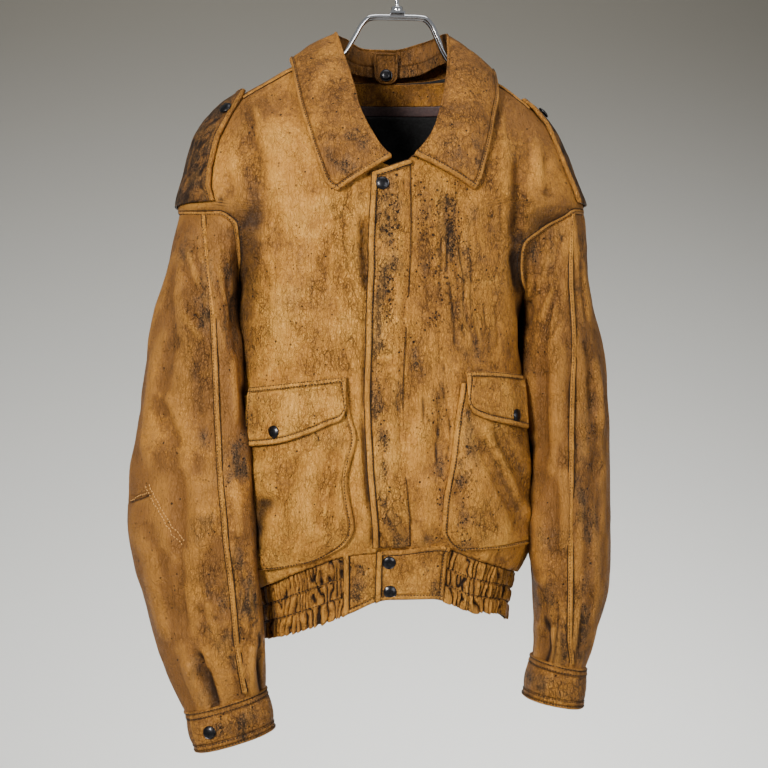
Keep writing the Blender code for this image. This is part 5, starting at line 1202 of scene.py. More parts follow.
# the larger folds of the sleeves
FOLDS_SLEEVE_RIGHT = [
    (5.6, 6.0, "lip", ((-267, -596), (-258, -641), (-256, -687), (-255, -728), (-253, -771), (-249, -813), (-246, -838))),
    (-5.0, 3.4, "soft", ((-246, -834), (-236, -856), (-226, -882), (-221, -912))),
    (3.4, 5.5, "soft", ((-257, -850), (-250, -874), (-240, -905))),
    (-3.2, 2.0, "soft", ((-324, -667), (-310, -663), (-299, -658))),
    (3.0, 12.0, "lip", ((-296, -470), (-304, -530), (-308, -590), (-306, -640))),
    (2.6, 7.0, "lip", ((-262, -380), (-268, -430), (-262, -490))),
    (-2.4, 7.0, "soft", ((-236, -480), (-244, -530), (-240, -590))),
    (2.6, 6.0, "lip", ((-236, -700), (-228, -742), (-224, -790))),
    (-2.2, 6.0, "soft", ((-300, -690), (-288, -720), (-272, -742))),
    (2.0, 7.0, "soft", ((-304, -716), (-290, -746), (-276, -770))),
    (-3.0, 3.0, "soft", ((-190, -836), (-192, -862), (-188, -890))),
    (-3.4, 6.0, "soft", ((-196, -330), (-190, -372), (-186, -420))),
]
FOLDS_SLEEVE_LEFT = [
    (-4.2, 3.0, "soft", ((168, -800), (170, -828), (174, -852), (178, -872))),
    (3.2, 5.0, "soft", ((158, -810), (160, -836), (164, -866))),
    (3.4, 9.0, "lip", ((176, -440), (170, -500), (166, -560), (168, -620), (172, -680))),
    (-2.6, 7.0, "soft", ((196, -480), (200, -540), (198, -600))),
    (3.0, 8.0, "lip", ((226, -500), (232, -560), (230, -620), (224, -690))),
    (-2.4, 6.0, "soft", ((190, -700), (186, -750), (190, -800))),
    (2.6, 7.0, "soft", ((160, -640), (158, -700), (162, -760))),
    (-2.2, 5.0, "soft", ((150, -420), (152, -470), (148, -520))),
]

# long thin cracks down the left chest, and short ones beside the flap
CRACKS_CHEST = [
    (-1.0, 1.5, "soft", ((32, -294), (36, -331), (39, -377), (37, -423), (41, -468))),
    (-1.0, 1.6, "soft", ((45, -315), (48, -354), (45, -392), (51, -435), (54, -478), (52, -518))),
    (-1.0, 1.6, "soft", ((59, -335), (59, -377), (65, -417), (63, -457), (71, -494), (73, -531))),
    (-0.9, 1.5, "soft", ((70, -361), (73, -398), (73, -434), (80, -471), (84, -506))),
    (-0.8, 1.4, "soft", ((24, -320), (22, -352), (26, -391), (23, -434))),
    (-0.8, 1.4, "soft", ((87, -423), (91, -454), (96, -490))),
    (-0.9, 1.5, "soft", ((16, -468), (18, -504), (17, -549), (20, -595))),
    (-0.9, 1.5, "soft", ((31, -531), (36, -572), (33, -608), (40, -652))),
    (-0.9, 1.4, "soft", ((46, -554), (49, -591), (42, -629))),
    (-0.8, 1.4, "soft", ((52, -290), (54, -322), (52, -352), (56, -380))),
    (-0.7, 1.4, "soft", ((40, -500), (43, -530), (40, -560))),
    (-0.7, 1.4, "soft", ((-57, -329), (-52, -367), (-47, -400), (-45, -435))),
    (-0.6, 1.4, "soft", ((-66, -340), (-62, -376), (-56, -412))),
    (-0.6, 1.4, "soft", ((-76, -352), (-70, -392), (-66, -430))),
    (-0.7, 1.4, "soft", ((-53, -583), (-49, -607), (-48, -635), (-45, -660))),
]

# crisp dark lines where a fold closes: painted shadow, with a slight sink
SLITS_SLEEVE_RIGHT = [
    (-1.1, 1.5, "soft", ((-328, -675), (-315, -669), (-303, -664), (-292, -658))),
    (-1.3, 1.8, "soft", ((-249, -820), (-240, -842), (-230, -860), (-223, -880), (-221, -904), (-220, -930))),
    (-1.0, 3.6, "soft", ((-242, -850), (-234, -866), (-228, -886), (-226, -910))),
    (-1.3, 1.7, "soft", ((-170, -812), (-168, -831), (-170, -845), (-167, -862), (-165, -892))),
    (-0.7, 1.3, "soft", ((-236, -480), (-243, -520), (-238, -556))),
    (-0.6, 1.2, "soft", ((-214, -740), (-208, -768), (-210, -800))),
    (-0.6, 1.2, "soft", ((-196, -742), (-190, -772), (-194, -800))),
    (-0.7, 1.3, "soft", ((-222, -760), (-218, -790), (-222, -812))),
]
SLITS_SLEEVE_LEFT = [
    (-1.3, 1.8, "soft", ((164, -798), (167, -816), (169, -835), (172, -857), (174, -880))),
    (-0.8, 1.5, "soft", ((176, -770), (180, -800), (180, -830), (178, -862))),
    (-0.8, 1.4, "soft", ((152, -560), (156, -600), (154, -640))),
    (-0.6, 1.2, "soft", ((222, -600), (226, -640), (224, -680))),
]


# ================================================================ materials
def nodes_of(name):
    m = bpy.data.materials.new(name)
    m.use_nodes = True
    t = m.node_tree
    t.nodes.clear()
    return m, t


class Tree:
    """Short hand for building a node tree."""

    def __init__(self, tree):
        self.t = tree

    def new(self, kind, **inputs):
        n = self.t.nodes.new(kind)
        for k, v in inputs.items():
            self.put(n, k, v)
        return n

    def put(self, n, key, v):
        s = n.inputs[key.replace("_", " ")] if isinstance(key, str) else n.inputs[key]
        if isinstance(v, bpy.types.NodeSocket):
            self.t.links.new(v, s)
        else:
            s.default_value = v

    def mark(self, name):
        n = self.t.nodes.new("ShaderNodeAttribute")
        n.attribute_name = name
        return n.outputs["Fac"]

    def math(self, op, a, b=None, c=None, clamp=False):
        n = self.t.nodes.new("ShaderNodeMath")
        n.operation = op
        n.use_clamp = clamp
        for i, v in enumerate((a, b, c)):
            if v is not None:
                self.put(n, i, v)
        return n.outputs[0]

    def add(self, a, b):
        return self.math("ADD", a, b)

    def sub(self, a, b):
        return self.math("SUBTRACT", a, b)

    def mul(self, a, b):
        return self.math("MULTIPLY", a, b)

    def ramp(self, v, lo, hi, out_lo=0.0, out_hi=1.0):
        n = self.t.nodes.new("ShaderNodeMapRange")
        n.interpolation_type = "SMOOTHSTEP"
        for i, x in enumerate((v, lo, hi, out_lo, out_hi)):
            self.put(n, i, x)
        return n.outputs[0]

    def noise(self, vec, scale, detail=3.0, rough=0.55, distort=0.0):
        n = self.t.nodes.new("ShaderNodeTexNoise")
        self.put(n, "Vector", vec)
        for k, v in (("Scale", scale), ("Detail", detail), ("Roughness", rough), ("Distortion", distort)):
            self.put(n, k, v)
        return n.outputs["Fac"]

    def cells(self, vec, scale, feature="F1", rand=1.0):
        n = self.t.nodes.new("ShaderNodeTexVoronoi")
        n.feature = feature
        self.put(n, "Vector", vec)
        self.put(n, "Scale", scale)
        self.put(n, "Randomness", rand)
        return n

    def stretch(self, vec, x, y, z, move=(0, 0, 0)):
        n = self.t.nodes.new("ShaderNodeMapping")
        self.put(n, "Vector", vec)
        n.inputs["Scale"].default_value = (x, y, z)
        n.inputs["Location"].default_value = move
        return n.outputs[0]

    def mix(self, fac, a, b, mode="MIX"):
        n = self.t.nodes.new("ShaderNodeMix")
        n.data_type = "RGBA"
        n.blend_type = mode
        self.put(n, 0, fac)
        self.put(n, 6, a)
        self.put(n, 7, b)
        return n.outputs[2]


def lin(r, g, b):
    """An 8-bit sRGB colour as linear values."""
    f = lambda c: ((c / 255 + 0.055) / 1.055) ** 2.4 if c > 10 else c / 255 / 12.92
    return (f(r), f(g), f(b), 1.0)


TAN_LIGHT = lin(218, 156, 68)
TAN = lin(186, 125, 48)
TAN_DEEP = lin(137, 90, 38)
BROWN = lin(70, 44, 20)
SMUDGE = lin(48, 37, 24)
PIT = lin(20, 15, 12)
HAZE = lin(96, 74, 54)
EDGE_TAN = lin(208, 144, 60)


def leather_material(name, deep=0.0, scale=1.0, grey=1.0):
    m, tree = nodes_of(name)
    t = Tree(tree)
    pos = t.new("ShaderNodeTexCoord").outputs["Object"]
    tone, dark, pits, crack, edge = (t.mark(k) for k in ("tone", "dark", "pits", "crack", "edge"))
    dark = t.mul(dark, t.ramp(t.noise(t.stretch(pos, 1.0, 1.0, 0.4), 75 * scale, 3, 0.6), 0.36, 0.62, 0.35, 1.15))

    big = t.noise(pos, 16 * scale, 3, 0.5)
    mid = t.noise(pos, 60 * scale, 4, 0.6)
    fine = t.noise(pos, 260 * scale, 4, 0.65)
    speck = t.noise(pos, 900 * scale, 2, 0.6)

    # base colour: light and deep tan, mottled
    k = t.add(t.mul(t.sub(big, 0.5), 1.3), t.mul(t.sub(mid, 0.5), 1.0))
    k = t.add(k, t.mul(t.sub(fine, 0.5), 1.25))
    k = t.add(k, t.mul(t.sub(speck, 0.5), 1.0))
    k = t.add(t.add(k, 0.5), t.mul(tone, -0.5))
    # deep darkens the whole material; the copy made with it is painted shade
    k = t.add(k, deep)
    k = t.math("MINIMUM", t.math("MAXIMUM", k, 0.0), 1.0)
    col = t.mix(t.ramp(k, 0.0, 0.55), TAN_LIGHT, TAN)
    col = t.mix(t.ramp(k, 0.45, 1.0), col, TAN_DEEP)

    # fine broken grain: thin darker lines between small cells
    warp = t.new("ShaderNodeVectorMath")
    warp.operation = "ADD"
    wob = t.new("ShaderNodeTexNoise", Vector=pos, Scale=140.0, Detail=2.0)
    shift = t.new("ShaderNodeVectorMath")
    shift.operation = "SCALE"
    t.put(shift, 0, wob.outputs["Color"])
    shift.inputs["Scale"].default_value = 0.006
    t.put(warp, 0, pos)
    t.put(warp, 1, shift.outputs[0])
    wpos = warp.outputs[0]
    upright = t.stretch(wpos, 1.0, 1.0, 0.38)
    net = t.cells(upright, 330 * scale, "DISTANCE_TO_EDGE").outputs["Distance"]
    line = t.ramp(net, 0.10, 0.0)
    net2 = t.cells(t.stretch(wpos, 1.0, 1.0, 0.22), 150 * scale, "DISTANCE_TO_EDGE").outputs["Distance"]
    line2 = t.ramp(net2, 0.055, 0.0)
    net3 = t.cells(t.stretch(wpos, 1.0, 1.0, 0.55), 640 * scale, "DISTANCE_TO_EDGE").outputs["Distance"]
    line3 = t.ramp(net3, 0.12, 0.0)
    patch = t.ramp(t.noise(pos, 34 * scale, 3, 0.6), 0.40, 0.62)
    worn = t.math("MINIMUM", t.add(t.add(t.mul(crack, t.add(patch, 0.55)), t.mul(patch, 0.26)), 0.12), 1.0)
    lines = t.math("MAXIMUM", t.mul(line, t.mul(worn, 0.75)), t.mul(line2, t.mul(worn, 0.95)))
    lines = t.math("MAXIMUM", lines, t.mul(line3, t.mul(worn, 0.45)))
    col = t.mix(t.mul(lines, 0.86), col, lin(58, 35, 17))

    # smudged dirt, and painted shade where the dark mark holds it
    gate = t.ramp(dark, 0.0, 0.45, 0.12, 1.0)
    streak = t.noise(t.stretch(wpos, 1.0, 1.0, 0.35), 200 * scale, 3, 0.6)
    fleck = t.noise(t.stretch(wpos, 1.0, 1.0, 0.7), 520 * scale, 3, 0.7)
    d = t.add(t.mul(dark, 0.80), t.mul(t.sub(mid, 0.5), t.mul(gate, 0.6)))
    d = t.add(d, t.mul(t.sub(streak, 0.5), t.mul(gate, 1.3)))
    d = t.add(d, t.mul(t.sub(fleck, 0.5), t.mul(gate, 2.2)))
    d = t.add(d, t.mul(t.sub(speck, 0.5), t.mul(gate, 1.6)))
    d = t.add(d, t.mul(lines, t.mul(gate, 0.6)))
    smear = t.ramp(d, 0.44, 0.94)
    film = t.ramp(t.add(t.add(dark, t.mul(t.sub(mid, 0.5), 0.5)), t.mul(t.sub(fine, 0.5), 0.7)), 0.05, 0.85, 0.0, 0.50)
    col = t.mix(film, col, HAZE)
    col = t.mix(t.mul(smear, 0.84), col, SMUDGE if grey else BROWN)

    # pits: dark specks, only in some cells
    def dots(scale_, size, threshold):
        v = t.cells(pos, scale_, "F1")
        rnd = t.new("ShaderNodeSeparateColor", Color=v.outputs["Color"])
        on = t.math("GREATER_THAN", rnd.outputs[0], threshold)
        radius = t.mul(rnd.outputs[1], size)
        inside = t.ramp(t.sub(v.outputs["Distance"], radius), 0.06, -0.04)
        return t.mul(on, inside)

    few = dots(300 * scale, 0.42, t.ramp(pits, 0.0, 1.0, 0.955, 0.35))
    many = dots(560 * scale, 0.34, t.ramp(t.math("MAXIMUM", pits, t.mul(dark, 0.8)), 0.0, 1.0, 0.95, 0.40))
    large = dots(190 * scale, 0.38, t.ramp(pits, 0.25, 1.0, 1.0, 0.42))
    spot = t.math("MAXIMUM", t.math("MAXIMUM", few, t.mul(many, 0.85)), large)
    col = t.mix(t.mul(spot, 0.92), col, PIT)

    # rubbed, lighter edges, and painted highlight on ridges
    rub = t.mul(edge, t.ramp(fine, 0.25, 0.7, 0.55, 1.0))
    col = t.mix(t.mul(rub, 0.72), col, EDGE_TAN)
    # the seam mark: dark seam lines and cracks, and painted shade in hollows, troughs and folds
    groove = t.mark("seam")
    col = t.mix(t.ramp(groove, 0.0, 1.0, 0.0, 0.94), col, lin(36, 21, 10))

    # height for the bump: grain, creases, pits
    pebble = t.cells(wpos, 620 * scale, "F1").outputs["Distance"]
    h = t.mul(t.sub(1.0, pebble), 0.22)
    h = t.add(h, t.mul(fine, 0.75))
    h = t.add(h, t.mul(streak, 0.45))
    h = t.add(h, t.mul(mid, 0.8))
    h = t.sub(h, t.mul(t.add(t.add(t.mul(line, 0.5), t.mul(line2, 0.8)), t.mul(line3, 0.3)), t.add(t.mul(worn, 0.9), 0.25)))
    h = t.sub(h, t.mul(spot, 0.75))
    h = t.add(h, t.mul(speck, 0.08))
    h = t.sub(h, t.mul(groove, 0.8))
    bump = t.new("ShaderNodeBump", Height=h, Strength=0.9, Distance=0.0018)
    rough = t.add(t.ramp(fine, 0.3, 0.7, 0.44, 0.58), t.mul(smear, 0.08))
    b = t.new("ShaderNodeBsdfPrincipled", Base_Color=col, Roughness=rough, Normal=bump.outputs[0])
    b.inputs["Specular IOR Level"].default_value = 0.24
    out = t.new("ShaderNodeOutputMaterial")
    tree.links.new(b.outputs[0], out.inputs[0])
    return m


def plain_material(name, colour, rough, metal=0.0, bump_scale=0.0, bump_depth=0.0003,
                   colour2=None, coat=0.0):
    m, tree = nodes_of(name)
    t = Tree(tree)
    pos = t.new("ShaderNodeTexCoord").outputs["Object"]
    n = t.noise(pos, 300.0, 3, 0.6)
    col = t.mix(t.ramp(n, 0.35, 0.65), colour, colour2 or colour)
    b = t.new("ShaderNodeBsdfPrincipled", Base_Color=col)
    t.put(b, "Roughness", t.ramp(n, 0.2, 0.8, rough * 0.85, rough * 1.15))
    b.inputs["Metallic"].default_value = metal
    b.inputs["Coat Weight"].default_value = coat
    if bump_scale:
        h = t.noise(pos, bump_scale, 3, 0.6)
        bump = t.new("ShaderNodeBump", Height=h, Strength=0.5, Distance=bump_depth)
        t.put(b, "Normal", bump.outputs[0])
    out = t.new("ShaderNodeOutputMaterial")
    tree.links.new(b.outputs[0], out.inputs[0])
    return m


LEATHER = leather_material("leather_worn")
# a copy of the leather darkened as painted shade, for faces inside the neck and under the collar
LEATHER_SHADED = leather_material("leather_worn_shaded", deep=0.22)
INSIDE = plain_material("lining_black", lin(9, 8, 8), 0.9, bump_scale=160.0,
                        bump_depth=0.002, colour2=lin(14, 12, 12))
FLESH = plain_material("leather_back", lin(66, 46, 34), 0.85, bump_scale=500.0, colour2=lin(54, 38, 28))
BAND = plain_material("lining_brown", lin(74, 50, 46), 0.55, bump_scale=200.0,
                      bump_depth=0.001, colour2=lin(60, 40, 38))
THREAD = plain_material("thread_dark", lin(15, 9, 5), 0.7)
THREAD_TAN = plain_material("thread_tan", lin(202, 148, 80), 0.65)
CHROME = plain_material("chrome_plate", (0.80, 0.80, 0.81, 1), 0.10, metal=1.0)
SNAP = plain_material("snap_gunmetal", lin(58, 56, 56), 0.24, metal=1.0, colour2=lin(50, 48, 50), coat=0.4)
SNAP_DULL = plain_material("snap_dark", lin(62, 61, 63), 0.33, metal=1.0, colour2=lin(46, 45, 47), coat=0.2)


# ================================================================== surfaces
ROUND = np.linspace(0, 2 * math.pi, 1441)
ROUND_P = torso(ROUND, waist("seam", ROUND))
ROUND_S = np.concatenate([[0.0], np.cumsum(np.linalg.norm(np.diff(ROUND_P, axis=0), axis=1))])


def gather(phi, z, seed=0, band=None):
    """Gathering folds: 0 at a crease, 1 on a ridge, irregular in width, each
    with its own height, some running into one another."""
    s = np.interp(np.mod(phi, 2 * math.pi), ROUND, ROUND_S)
    c = s / 0.0092 + 0.85 * noise2(s, 0 * s, 0.023, 1.0, 181 + seed)
    c = c + 0.62 * noise2(s, z, 0.013, 0.019, 183 + seed) + 0.22 * noise2(s, z, 0.006, 0.009, 187 + seed)
    if band is not None:
        # each strip between two stitched rows puckers in its own way
        c = c + 0.85 * noise2(s, band, 0.015, 0.8, 193 + seed) + 0.35 * noise2(s, band, 0.006, 0.8, 195 + seed)
    fold = np.abs(np.sin(math.pi * c)) ** 0.70
    own = lattice(185 + seed).ravel()[np.mod(np.floor(c).astype(int), 4096)]
    tall = 0.78 + 0.22 * own * np.abs(np.sin(math.pi * c))
    return fold * tall


def gathers_over(phi, z):
    """Small folds in the panels just above the gathered waist."""
    return gather(phi, z) - 0.55


ARM_TABLES = {"right": ARM_RIGHT, "left": ARM_LEFT}


def edge_ring(side):
    """Armhole ring: angles and heights at its 16 points, the first repeated."""
    front, back = armhole_points(ARM_TABLES[side])
    turn = 0.0 if side == "right" else 2 * math.pi
    ring = front + [(p + turn, z) for p, z in back[-2:0:-1]] + [front[0]]
    return np.array([p for p, _ in ring]), np.array([z for _, z in ring])


RINGS = {s: edge_ring(s) for s in ("right", "left")}


def ring_at(side, q):
    phi, z = RINGS[side]
    k = np.arange(len(phi), dtype=float)
    return smooth_read(k, phi, q), smooth_read(k, z, q)


def swell(phi, z):
    """How far the body's sides fill out towards the sleeves below the
    underarm, in millimetres."""
    a = np.mod(phi, 2 * math.pi)
    right = np.exp(-((a - math.pi) / 0.60) ** 2) * step(-0.385, -0.460, z) * step(-0.795, -0.740, z)
    b = np.minimum(a, 2 * math.pi - a)
    left = np.exp(-(b / 0.55) ** 2) * step(-0.345, -0.420, z) * step(-0.780, -0.715, z)
    return 17.0 * right + 11.0 * left


def relief_front(x, z):
    """Millimetres off the plain torso: listed creases, then softer and
    finer unevenness."""
    v = 2.1 * creases([r for r in CREASES_FRONT if r[1] < 3.0], x, z)
    v = v + 1.45 * creases([r for r in CREASES_FRONT if r[1] >= 3.0], x, z)
    v = v + 1.5 * noise2(x, z, 0.050, 0.085, 11) + 0.85 * noise2(x, z, 0.019, 0.032, 12)
    c = spots(CRACK_BODY, x, z, 31)
    wob = 0.005 * noise2(x, z, 0.020, 0.030, 14)
    fine = ridged(x + wob, z, 0.0072, 0.034, 13) - 0.62
    finer = ridged(x - wob, z, 0.0046, 0.020, 15) - 0.62
    return v + (0.22 + 0.95 * c) * (1.1 * fine + 0.5 * finer)


def relief_back(x, z):
    v = creases(CREASES_BACK, x, z)
    v = v + 1.7 * noise2(x, z, 0.060, 0.100, 21) + 0.9 * noise2(x, z, 0.020, 0.034, 22)
    wob = 0.004 * noise2(x, z, 0.020, 0.030, 24)
    fine = ridged(x + wob, z, 0.0078, 0.040, 23) - 0.62
    return v + 0.9 * fine * (0.5 + 0.5 * noise2(x, z, 0.08, 0.12, 25))


def panel_rows(side):
    """Continuous rows of a front panel: returns a function of r giving outer
    angle and z, inner angle and z; and the number of rows."""
    arm = ARM_TABLES[side]
    yoke = YOKE_RIGHT if side == "right" else YOKE_LEFT
    out = math.pi if side == "right" else 2 * math.pi
    p0, z0, p1, z1 = [out], [float(waist("seam", out))], [], []
    zc = float(waist("seam", phi_of(FRONT_X, -0.73)))
    p1.append(phi_of(FRONT_X, zc))
    z1.append(zc)
    for a, b in SIDE:
        p0.append(out); z0.append(a); p1.append(phi_of(FRONT_X, b)); z1.append(b)
    phi, zz = RINGS[side]
    for k in range(8, -1, -1):
        p0.append(phi[k]); z0.append(zz[k])
        p1.append(phi_of(FRONT_X, ARM_INNER_Z[k])); z1.append(ARM_INNER_Z[k])
    for a, x, b in yoke:
        p0.append(out); z0.append(a); p1.append(phi_of(x, b)); z1.append(b)
    k = np.arange(len(p0), dtype=float)
    tabs = [np.array(v, float) for v in (p0, z0, p1, z1)]

    def read(r):
        r = np.asarray(r, float)
        a, b, c, d = (smooth_read(k, v, r) for v in tabs)
        arm_part = (r >= 9) & (r <= 17)
        q = np.clip(17 - r, 0, 8)
        pa, za = ring_at(side, q)
        return np.where(arm_part, pa, a), np.where(arm_part, za, b), c, d
    return read, len(p0)


def even_rows(read, n_rows, pitch):
    """Row positions evenly spaced down the middle of a panel."""
    r = np.linspace(0, n_rows - 1, 1500)
    _, z0, _, z1 = read(r)
    d = np.concatenate([[0.0], np.cumsum(np.abs(np.diff(z0)) * 0.5 + np.abs(np.diff(z1)) * 0.5 + 2e-6)])
    n = int(d[-1] / pitch)
    return np.interp(np.linspace(0, d[-1], n), d, r)


def valley_dirt_and_shade(v, scale=2.2):
    """Old dirt and painted shade in the troughs."""
    return np.clip(-v / scale, 0, 1)


def body_marks(x, z):
    c = creases([r for r in CREASES_FRONT if r[1] < 5], x, z)
    # crease troughs darker: dirt and painted shade; crease ridges lighter: rubbed wear and painted highlight
    dark = np.maximum(spots(DARK_BODY, x, z, 41), 0.22 * valley_dirt_and_shade(c, 1.0))
    m = {"dark": dark, "pits": spots(PITS_BODY, x, z, 43),
         "crack": spots(CRACK_BODY, x, z, 45), "edge": 0.35 * np.clip(c / 1.0, 0, 1)}
    # painted light: the wearer's right front made lighter than the left
    m["tone"] = 0.50 * step(0.02, -0.03, x) + 0.15 * noise2(x, z, 0.05, 0.07, 47) - 0.25
    return m


def front_panel(side):
    read, count = panel_rows(side)
    r = even_rows(read, count, 0.0026)
    p0, z0, p1, z1 = read(r)
    s = np.linspace(0, 1, 92)
    seam = waist("seam", np.linspace(p0[0], p1[0], len(s)))
    flat = z0[0] + (z1[0] - z0[0]) * s
    phi = p0[:, None] + (p1 - p0)[:, None] * s
    z = z0[:, None] + (z1 - z0)[:, None] * s
    z = z + (seam - flat)[None] * np.clip(1 - r / 3, 0, 1)[:, None]
    base, nrm = torso(phi, z), torso_normal(phi, z)
    x, zz = base[..., 0], base[..., 2]
    h = relief_front(x, zz)
    # settle to the plain form at the side, the neck and the waist seam
    rr = np.broadcast_to(r[:, None], h.shape)
    ss = np.broadcast_to(s[None], h.shape)
    side_fade = step(0.0, 0.06, ss)
    h = h * (0.25 + 0.75 * side_fade) * step(0, 0.8, rr + 0.25)
    arm_lip = np.exp(-(ss / 0.03) ** 2) * ((rr >= 8.5) & (rr <= 17.5))
    h = h + 1.2 * arm_lip + swell(phi, z)
    low = step(0.045, 0.0, zz - waist("seam", phi))
    h = h + 2.2 * low * gathers_over(phi, z) \
        * np.where(side == "right", step(PLAIN_X + 0.004, PLAIN_X - 0.012, x), step(TAB_X - 0.004, TAB_X + 0.012, x))
    pts = base + nrm * (h / 1000.0)[..., None]
    marks = body_marks(x, zz)
    # painted shade at the panel's side beside the sleeve, below the underarm
    side_shade = step(0.27, 0.12, ss) * step(-0.30, -0.36, zz) * step(-0.62, -0.52, zz)
    side_shade = np.maximum(side_shade, step(0.12, 0.02, ss) * step(-0.30, -0.36, zz) * step(-0.76, -0.70, zz))
    side_shade = np.maximum(side_shade, step(0.10, 0.01, ss) * step(-0.20, -0.26, zz) * step(-0.44, -0.38, zz))
    # painted shade in the deep troughs beside the storm flap, softer above z -0.50 and darker below
    deep = valley_dirt_and_shade(creases([r for r in CREASES_FRONT if r[0] < -3.0 and r[1] < 8], x, zz), 6.0)
    marks["seam"] = np.maximum(0.80 * side_shade * (0.85 + 0.15 * noise2(x, zz, 0.01, 0.02, 49)), deep ** 1.4 * np.where(zz > -0.50, 0.34, 0.78))
    # painted shade: a dark band down the chest beside the right sleeve
    chest = np.exp(-((x * 1000 + 180 + (zz * 1000 + 300) * 0.06) / 17.0) ** 2) * step(-0.19, -0.26, zz) * step(-0.45, -0.36, zz)
    marks["dark"] = np.maximum(marks["dark"], 0.30 * chest)
    marks["tone"] = marks["tone"] - 0.50 * chest
    shade = np.maximum(step(-0.156, -0.176, x), step(0.134, 0.154, x)) * step(-0.28, -0.35, zz) * step(-0.545, -0.50, zz)
    marks["seam"] = np.maximum(marks["seam"], 0.62 * shade)
    marks["tone"] = marks["tone"] - 0.5 * shade
    # painted shadow in the gap under the epaulette's inner corner
    gap_shadow = np.exp(-((x * 1000 + 214) / 4.5) ** 2 - ((zz * 1000 + 320) / 9.0) ** 2)
    marks["seam"] = np.maximum(marks["seam"], 0.95 * gap_shadow)
    # painted shade: the panels darker at the top, over the shoulders
    marks["tone"] = marks["tone"] - 0.80 * step(-0.29, -0.20, zz)
    cracks = np.clip(-creases(CRACKS_CHEST, x, zz), 0, 1)
    cracks = cracks * np.clip(0.95 + 0.8 * noise2(x, zz, 0.006, 0.012, 59), 0, 1)
    marks["seam"] = np.maximum(marks["seam"], 0.88 * cracks)
    pts = pts - nrm * (0.0011 * cracks)[..., None]
    marks = rub_in_and_shade(h - swell(phi, z), marks)
    return shell("panel_front_" + side, pts, nrm, 0.0016, (LEATHER, INSIDE), marks)


def back_panel():
    rows_r, count = panel_rows("right")
    # the same rows as the fronts, but from one back armhole edge to the other
    pr, zr = RINGS["right"]
    pl, zl = RINGS["left"]
    a = [(math.pi, float(waist("seam", math.pi)), 0.0, float(waist("seam", 0.0)))]
    a += [(math.pi, z, 0.0, z) for z, _ in SIDE]
    a += [(pr[(16 - k) % 16], zr[(16 - k) % 16], pl[(16 - k) % 16] - 2 * math.pi, zl[(16 - k) % 16])
          for k in range(8, -1, -1)]
    a += [(math.pi, z, 0.0, z) for z, _, _ in YOKE_RIGHT]
    a = np.array(a)
    k = np.arange(len(a), dtype=float)

    def read(r):
        r = np.asarray(r, float)
        v = [smooth_read(k, a[:, i], r) for i in range(4)]
        arm = (r >= 9) & (r <= 17)
        q = np.clip(16 - (17 - r), 8, 16)
        pa, za = ring_at("right", q)
        pb, zb = ring_at("left", q)
        return (np.where(arm, pa, v[0]), np.where(arm, za, v[1]),
                np.where(arm, pb - 2 * math.pi, v[2]), np.where(arm, zb, v[3]))
    r = even_rows(read, len(a), 0.0046)
    p0, z0, p1, z1 = read(r)
    s = np.linspace(0, 1, 106)
    seam = waist("seam", np.linspace(math.pi, 0.0, len(s)))
    phi = p0[:, None] + (p1 - p0)[:, None] * s
    z = z0[:, None] + (z1 - z0)[:, None] * s
    z = z + (seam - (z0[0] + (z1[0] - z0[0]) * s))[None] * np.clip(1 - r / 3, 0, 1)[:, None]
    mid = np.broadcast_to(((z0 + z1) / 2)[:, None], z.shape)
    z = z - 0.0090 * np.sin(math.pi * s)[None] ** 2 * step(-0.25, -0.142, mid)
    base, nrm = torso(phi, z), torso_normal(phi, z)
    x, zz = base[..., 0], base[..., 2]
    h = relief_back(x, zz)
    ss = np.broadcast_to(s[None], h.shape)
    rr = np.broadcast_to(r[:, None], h.shape)
    side = np.minimum(step(0.0, 0.05, ss), step(0.0, 0.05, 1 - ss))
    h = h * (0.25 + 0.75 * side) * step(0, 0.8, rr + 0.25)
    lip = np.maximum(np.exp(-(ss / 0.02) ** 2), np.exp(-((1 - ss) / 0.02) ** 2))
    h = h + 1.2 * lip * ((rr >= 8.5) & (rr <= 17.5)) + swell(phi, z)
    low = step(0.045, 0.0, zz - waist("seam", phi))
    h = h + 2.0 * low * gathers_over(phi, z)
    pts = base + nrm * (h / 1000.0)[..., None]
    # painted shade at the panel's sides beside the sleeves
    side_shade = np.maximum(step(0.10, 0.0, ss), step(0.90, 1.0, ss)) * step(-0.34, -0.40, zz)
    marks = {"dark": spots(DARK_BACK, x, zz, 51), "seam": 0.7 * side_shade, "crack": 0.35 + 0.3 * noise2(x, zz, 0.05, 0.08, 53),
             "pits": 0.25 * step(0.1, 0.6, noise2(x, zz, 0.05, 0.06, 55)),
             "tone": 0.15 * noise2(x, zz, 0.06, 0.08, 57)}
    marks = rub_in_and_shade(h - swell(phi, z), marks, 2, 2)
    return shell("panel_back", pts, nrm, 0.0016, (LEATHER, INSIDE), marks)


def sleeve_psi(table, q, t):
    across = sleeve_value(table, "welt", t)
    welt = np.arccos(np.clip(1 - 2 * across, -1, 1))
    q = np.asarray(q, float) % 16.0
    a = q / WELT_Q * welt
    b = welt + (q - WELT_Q) / (8.0 - WELT_Q) * (math.pi - welt)
    c = math.pi + (q - 8.0) / 8.0 * math.pi
    return np.where(q <= WELT_Q, a, np.where(q <= 8.0, b, c))


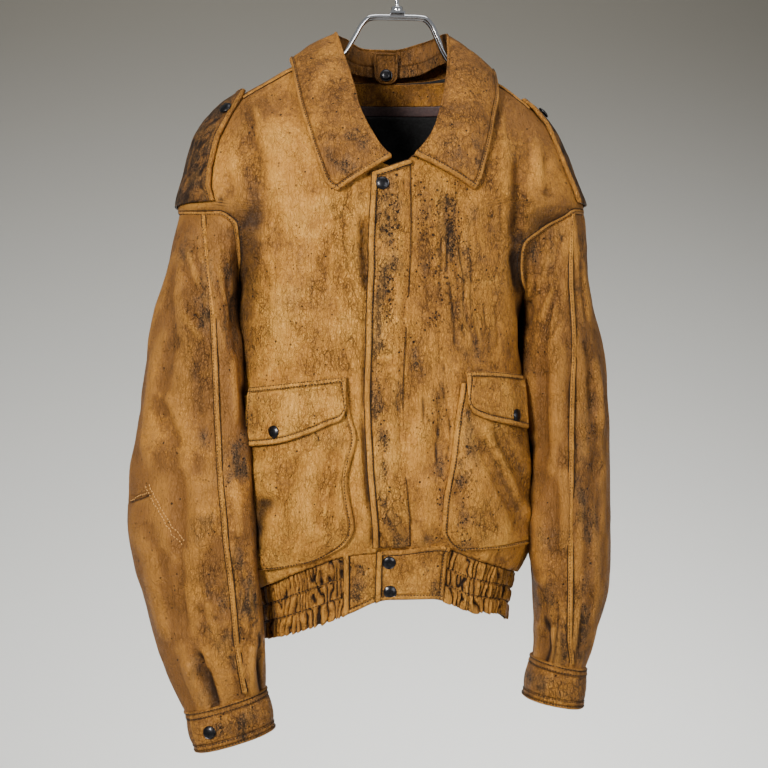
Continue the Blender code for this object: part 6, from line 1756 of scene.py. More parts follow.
def sleeve_point(side, q, t):
    """Plain sleeve surface at places q round it and t down it, as arrays."""
    table = SLEEVE_RIGHT if side == "right" else SLEEVE_LEFT
    q, t = np.broadcast_arrays(np.asarray(q, float), np.asarray(t, float))
    psi = sleeve_psi(table, q, t)
    ox, oz = sleeve_value(table, "out_x", t), sleeve_value(table, "out_z", t)
    ix, iz = sleeve_value(table, "in_x", t), sleeve_value(table, "in_z", t)
    c, s = np.cos(psi), np.sin(psi)
    ce = np.sign(c) * np.abs(c) ** 0.9
    se = np.sign(s) * np.abs(s) ** 0.9
    x = (ox + ix) / 2 + (ox - ix) / 2 * ce
    z = (oz + iz) / 2 + (oz - iz) / 2 * ce
    y = (sleeve_value(table, "mid_y", t) - sleeve_value(table, "half_y", t) * se
         + sleeve_value(table, "forward", t) * ce)
    p = np.stack([x, y, z], -1)
    phi, zz = ring_at(side, q % 16.0)
    start = torso(phi, zz)
    w = (1 - step(0.0, 0.13, t))[..., None]
    return start * w + p * (1 - w)


def sleeve_out(side, q, t):
    e, f = 0.08, 0.006
    du = sleeve_point(side, q + e, t) - sleeve_point(side, q - e, t)
    up, dn = np.clip(t + f, 0, 1), np.clip(t - f, 0, 1)
    dv = sleeve_point(side, q, up) - sleeve_point(side, q, dn)
    n = unit(np.cross(du, dv))
    here = sleeve_point(side, q, t)
    centre = (sleeve_point(side, np.zeros_like(t), t) + sleeve_point(side, np.full_like(t, 8.0), t)) / 2
    sign = np.sign(np.sum(n * (here - centre), -1).mean())
    return n * sign


def sleeve_relief(side, p, psi, t):
    rows = CREASES_SLEEVE_RIGHT if side == "right" else CREASES_SLEEVE_LEFT
    x, z = p[..., 0], p[..., 2]
    front = step(-0.25, 0.20, np.sin(psi))
    v = (2.3 * creases([r for r in rows if r[1] < 3.3], x, z) + 2.3 * creases([r for r in rows if r[1] >= 3.3], x, z)) * front
    v = v + creases(FOLDS_SLEEVE_RIGHT if side == "right" else FOLDS_SLEEVE_LEFT, x, z) * front
    v = v + creases(rows, x + (0.012 if side == "right" else -0.012), z + 0.034) * 1.2 * step(-0.25, 0.20, -np.sin(psi))
    seed = 61 if side == "right" else 71
    v = v + 2.3 * noise2(x + p[..., 1], z, 0.034, 0.070, seed) + 1.3 * noise2(x + p[..., 1], z, 0.016, 0.030, seed + 1)
    crack = spots(CRACK_SLEEVE_R if side == "right" else CRACK_SLEEVE_L, x, z, seed + 3)
    wob = 0.004 * noise2(x, z, 0.020, 0.030, seed + 4)
    v = v + (0.30 + 0.9 * crack * front) * 1.2 * (ridged(x + wob + p[..., 1], z, 0.0085, 0.022, seed + 5) - 0.62)
    fade = step(0.0, 0.05, t)
    tuck = -1.6 * np.exp(-(t / 0.012) ** 2)
    # the fabric is gathered into the cuff
    inner = np.exp(-((psi - math.pi) / 0.55) ** 2) * step(0.10, 0.17, t) * step(0.80, 0.55, t)
    v = v + inner * (3.5 if side == "right" else 2.5)
    low = step(0.86, 0.985, t)
    v = v * fade + tuck
    v = v + low * 0.9 * np.sin(psi * 9 + 2.0 * np.sin(psi * 3 + t * 9)) * step(1.0, 0.975, t)
    return v


def sleeve_panel(side, part):
    table = SLEEVE_RIGHT if side == "right" else SLEEVE_LEFT
    if part == "top":
        q = np.linspace(13.0, 18.0, 62)
    else:
        q = np.linspace(2.0, 13.0, 58)
    tt = np.linspace(0, 1, 221)
    t = tt[:, None] + 0 * q[None]
    qq = q[None] + 0 * tt[:, None]
    p = sleeve_point(side, qq, t)
    n = sleeve_out(side, qq, t)
    psi = sleeve_psi(table, qq, t)
    h = sleeve_relief(side, p, psi, t)
    # sink a little along the long seams
    d = np.minimum(qq - qq[:, :1], qq[:, -1:] - qq)
    h = h - 1.0 * np.exp(-(d / 0.10) ** 2) * step(0.0, 0.05, t)
    pts = p + n * (h / 1000.0)[..., None]
    # the end is gathered into the cuff, just inside its top edge
    rim = np.array(CUFF_RIGHT if side == "right" else CUFF_LEFT)
    ox, oz, ix, iz, my, hy = (np.interp(0.10 * (len(rim) - 1), np.arange(len(rim)), rim[:, i]) for i in range(6))
    c, s = np.cos(psi), np.sin(psi)
    ce, se = np.sign(c) * np.abs(c) ** 0.9, np.sign(s) * np.abs(s) ** 0.9
    keep = 1 - 0.0022 / max(0.001, abs(ox - ix) / 2)
    end = np.stack([(ox + ix) / 2 + (ox - ix) / 2 * ce * keep, my - (hy - 0.0022) * se,
                    (oz + iz) / 2 + (oz - iz) / 2 * ce * keep], -1)
    into = step(0.958, 0.990, t)[..., None]
    pts = pts * (1 - into) + end * into
    x, z = p[..., 0], p[..., 2]
    front = step(-0.2, 0.2, np.sin(psi))
    # painted shade down the sleeve's inner side, towards the body
    side_shade = np.exp(-((psi - math.pi) / 0.38) ** 2) * step(0.02, 0.10, t) * step(0.95, 0.75, t)
    seed = 81 if side == "right" else 91
    dark = spots(DARK_SLEEVE_R if side == "right" else DARK_SLEEVE_L, x, z, seed)
    crack = spots(CRACK_SLEEVE_R if side == "right" else CRACK_SLEEVE_L, x, z, seed + 2)
    back = np.clip(noise2(x + p[..., 1], z, 0.035, 0.055, seed + 5), 0, 1)
    c = creases([r for r in (CREASES_SLEEVE_RIGHT if side == "right" else CREASES_SLEEVE_LEFT) if r[1] < 5], x, z)
    # crease troughs darker: dirt and painted shade
    dark = np.maximum(dark, 0.25 * valley_dirt_and_shade(c, 1.0))
    # the right sleeve darker towards its top, painted shade; the left darker in its middle; crease ridges lighter,
    # rubbed wear and painted highlight
    marks = {"dark": dark * front + (1 - front) * 0.45 * back,
             "crack": crack * front + (1 - front) * 0.4, "seam": 0.75 * side_shade,
             "pits": 0.45 * dark * front,
             "edge": 0.35 * np.clip(c, 0, 1) * front,
             "tone": 0.12 * noise2(x, z, 0.05, 0.08, seed + 7) + (-0.85 - 0.75 * step(-0.60, -0.42, z) if side == "right" else -0.75 - 0.45 * step(-0.42, -0.52, z) * step(-0.80, -0.70, z))}
    if side == "right":
        # painted shade: darker left of the long fold, where the sleeve turns away
        fold = np.interp(-z, (0.56, 0.631, 0.733, 0.828, 0.876), (-0.262, -0.259, -0.255, -0.254, -0.248))
        marks["tone"] = marks["tone"] - 0.85 * step(0.002, -0.004, x - fold) * step(-0.60, -0.66, z) * front
    # painted shadow in the slits where folds close
    slit_shadow = np.clip(-creases(SLITS_SLEEVE_RIGHT if side == "right" else SLITS_SLEEVE_LEFT, x, z), 0, 1) * front
    marks = rub_in_and_shade(h, marks, 2, 3)
    marks["seam"] = np.maximum(marks["seam"], 0.95 * slit_shadow)
    pts = pts - n * (0.0016 * slit_shadow)[..., None]
    return shell("sleeve_%s_%s_skin" % (side, part), pts, n, 0.0016, (LEATHER, INSIDE), marks)


# ================================================================ laid pieces
def patch(x, z, lift):
    """Points and normals of a piece laid on the front; lift in metres."""
    phi = phi_at(x, z)
    n = torso_normal(phi, z)
    lift = np.asarray(lift, float) + 0.001 * swell(phi, z)
    return torso(phi, z) + n * np.broadcast_to(lift, phi.shape)[..., None], n


def sewn(name, base, n, thick, relief, marks, hems=(), hem_width=0.0062, hem_height=1.0,
         groove=0.7, mats=(None, None), wrap=False, edge=0.62, line=0.8):
    """A cut piece with turned and stitched hems along the named edges."""
    d = to_edges(base, hems) if hems else np.full(base.shape[:2], 1.0)
    keep = step(0.0, hem_width * 1.4, d) * 0.75 + 0.25
    h = relief * keep
    if hems:
        h = h + hem_profile(d, hem_width, hem_height, groove)
    marks = dict(marks)
    x, z = base[..., 0], base[..., 2]
    wear = 0.75 + 0.25 * noise2(x, z, 0.008, 0.008, len(name) + 7)
    marks["edge"] = np.maximum(marks.get("edge", 0), edge * wear * step(hem_width * 1.05, hem_width * 0.7, d))
    marks["seam"] = np.maximum(marks.get("seam", 0), line * np.exp(-((d - hem_width) / 0.0008) ** 2))
    marks = rub_in_and_shade(h - (hem_profile(d, hem_width, hem_height, groove) if hems else 0), marks)
    pts = base + n * (h / 1000.0)[..., None]
    return shell(name, pts, n, thick, (mats[0] or LEATHER, mats[1] or FLESH), marks, wrap)


def rough_leather(x, z, seed, big=0.9, small=0.35):
    return (big * noise2(x, z, 0.034, 0.048, seed) + small * noise2(x, z, 0.013, 0.017, seed + 1))


def fine_crease(x, z, amount, seed, sx=0.0066, sz=0.030, deep=0.55):
    wob = 0.003 * noise2(x, z, 0.016, 0.022, seed + 2)
    return amount * deep * (ridged(x + wob, z, sx, sz, seed) - 0.62)


def storm_flap():
    length, width = FLAP[0][0] - FLAP[-1][0], 0.046
    u = even(length, 0.0024, last=False)
    s = even(width, 0.0012, first=True, last=True)
    z = FLAP[0][0] - length * u
    zs = column(FLAP, FLAP_COLUMNS, "z")
    left = smooth_read(zs, column(FLAP, FLAP_COLUMNS, "left"), z)
    right = smooth_read(zs, column(FLAP, FLAP_COLUMNS, "right"), z)
    # an old edge wanders
    left = left + 0.0007 * noise2(z, 0 * z, 0.030, 1.0, 101)
    x = left[:, None] + (right - left)[:, None] * s
    zz = np.repeat(z[:, None], len(s), 1)
    # the flap's top edge slopes with the neck
    zz = zz + 0.0150 * s[None] * np.clip(1 - u[:, None] / 0.12, 0, 1)
    base, n = patch(x, zz, 0.0046)
    h = 1.5 * creases(CREASES_STORM_FLAP, x, zz) + rough_leather(x, zz, 103, 1.0, 0.6)
    crack = spots(CRACK_FLAP, x, zz, 105)
    h = h + fine_crease(x, zz, 0.25 + 0.9 * crack, 107, 0.0058, 0.020, 0.6)
    # two faint old seams across
    marks = {"dark": spots(DARK_FLAP, x, zz, 109), "pits": spots(PITS_FLAP, x, zz, 111),
             "crack": np.maximum(crack, 0.25), "tone": -0.15 + 0.45 * step(-0.50, -0.60, zz)}
    for za, zb in ((-0.4960, -0.4945), (-0.5118, -0.5105)):
        t = (x - left[:, None]) / 0.05
        line = za + (zb - za) * t
        g = np.exp(-((zz - line) / 0.0009) ** 2)
        h = h - 0.5 * g
        marks["seam"] = np.maximum(marks.get("seam", 0), 0.35 * g)
    # the right edge is sewn down: sink to the front panel
    _, d_right = arcs(base)
    h = h - 3.4 * step(0.012, 0.0, d_right)
    marks["seam"] = np.maximum(marks["seam"], 0.80 * np.exp(-((d_right - 0.0006) / 0.0010) ** 2))
    sewn("flap_storm", base, n, 0.0024, h, marks, ("first", "top"), 0.0060, 1.3)


HOLLOW_BAG_RIGHT = (-1.0, 9.0, "soft", ((-145, -652), (-153, -668), (-158, -688), (-160, -710), (-159, -738)))
HOLLOW_BAG_LEFT = (-1.0, 4.0, "soft", ((74, -574), (89, -600), (105, -631), (125, -669), (142, -702)))


def pocket_bag(side):
    table = BAG_RIGHT if side == "right" else BAG_LEFT
    k = np.arange(len(table), dtype=float)
    height = table[0][1] - table[-1][1]
    width = 0.098
    u = even(abs(height), 0.0028, first=False, last=True)
    s = even(width, 0.0021)
    f = u * (len(table) - 1)
    # rows keep to the table's own heights
    zcol = column(table, POCKET_COLUMNS, "left_z")
    f = np.interp(-(zcol[0] + (zcol[-1] - zcol[0]) * u), -zcol, k)
    lx, lz, rx, rz = (smooth_read(k, column(table, POCKET_COLUMNS, c), f) for c in POCKET_COLUMNS)
    lx = lx - (0.0075 if side == "right" else 0.0)
    rx = rx + (0.0 if side == "right" else 0.004)
    x = lx[:, None] + (rx - lx)[:, None] * s
    z = lz[:, None] + (rz - lz)[:, None] * s
    full = 0.0040 * np.sin(math.pi * s)[None] ** 0.6 * np.sin(math.pi * np.clip(u, 0, 1) ** 0.8)[:, None] ** 0.6
    base, n = patch(x, z, 0.0036 + full)
    rows = CREASES_BAG_RIGHT if side == "right" else CREASES_BAG_LEFT
    seed = 121 if side == "right" else 131
    crack = spots(CRACK_BAG_R if side == "right" else CRACK_BAG_L, x, z, seed)
    h = 1.5 * creases(rows, x, z) + rough_leather(x, z, seed + 2, 1.6, 0.8)
    h = h + fine_crease(x, z, 0.5 + 1.5 * crack, seed + 4, 0.0075, 0.026)
    # a hollow on each bag with painted shade in it, stronger on the right bag
    well_shade = creases([HOLLOW_BAG_RIGHT if side == "right" else HOLLOW_BAG_LEFT], x, z)
    h = h + (0.7 if side == "right" else 3.2) * well_shade
    marks = {"seam": (0.80 if side == "right" else 0.35) * np.clip(-well_shade, 0, 1) ** 1.5,
             "dark": spots(DARK_BAG_R if side == "right" else DARK_BAG_L, x, z, seed + 6),
             "crack": np.maximum(crack, 0.25), "tone": 0.25 if side == "right" else 0.0,
             "pits": 0.12 if side == "right" else spots(PITS_BAG_L, x, z, seed + 8)}
    hems = ("last", "bottom") if side == "right" else ("first", "bottom")
    sewn("bag_" + side, base, n, 0.0022, h, marks, hems, 0.0062, 0.9)


def pocket_flap(side):
    table = POCKET_FLAP_RIGHT if side == "right" else POCKET_FLAP_LEFT
    xs = column(table, POCKET_FLAP_COLUMNS, "x")
    s = even(xs[-1] - xs[0], 0.0017)
    x = xs[0] + (xs[-1] - xs[0]) * s
    top = smooth_read(xs, column(table, POCKET_FLAP_COLUMNS, "top"), x)
    bottom = smooth_read(xs, column(table, POCKET_FLAP_COLUMNS, "bottom"), x)
    # rounded lower corners
    for end in ((0.0, 1.0) if side == "right" else (0.0,)):
        r = 0.007
        d = np.clip(1 - np.abs(s - end) * (xs[-1] - xs[0]) / r, 0, 1)
        bottom = bottom + r * (1 - np.sqrt(1 - d ** 2)) * 0.8
    u = even(0.060, 0.0017)
    xx = np.repeat(x[None], len(u), 0)
    z = top[None] + (bottom - top)[None] * u[:, None]
    lift = np.interp(u, [0, 0.18, 0.5, 1], [0.0058, 0.0095, 0.0112, 0.0128])[:, None] + 0 * z
    base, n = patch(xx, z, lift)
    rows = CREASES_POCKET_FLAP_RIGHT if side == "right" else CREASES_POCKET_FLAP_LEFT
    seed = 141 if side == "right" else 151
    h = 1.4 * creases(rows, xx, z) + rough_leather(xx, z, seed, 1.0, 0.5)
    h = h + fine_crease(xx, z, 0.5, seed + 2, 0.009, 0.012)
    marks = {"dark": spots(DARK_PF_R if side == "right" else DARK_PF_L, xx, z, seed + 4),
             "tone": 0.62 if side == "right" else 0.12, "crack": 0.25, "pits": 0.12}
    sewn("pocket_flap_" + side + "_skin", base, n, 0.0026, h, marks,
         ("first", "last", "bottom", "top"), 0.0066, 1.0)


def epaulette(side):
    table = EPAULETTE_RIGHT if side == "right" else EPAULETTE_LEFT
    zs = column(table, EPAULETTE_COLUMNS, "z")
    length = zs[0] - zs[-1]
    u = even(length, 0.0026, last=False)
    z = zs[0] - length * u
    behind = np.radians(np.interp(-z, -zs, column(table, EPAULETTE_COLUMNS, "behind")))
    front_x = np.interp(-z, -zs, column(table, EPAULETTE_COLUMNS, "front_x"))
    front = phi_at(front_x, z)
    s = even(0.046, 0.0017)
    phi = behind[:, None] + (front - behind)[:, None] * s
    zz = np.repeat(z[:, None], len(s), 1)
    n = torso_normal(phi, zz)
    base = torso(phi, zz) + n * 0.0056
    x = base[..., 0]
    seed = 161 if side == "right" else 171
    h = rough_leather(x + base[..., 1], zz, seed, 1.0, 0.5)
    h = h + fine_crease(x, zz, 0.6, seed + 2, 0.009, 0.010, 0.7)
    dark = spots(DARK_EP_R if side == "right" else DARK_EP_L, x, zz, seed + 4)
    d = to_edges(base, ("first", "last", "top"))
    dark = np.maximum(dark, 0.90 * step(0.006, 0.013, d))
    dark = dark * step(0.0045, 0.0085, d)
    marks = {"dark": dark, "pits": 0.45 * dark, "crack": 0.9, "tone": -0.35 - 1.3 * step(0.006, 0.010, d),
             "seam": np.clip(0.25 + 0.9 * noise2(base[..., 1], zz, 0.0042, 0.0055, seed + 9), 0, 0.9) * step(0.006, 0.010, d)}
    sewn("epaulette_" + side + "_skin", base, n, 0.0026, h, marks,
         ("first", "last", "top"), 0.0062, 1.1)


# ================================================================== waistband
STITCH_ROWS = (0.0, 0.37, 0.68)


def waist_part(name, start, end, gathered, mats=(None, None)):
    span = abs(math.radians(end - start))
    length = np.interp(math.radians(max(start, end)), ROUND, ROUND_S) - np.interp(math.radians(min(start, end)), ROUND, ROUND_S)
    cols = int(length / (0.0019 if name == "waist_back" else 0.00105 if gathered else 0.0013))
    phi = np.radians(np.linspace(start, end, cols))
    seam, hem = waist("seam", phi), waist("hem", phi)
    if name == "waist_back":
        hem = hem + 0.0055 * np.exp(-((phi - math.pi / 2) / 0.9) ** 2)
    f = np.concatenate([[-0.07, -0.035], np.linspace(0, 1, 46 if gathered else 44)])
    rows = len(f)
    P, F = np.meshgrid(phi, f)
    drop = 0.0
    z = (seam - 0.0010)[None] * (1 - F) + hem[None] * F
    n = torso_normal(P, z)
    base = torso(P, z)
    x = base[..., 0]
    edge_fade = np.minimum(np.linspace(0, 1, cols), np.linspace(1, 0, cols)) * length
    edge_fade = step(0.0, 0.004, edge_fade)[None]
    marks = {"dark": spots(DARK_WAIST, x, z, 187) * (base[..., 1] < 0), "pits": 0.10, "tone": -0.05}
    if gathered:
        band = step(0.34, 0.40, F) + step(0.65, 0.71, F)
        g = gather(P, z, 0, band)
        pinch = sum(0.62 * np.exp(-((F - r) / 0.036) ** 2) for r in STITCH_ROWS)
        h = (g - 0.60) * 6.6 * (1 - pinch) * edge_fade + 0.8 * np.sin(math.pi * np.clip(F / 0.37, 0, 1)) \
            + 0.6 * np.sin(math.pi * np.clip((F - 0.37) / 0.31, 0, 1)) + 0.9 * np.sin(math.pi * np.clip((F - 0.68) / 0.5, 0, 1))
        h = h - 0.7 * sum(np.exp(-((F - r) / 0.028) ** 2) for r in STITCH_ROWS[1:])
        h = h + 0.35 * noise2(x + base[..., 1], z, 0.006, 0.006, 189)
        # painted shade in the gathers' valleys; their ridges lighter, rubbed wear and painted highlight
        valley_shade = step(0.50, 0.10, g)
        marks["edge"] = 0.70 * step(0.65, 1.0, g) * (0.6 + 0.4 * noise2(x, z, 0.006, 0.008, 191))
        marks["dark"] = np.maximum(marks["dark"], 0.85 * valley_shade)
        marks["crack"] = 0.5
        h = h - 2.6 * step(0.035, -0.04, F)
        z2 = -0.0034 * (g - 0.5) * step(0.75, 1.0, F)
        base = base + np.stack([0 * z2, 0 * z2, z2], -1)
        marks["seam"] = 0.35 * sum(np.exp(-((F - r) / 0.013) ** 2) for r in STITCH_ROWS[1:]) + 0.8 * np.exp(-(F / 0.02) ** 2)
        # painted shade: the gathers' valleys near black
        marks["seam"] = np.clip(marks["seam"] + 0.95 * step(0.36, 0.10, g), 0, 1)
        marks["tone"] = -0.25
        pts = base + n * ((h + 0.3) / 1000.0)[..., None]
        marks = rub_in_and_shade(h, marks, 3, 3)
        return shell(name, pts, n, 0.0020, (mats[0] or LEATHER, mats[1] or FLESH), marks)
    h = rough_leather(x, z, 193, 0.6, 0.4)
    h = h + fine_crease(x, z, 0.3, 195, 0.008, 0.010) - (2.6 * step(0.035, -0.04, F) if "tab" not in name else 0)
    marks["crack"] = 0.3
    hems = ("first", "last", "bottom", "top") if "tab" in name else ("first", "bottom")
    if "tab" in name:
        base = base + n * 0.0026
    return sewn(name, base, n, 0.0026, h, marks, hems, 0.0062, 0.9, mats=mats)


# ====================================================================== cuffs
def cuff(side):
    table = np.array(CUFF_RIGHT if side == "right" else CUFF_LEFT)
    k = np.arange(len(table), dtype=float)
    height = float(np.linalg.norm(table[0, :2] - table[-1, :2]))
    u = even(height, 0.0012)
    psi = np.linspace(0, 2 * math.pi, 150, endpoint=False)
    v = [smooth_read(k, table[:, i], u * (len(table) - 1)) for i in range(6)]
    ox, oz, ix, iz, my, hy = (a[:, None] for a in v)
    c, s = np.cos(psi)[None], np.sin(psi)[None]
    ce, se = np.sign(c) * np.abs(c) ** 0.9, np.sign(s) * np.abs(s) ** 0.9
    base = np.stack([(ox + ix) / 2 + (ox - ix) / 2 * ce, my - hy * se,
                     (oz + iz) / 2 + (oz - iz) / 2 * ce], -1)
    du = np.roll(base, -1, 1) - np.roll(base, 1, 1)
    dv = np.gradient(base, axis=0)
    n = unit(np.cross(du, dv))
    if np.sum(n * (base - base.mean((0, 1)))) < 0:
        n = -n
    x, z = base[..., 0], base[..., 2]
    seed = 201 if side == "right" else 211
    h = rough_leather(x + base[..., 1], z, seed, 0.9, 0.45) + fine_crease(x + base[..., 1], z, 0.5, seed + 2, 0.010, 0.009)
    # a bulge between two flat bands
    h = h + 1.2 * np.sin(math.pi * np.clip((u - 0.22) / 0.56, 0, 1))[:, None] - 0.2
    # the overlap beside the snap
    at = math.radians(30.0 if side == "right" else 332.0)
    lap = np.mod(psi - at + math.pi, 2 * math.pi) - math.pi
    h = h + 1.8 * step(-0.02, 0.02, lap)[None] * step(1.3, 0.5, lap)[None]
    d = to_edges(base, ("top", "bottom"))
    marks = {"dark": spots(DARK_CUFF_R if side == "right" else DARK_CUFF_L, x, z, seed + 4),
             "pits": 0.25, "crack": 0.5, "tone": -0.70,
             "seam": 0.75 * np.exp(-(lap / 0.02) ** 2)[None] + 0 * x}
    band = np.exp(-((d - 0.0098) / 0.0009) ** 2)
    h = h - 0.7 * band
    marks["seam"] = np.maximum(marks["seam"], 0.6 * band)
    sewn("cuff_%s_skin" % side, base, n, 0.0026, h, marks, ("top", "bottom"), 0.0036, 0.7,
         wrap=True, edge=0.45)


# ===================================================================== collar
def surface_y(x, z, side):
    return float(torso(phi_at(x, z, back=side > 0), np.asarray(z, float))[..., 1])


def collar_base(u, v):
    sections = []
    for fx, fy, fz, ex, ez, side, lift, bulge in COLLAR:
        y = 0.004 if side == SIDE_LINE else surface_y(ex, ez, side) + side * lift
        sections.append(((fx, fy, fz), (ex, y, ez), bulge))
    k = np.arange(len(sections), dtype=float)
    fold = np.stack([smooth_read(k, [s[0][i] for s in sections], u) for i in range(3)], -1)
    edge = np.stack([smooth_read(k, [s[1][i] for s in sections], u) for i in range(3)], -1)
    bulge = smooth_read(k, [s[2] for s in sections], u)
    across = unit(edge - fold)
    along = np.gradient(fold + edge, u, axis=0)
    n = unit(np.cross(along, across))
    centre = np.array([0.0, 0.0, -0.30])
    n = np.where((np.sum(n * ((fold + edge) / 2 - centre), -1) < 0)[:, None], -n, n)
    pts = np.array([fold * (1 - f) + edge * f + n * (bulge * 4 * f * (1 - f))[:, None] for f in v])
    du, dv = np.gradient(pts, axis=1), np.gradient(pts, axis=0)
    nrm = unit(np.cross(du, dv))
    nrm = np.where((np.sum(nrm * n[None], -1) < 0)[..., None], -nrm, nrm)
    return pts, nrm, n, fold


def collar():
    u = np.concatenate([even(1.0, 1.0)[:0], np.interp(even(0.62, 0.0034), [0, 1], [0, 18])])
    v = even(0.068, 0.0016, first=False)
    pts, nrm, n, fold = collar_base(u, v)
    x, z = pts[..., 0], pts[..., 2]
    front = step(0.0, -0.03, pts[..., 1])
    h = (creases(CREASES_COLLAR_RIGHT, x, z) * (x < 0) + creases(CREASES_COLLAR_LEFT, x, z) * (x >= 0)) * front
    h = 1.3 * h + rough_leather(x + 0.6 * pts[..., 1], z, 221, 1.3, 0.7)
    h = h + fine_crease(x, z, 0.7, 223, 0.010, 0.014)
    dark = np.where(x < 0, spots(DARK_COLLAR_R, x, z, 225), spots(DARK_COLLAR_L, x, z, 227)) * front
    d = to_edges(pts, ("first", "last", "bottom"))
    w = 0.0068
    h = h * (0.3 + 0.7 * step(0, w, d)) + hem_profile(d, w, 1.5, 0.8)
    marks = {"dark": dark, "pits": 0.15, "crack": 0.35, "tone": np.where(x < 0, -0.62, -0.55),
             "edge": 0.60 * step(w * 1.05, w * 0.7, d), "seam": 0.8 * np.exp(-((d - w) / 0.0008) ** 2)}
    pts = pts + nrm * (h / 1000.0)[..., None]
    # the roll over the fold, to the stand's top
    inward = unit(np.stack([0.0 - fold[:, 0], -0.02 - fold[:, 1], np.zeros(len(u))], -1))
    up = np.array([0.0, 0.0, 1.0])
    first, m0 = pts[0], nrm[0]
    r = 0.0017
    roll, rolln = [], []
    for a in np.radians([180, 150, 120, 90, 60, 30]):
        dirn = -inward * math.cos(a) * 1.0 + up * math.sin(a)
        roll.append(first + inward * r + dirn * r + up * 0.0002)
        rolln.append(unit(dirn))
    pts = np.concatenate([np.array(roll), pts])
    nrm = np.concatenate([np.array(rolln), nrm])
    k = len(roll)
    full = {key: np.concatenate([np.repeat(np.broadcast_to(np.asarray(val, float), x.shape)[:1], k, 0),
                                 np.broadcast_to(np.asarray(val, float), x.shape)]) for key, val in marks.items()}
    # the underside takes the leather darkened as painted shade
    shell("collar_fall_skin", pts, nrm, 0.0022, (LEATHER, LEATHER_SHADED), full)
    # the stand, its inner face towards the neck
    f = even(0.040, 0.0018, fine=0.003, fine_pitch=0.001)
    top = fold + inward * 0.0034 + np.array([0, 0, -0.0018])
    us = column(NECK_SEAM, NECK_SEAM_COLUMNS, "u")
    base = np.stack([smooth_read(us, column(NECK_SEAM, NECK_SEAM_COLUMNS, c), u) for c in ("x", "y", "z")], -1)
    rows = np.array([top * (1 - g) + base * g + inward * (0.0008 * 4 * g * (1 - g)) for g in f])
    inn = np.broadcast_to(inward[None], rows.shape)
    sx = np.interp(u, [0, 18], [0, 0.62])[None] + 0 * rows[..., 0]
    zz = rows[..., 2]
    h = 0.9 * noise2(sx, zz, 0.020, 0.022, 231) + 0.5 * (ridged(sx, zz, 0.012, 0.040, 233) - 0.6)
    g2 = np.exp(-((f - 0.60) / 0.03) ** 2)[:, None]
    h = h - 1.0 * g2
    rows = rows + inn * (h / 1000.0)[..., None]
    # painted shade inside the neck: the stand made much darker
    marks = {"tone": -1.1, "dark": 0.30 + 0.25 * noise2(sx, zz, 0.02, 0.02, 235), "crack": 0.5,
             "seam": 0.6 * g2 + 0 * sx}
    keep = slice(3, -3)
    shell("collar_stand_skin", rows[:, keep], inn[:, keep], 0.0016, (LEATHER_SHADED, LEATHER),
          {a: np.broadcast_to(np.asarray(b, float), sx.shape)[:, keep] for a, b in marks.items()})


# ===================================================================== inside
def facing_top(phi):
    return -0.1490 - 0.0015 * np.sin(phi) ** 2


def inside(name, phi0, phi1, drop, depth, out, thick, mats, rows, cols, rough, marks=None):
    phi = np.radians(np.linspace(phi0, phi1, cols))
    f = np.linspace(0, 1, rows)
    P, F = np.meshgrid(phi, f)
    z = facing_top(P) - drop - depth * F
    n = torso_normal(P, z)
    base = torso(P, z) - n * (0.0018 + out)
    x = base[..., 0]
    h = rough * (noise2(x, z, 0.022, 0.026, len(name)) + 0.4 * noise2(x, z, 0.008, 0.010, len(name) + 1))
    face = base - n * (h / 1000.0 + 0.0)[..., None]
    return shell(name, face, -n, thick, mats, marks)


def hang_tab():
    f = np.linspace(0, 1, 60)
    w = np.interp(f, [0, 0.05, 0.14, 0.5, 0.80, 0.92, 1.0], [0.0125, 0.0140, 0.0150, 0.0152, 0.0146, 0.0115, 0.0060])
    s = np.linspace(-1, 1, 40)
    x = w[:, None] * s[None] - 0.0070
    z = (-0.1130 + (-0.1520 + 0.1130) * f)[:, None] + 0 * x
    y = (0.0755 - 0.0015 * f)[:, None] - 0.06 * (x + 0.007) ** 2 / 0.01 - 0.0020
    base = np.stack([x, y, z], -1)
    n = np.broadcast_to(np.array([0.0, -1.0, 0.0]), base.shape)
    h = 0.5 * noise2(x, z, 0.012, 0.012, 241)
    # painted shade inside the back of the neck: darker tone on the shaded leather
    sewn("neck_tab_skin", base, n, 0.0018, h, {"dark": 0.3, "tone": -0.9, "crack": 0.3},
         ("first", "last", "top", "bottom"), 0.0030, 0.4, mats=(LEATHER_SHADED, FLESH), edge=0.10, line=0.5)


# ================================================================ snaps, wire
def snap_cap(name, point, normal, mat=None):
    r = SNAP_RADIUS
    profile = [(0.0, -0.0006), (r * 0.90, -0.0004), (r * 0.985, 0.0002), (r, 0.0009),
               (r * 0.985, 0.0014), (r * 0.94, 0.00175), (r * 0.90, 0.0017), (r * 0.87, 0.0015),
               (r * 0.83, 0.00165), (r * 0.70, 0.0024), (r * 0.50, 0.00290), (r * 0.25, 0.00315),
               (0.0, SNAP_HEIGHT)]
    return lathe(name, np.asarray(point) + unit(np.asarray(normal, float)) * 0.0003, normal, profile,
                 mat or SNAP_DULL, sides=36)


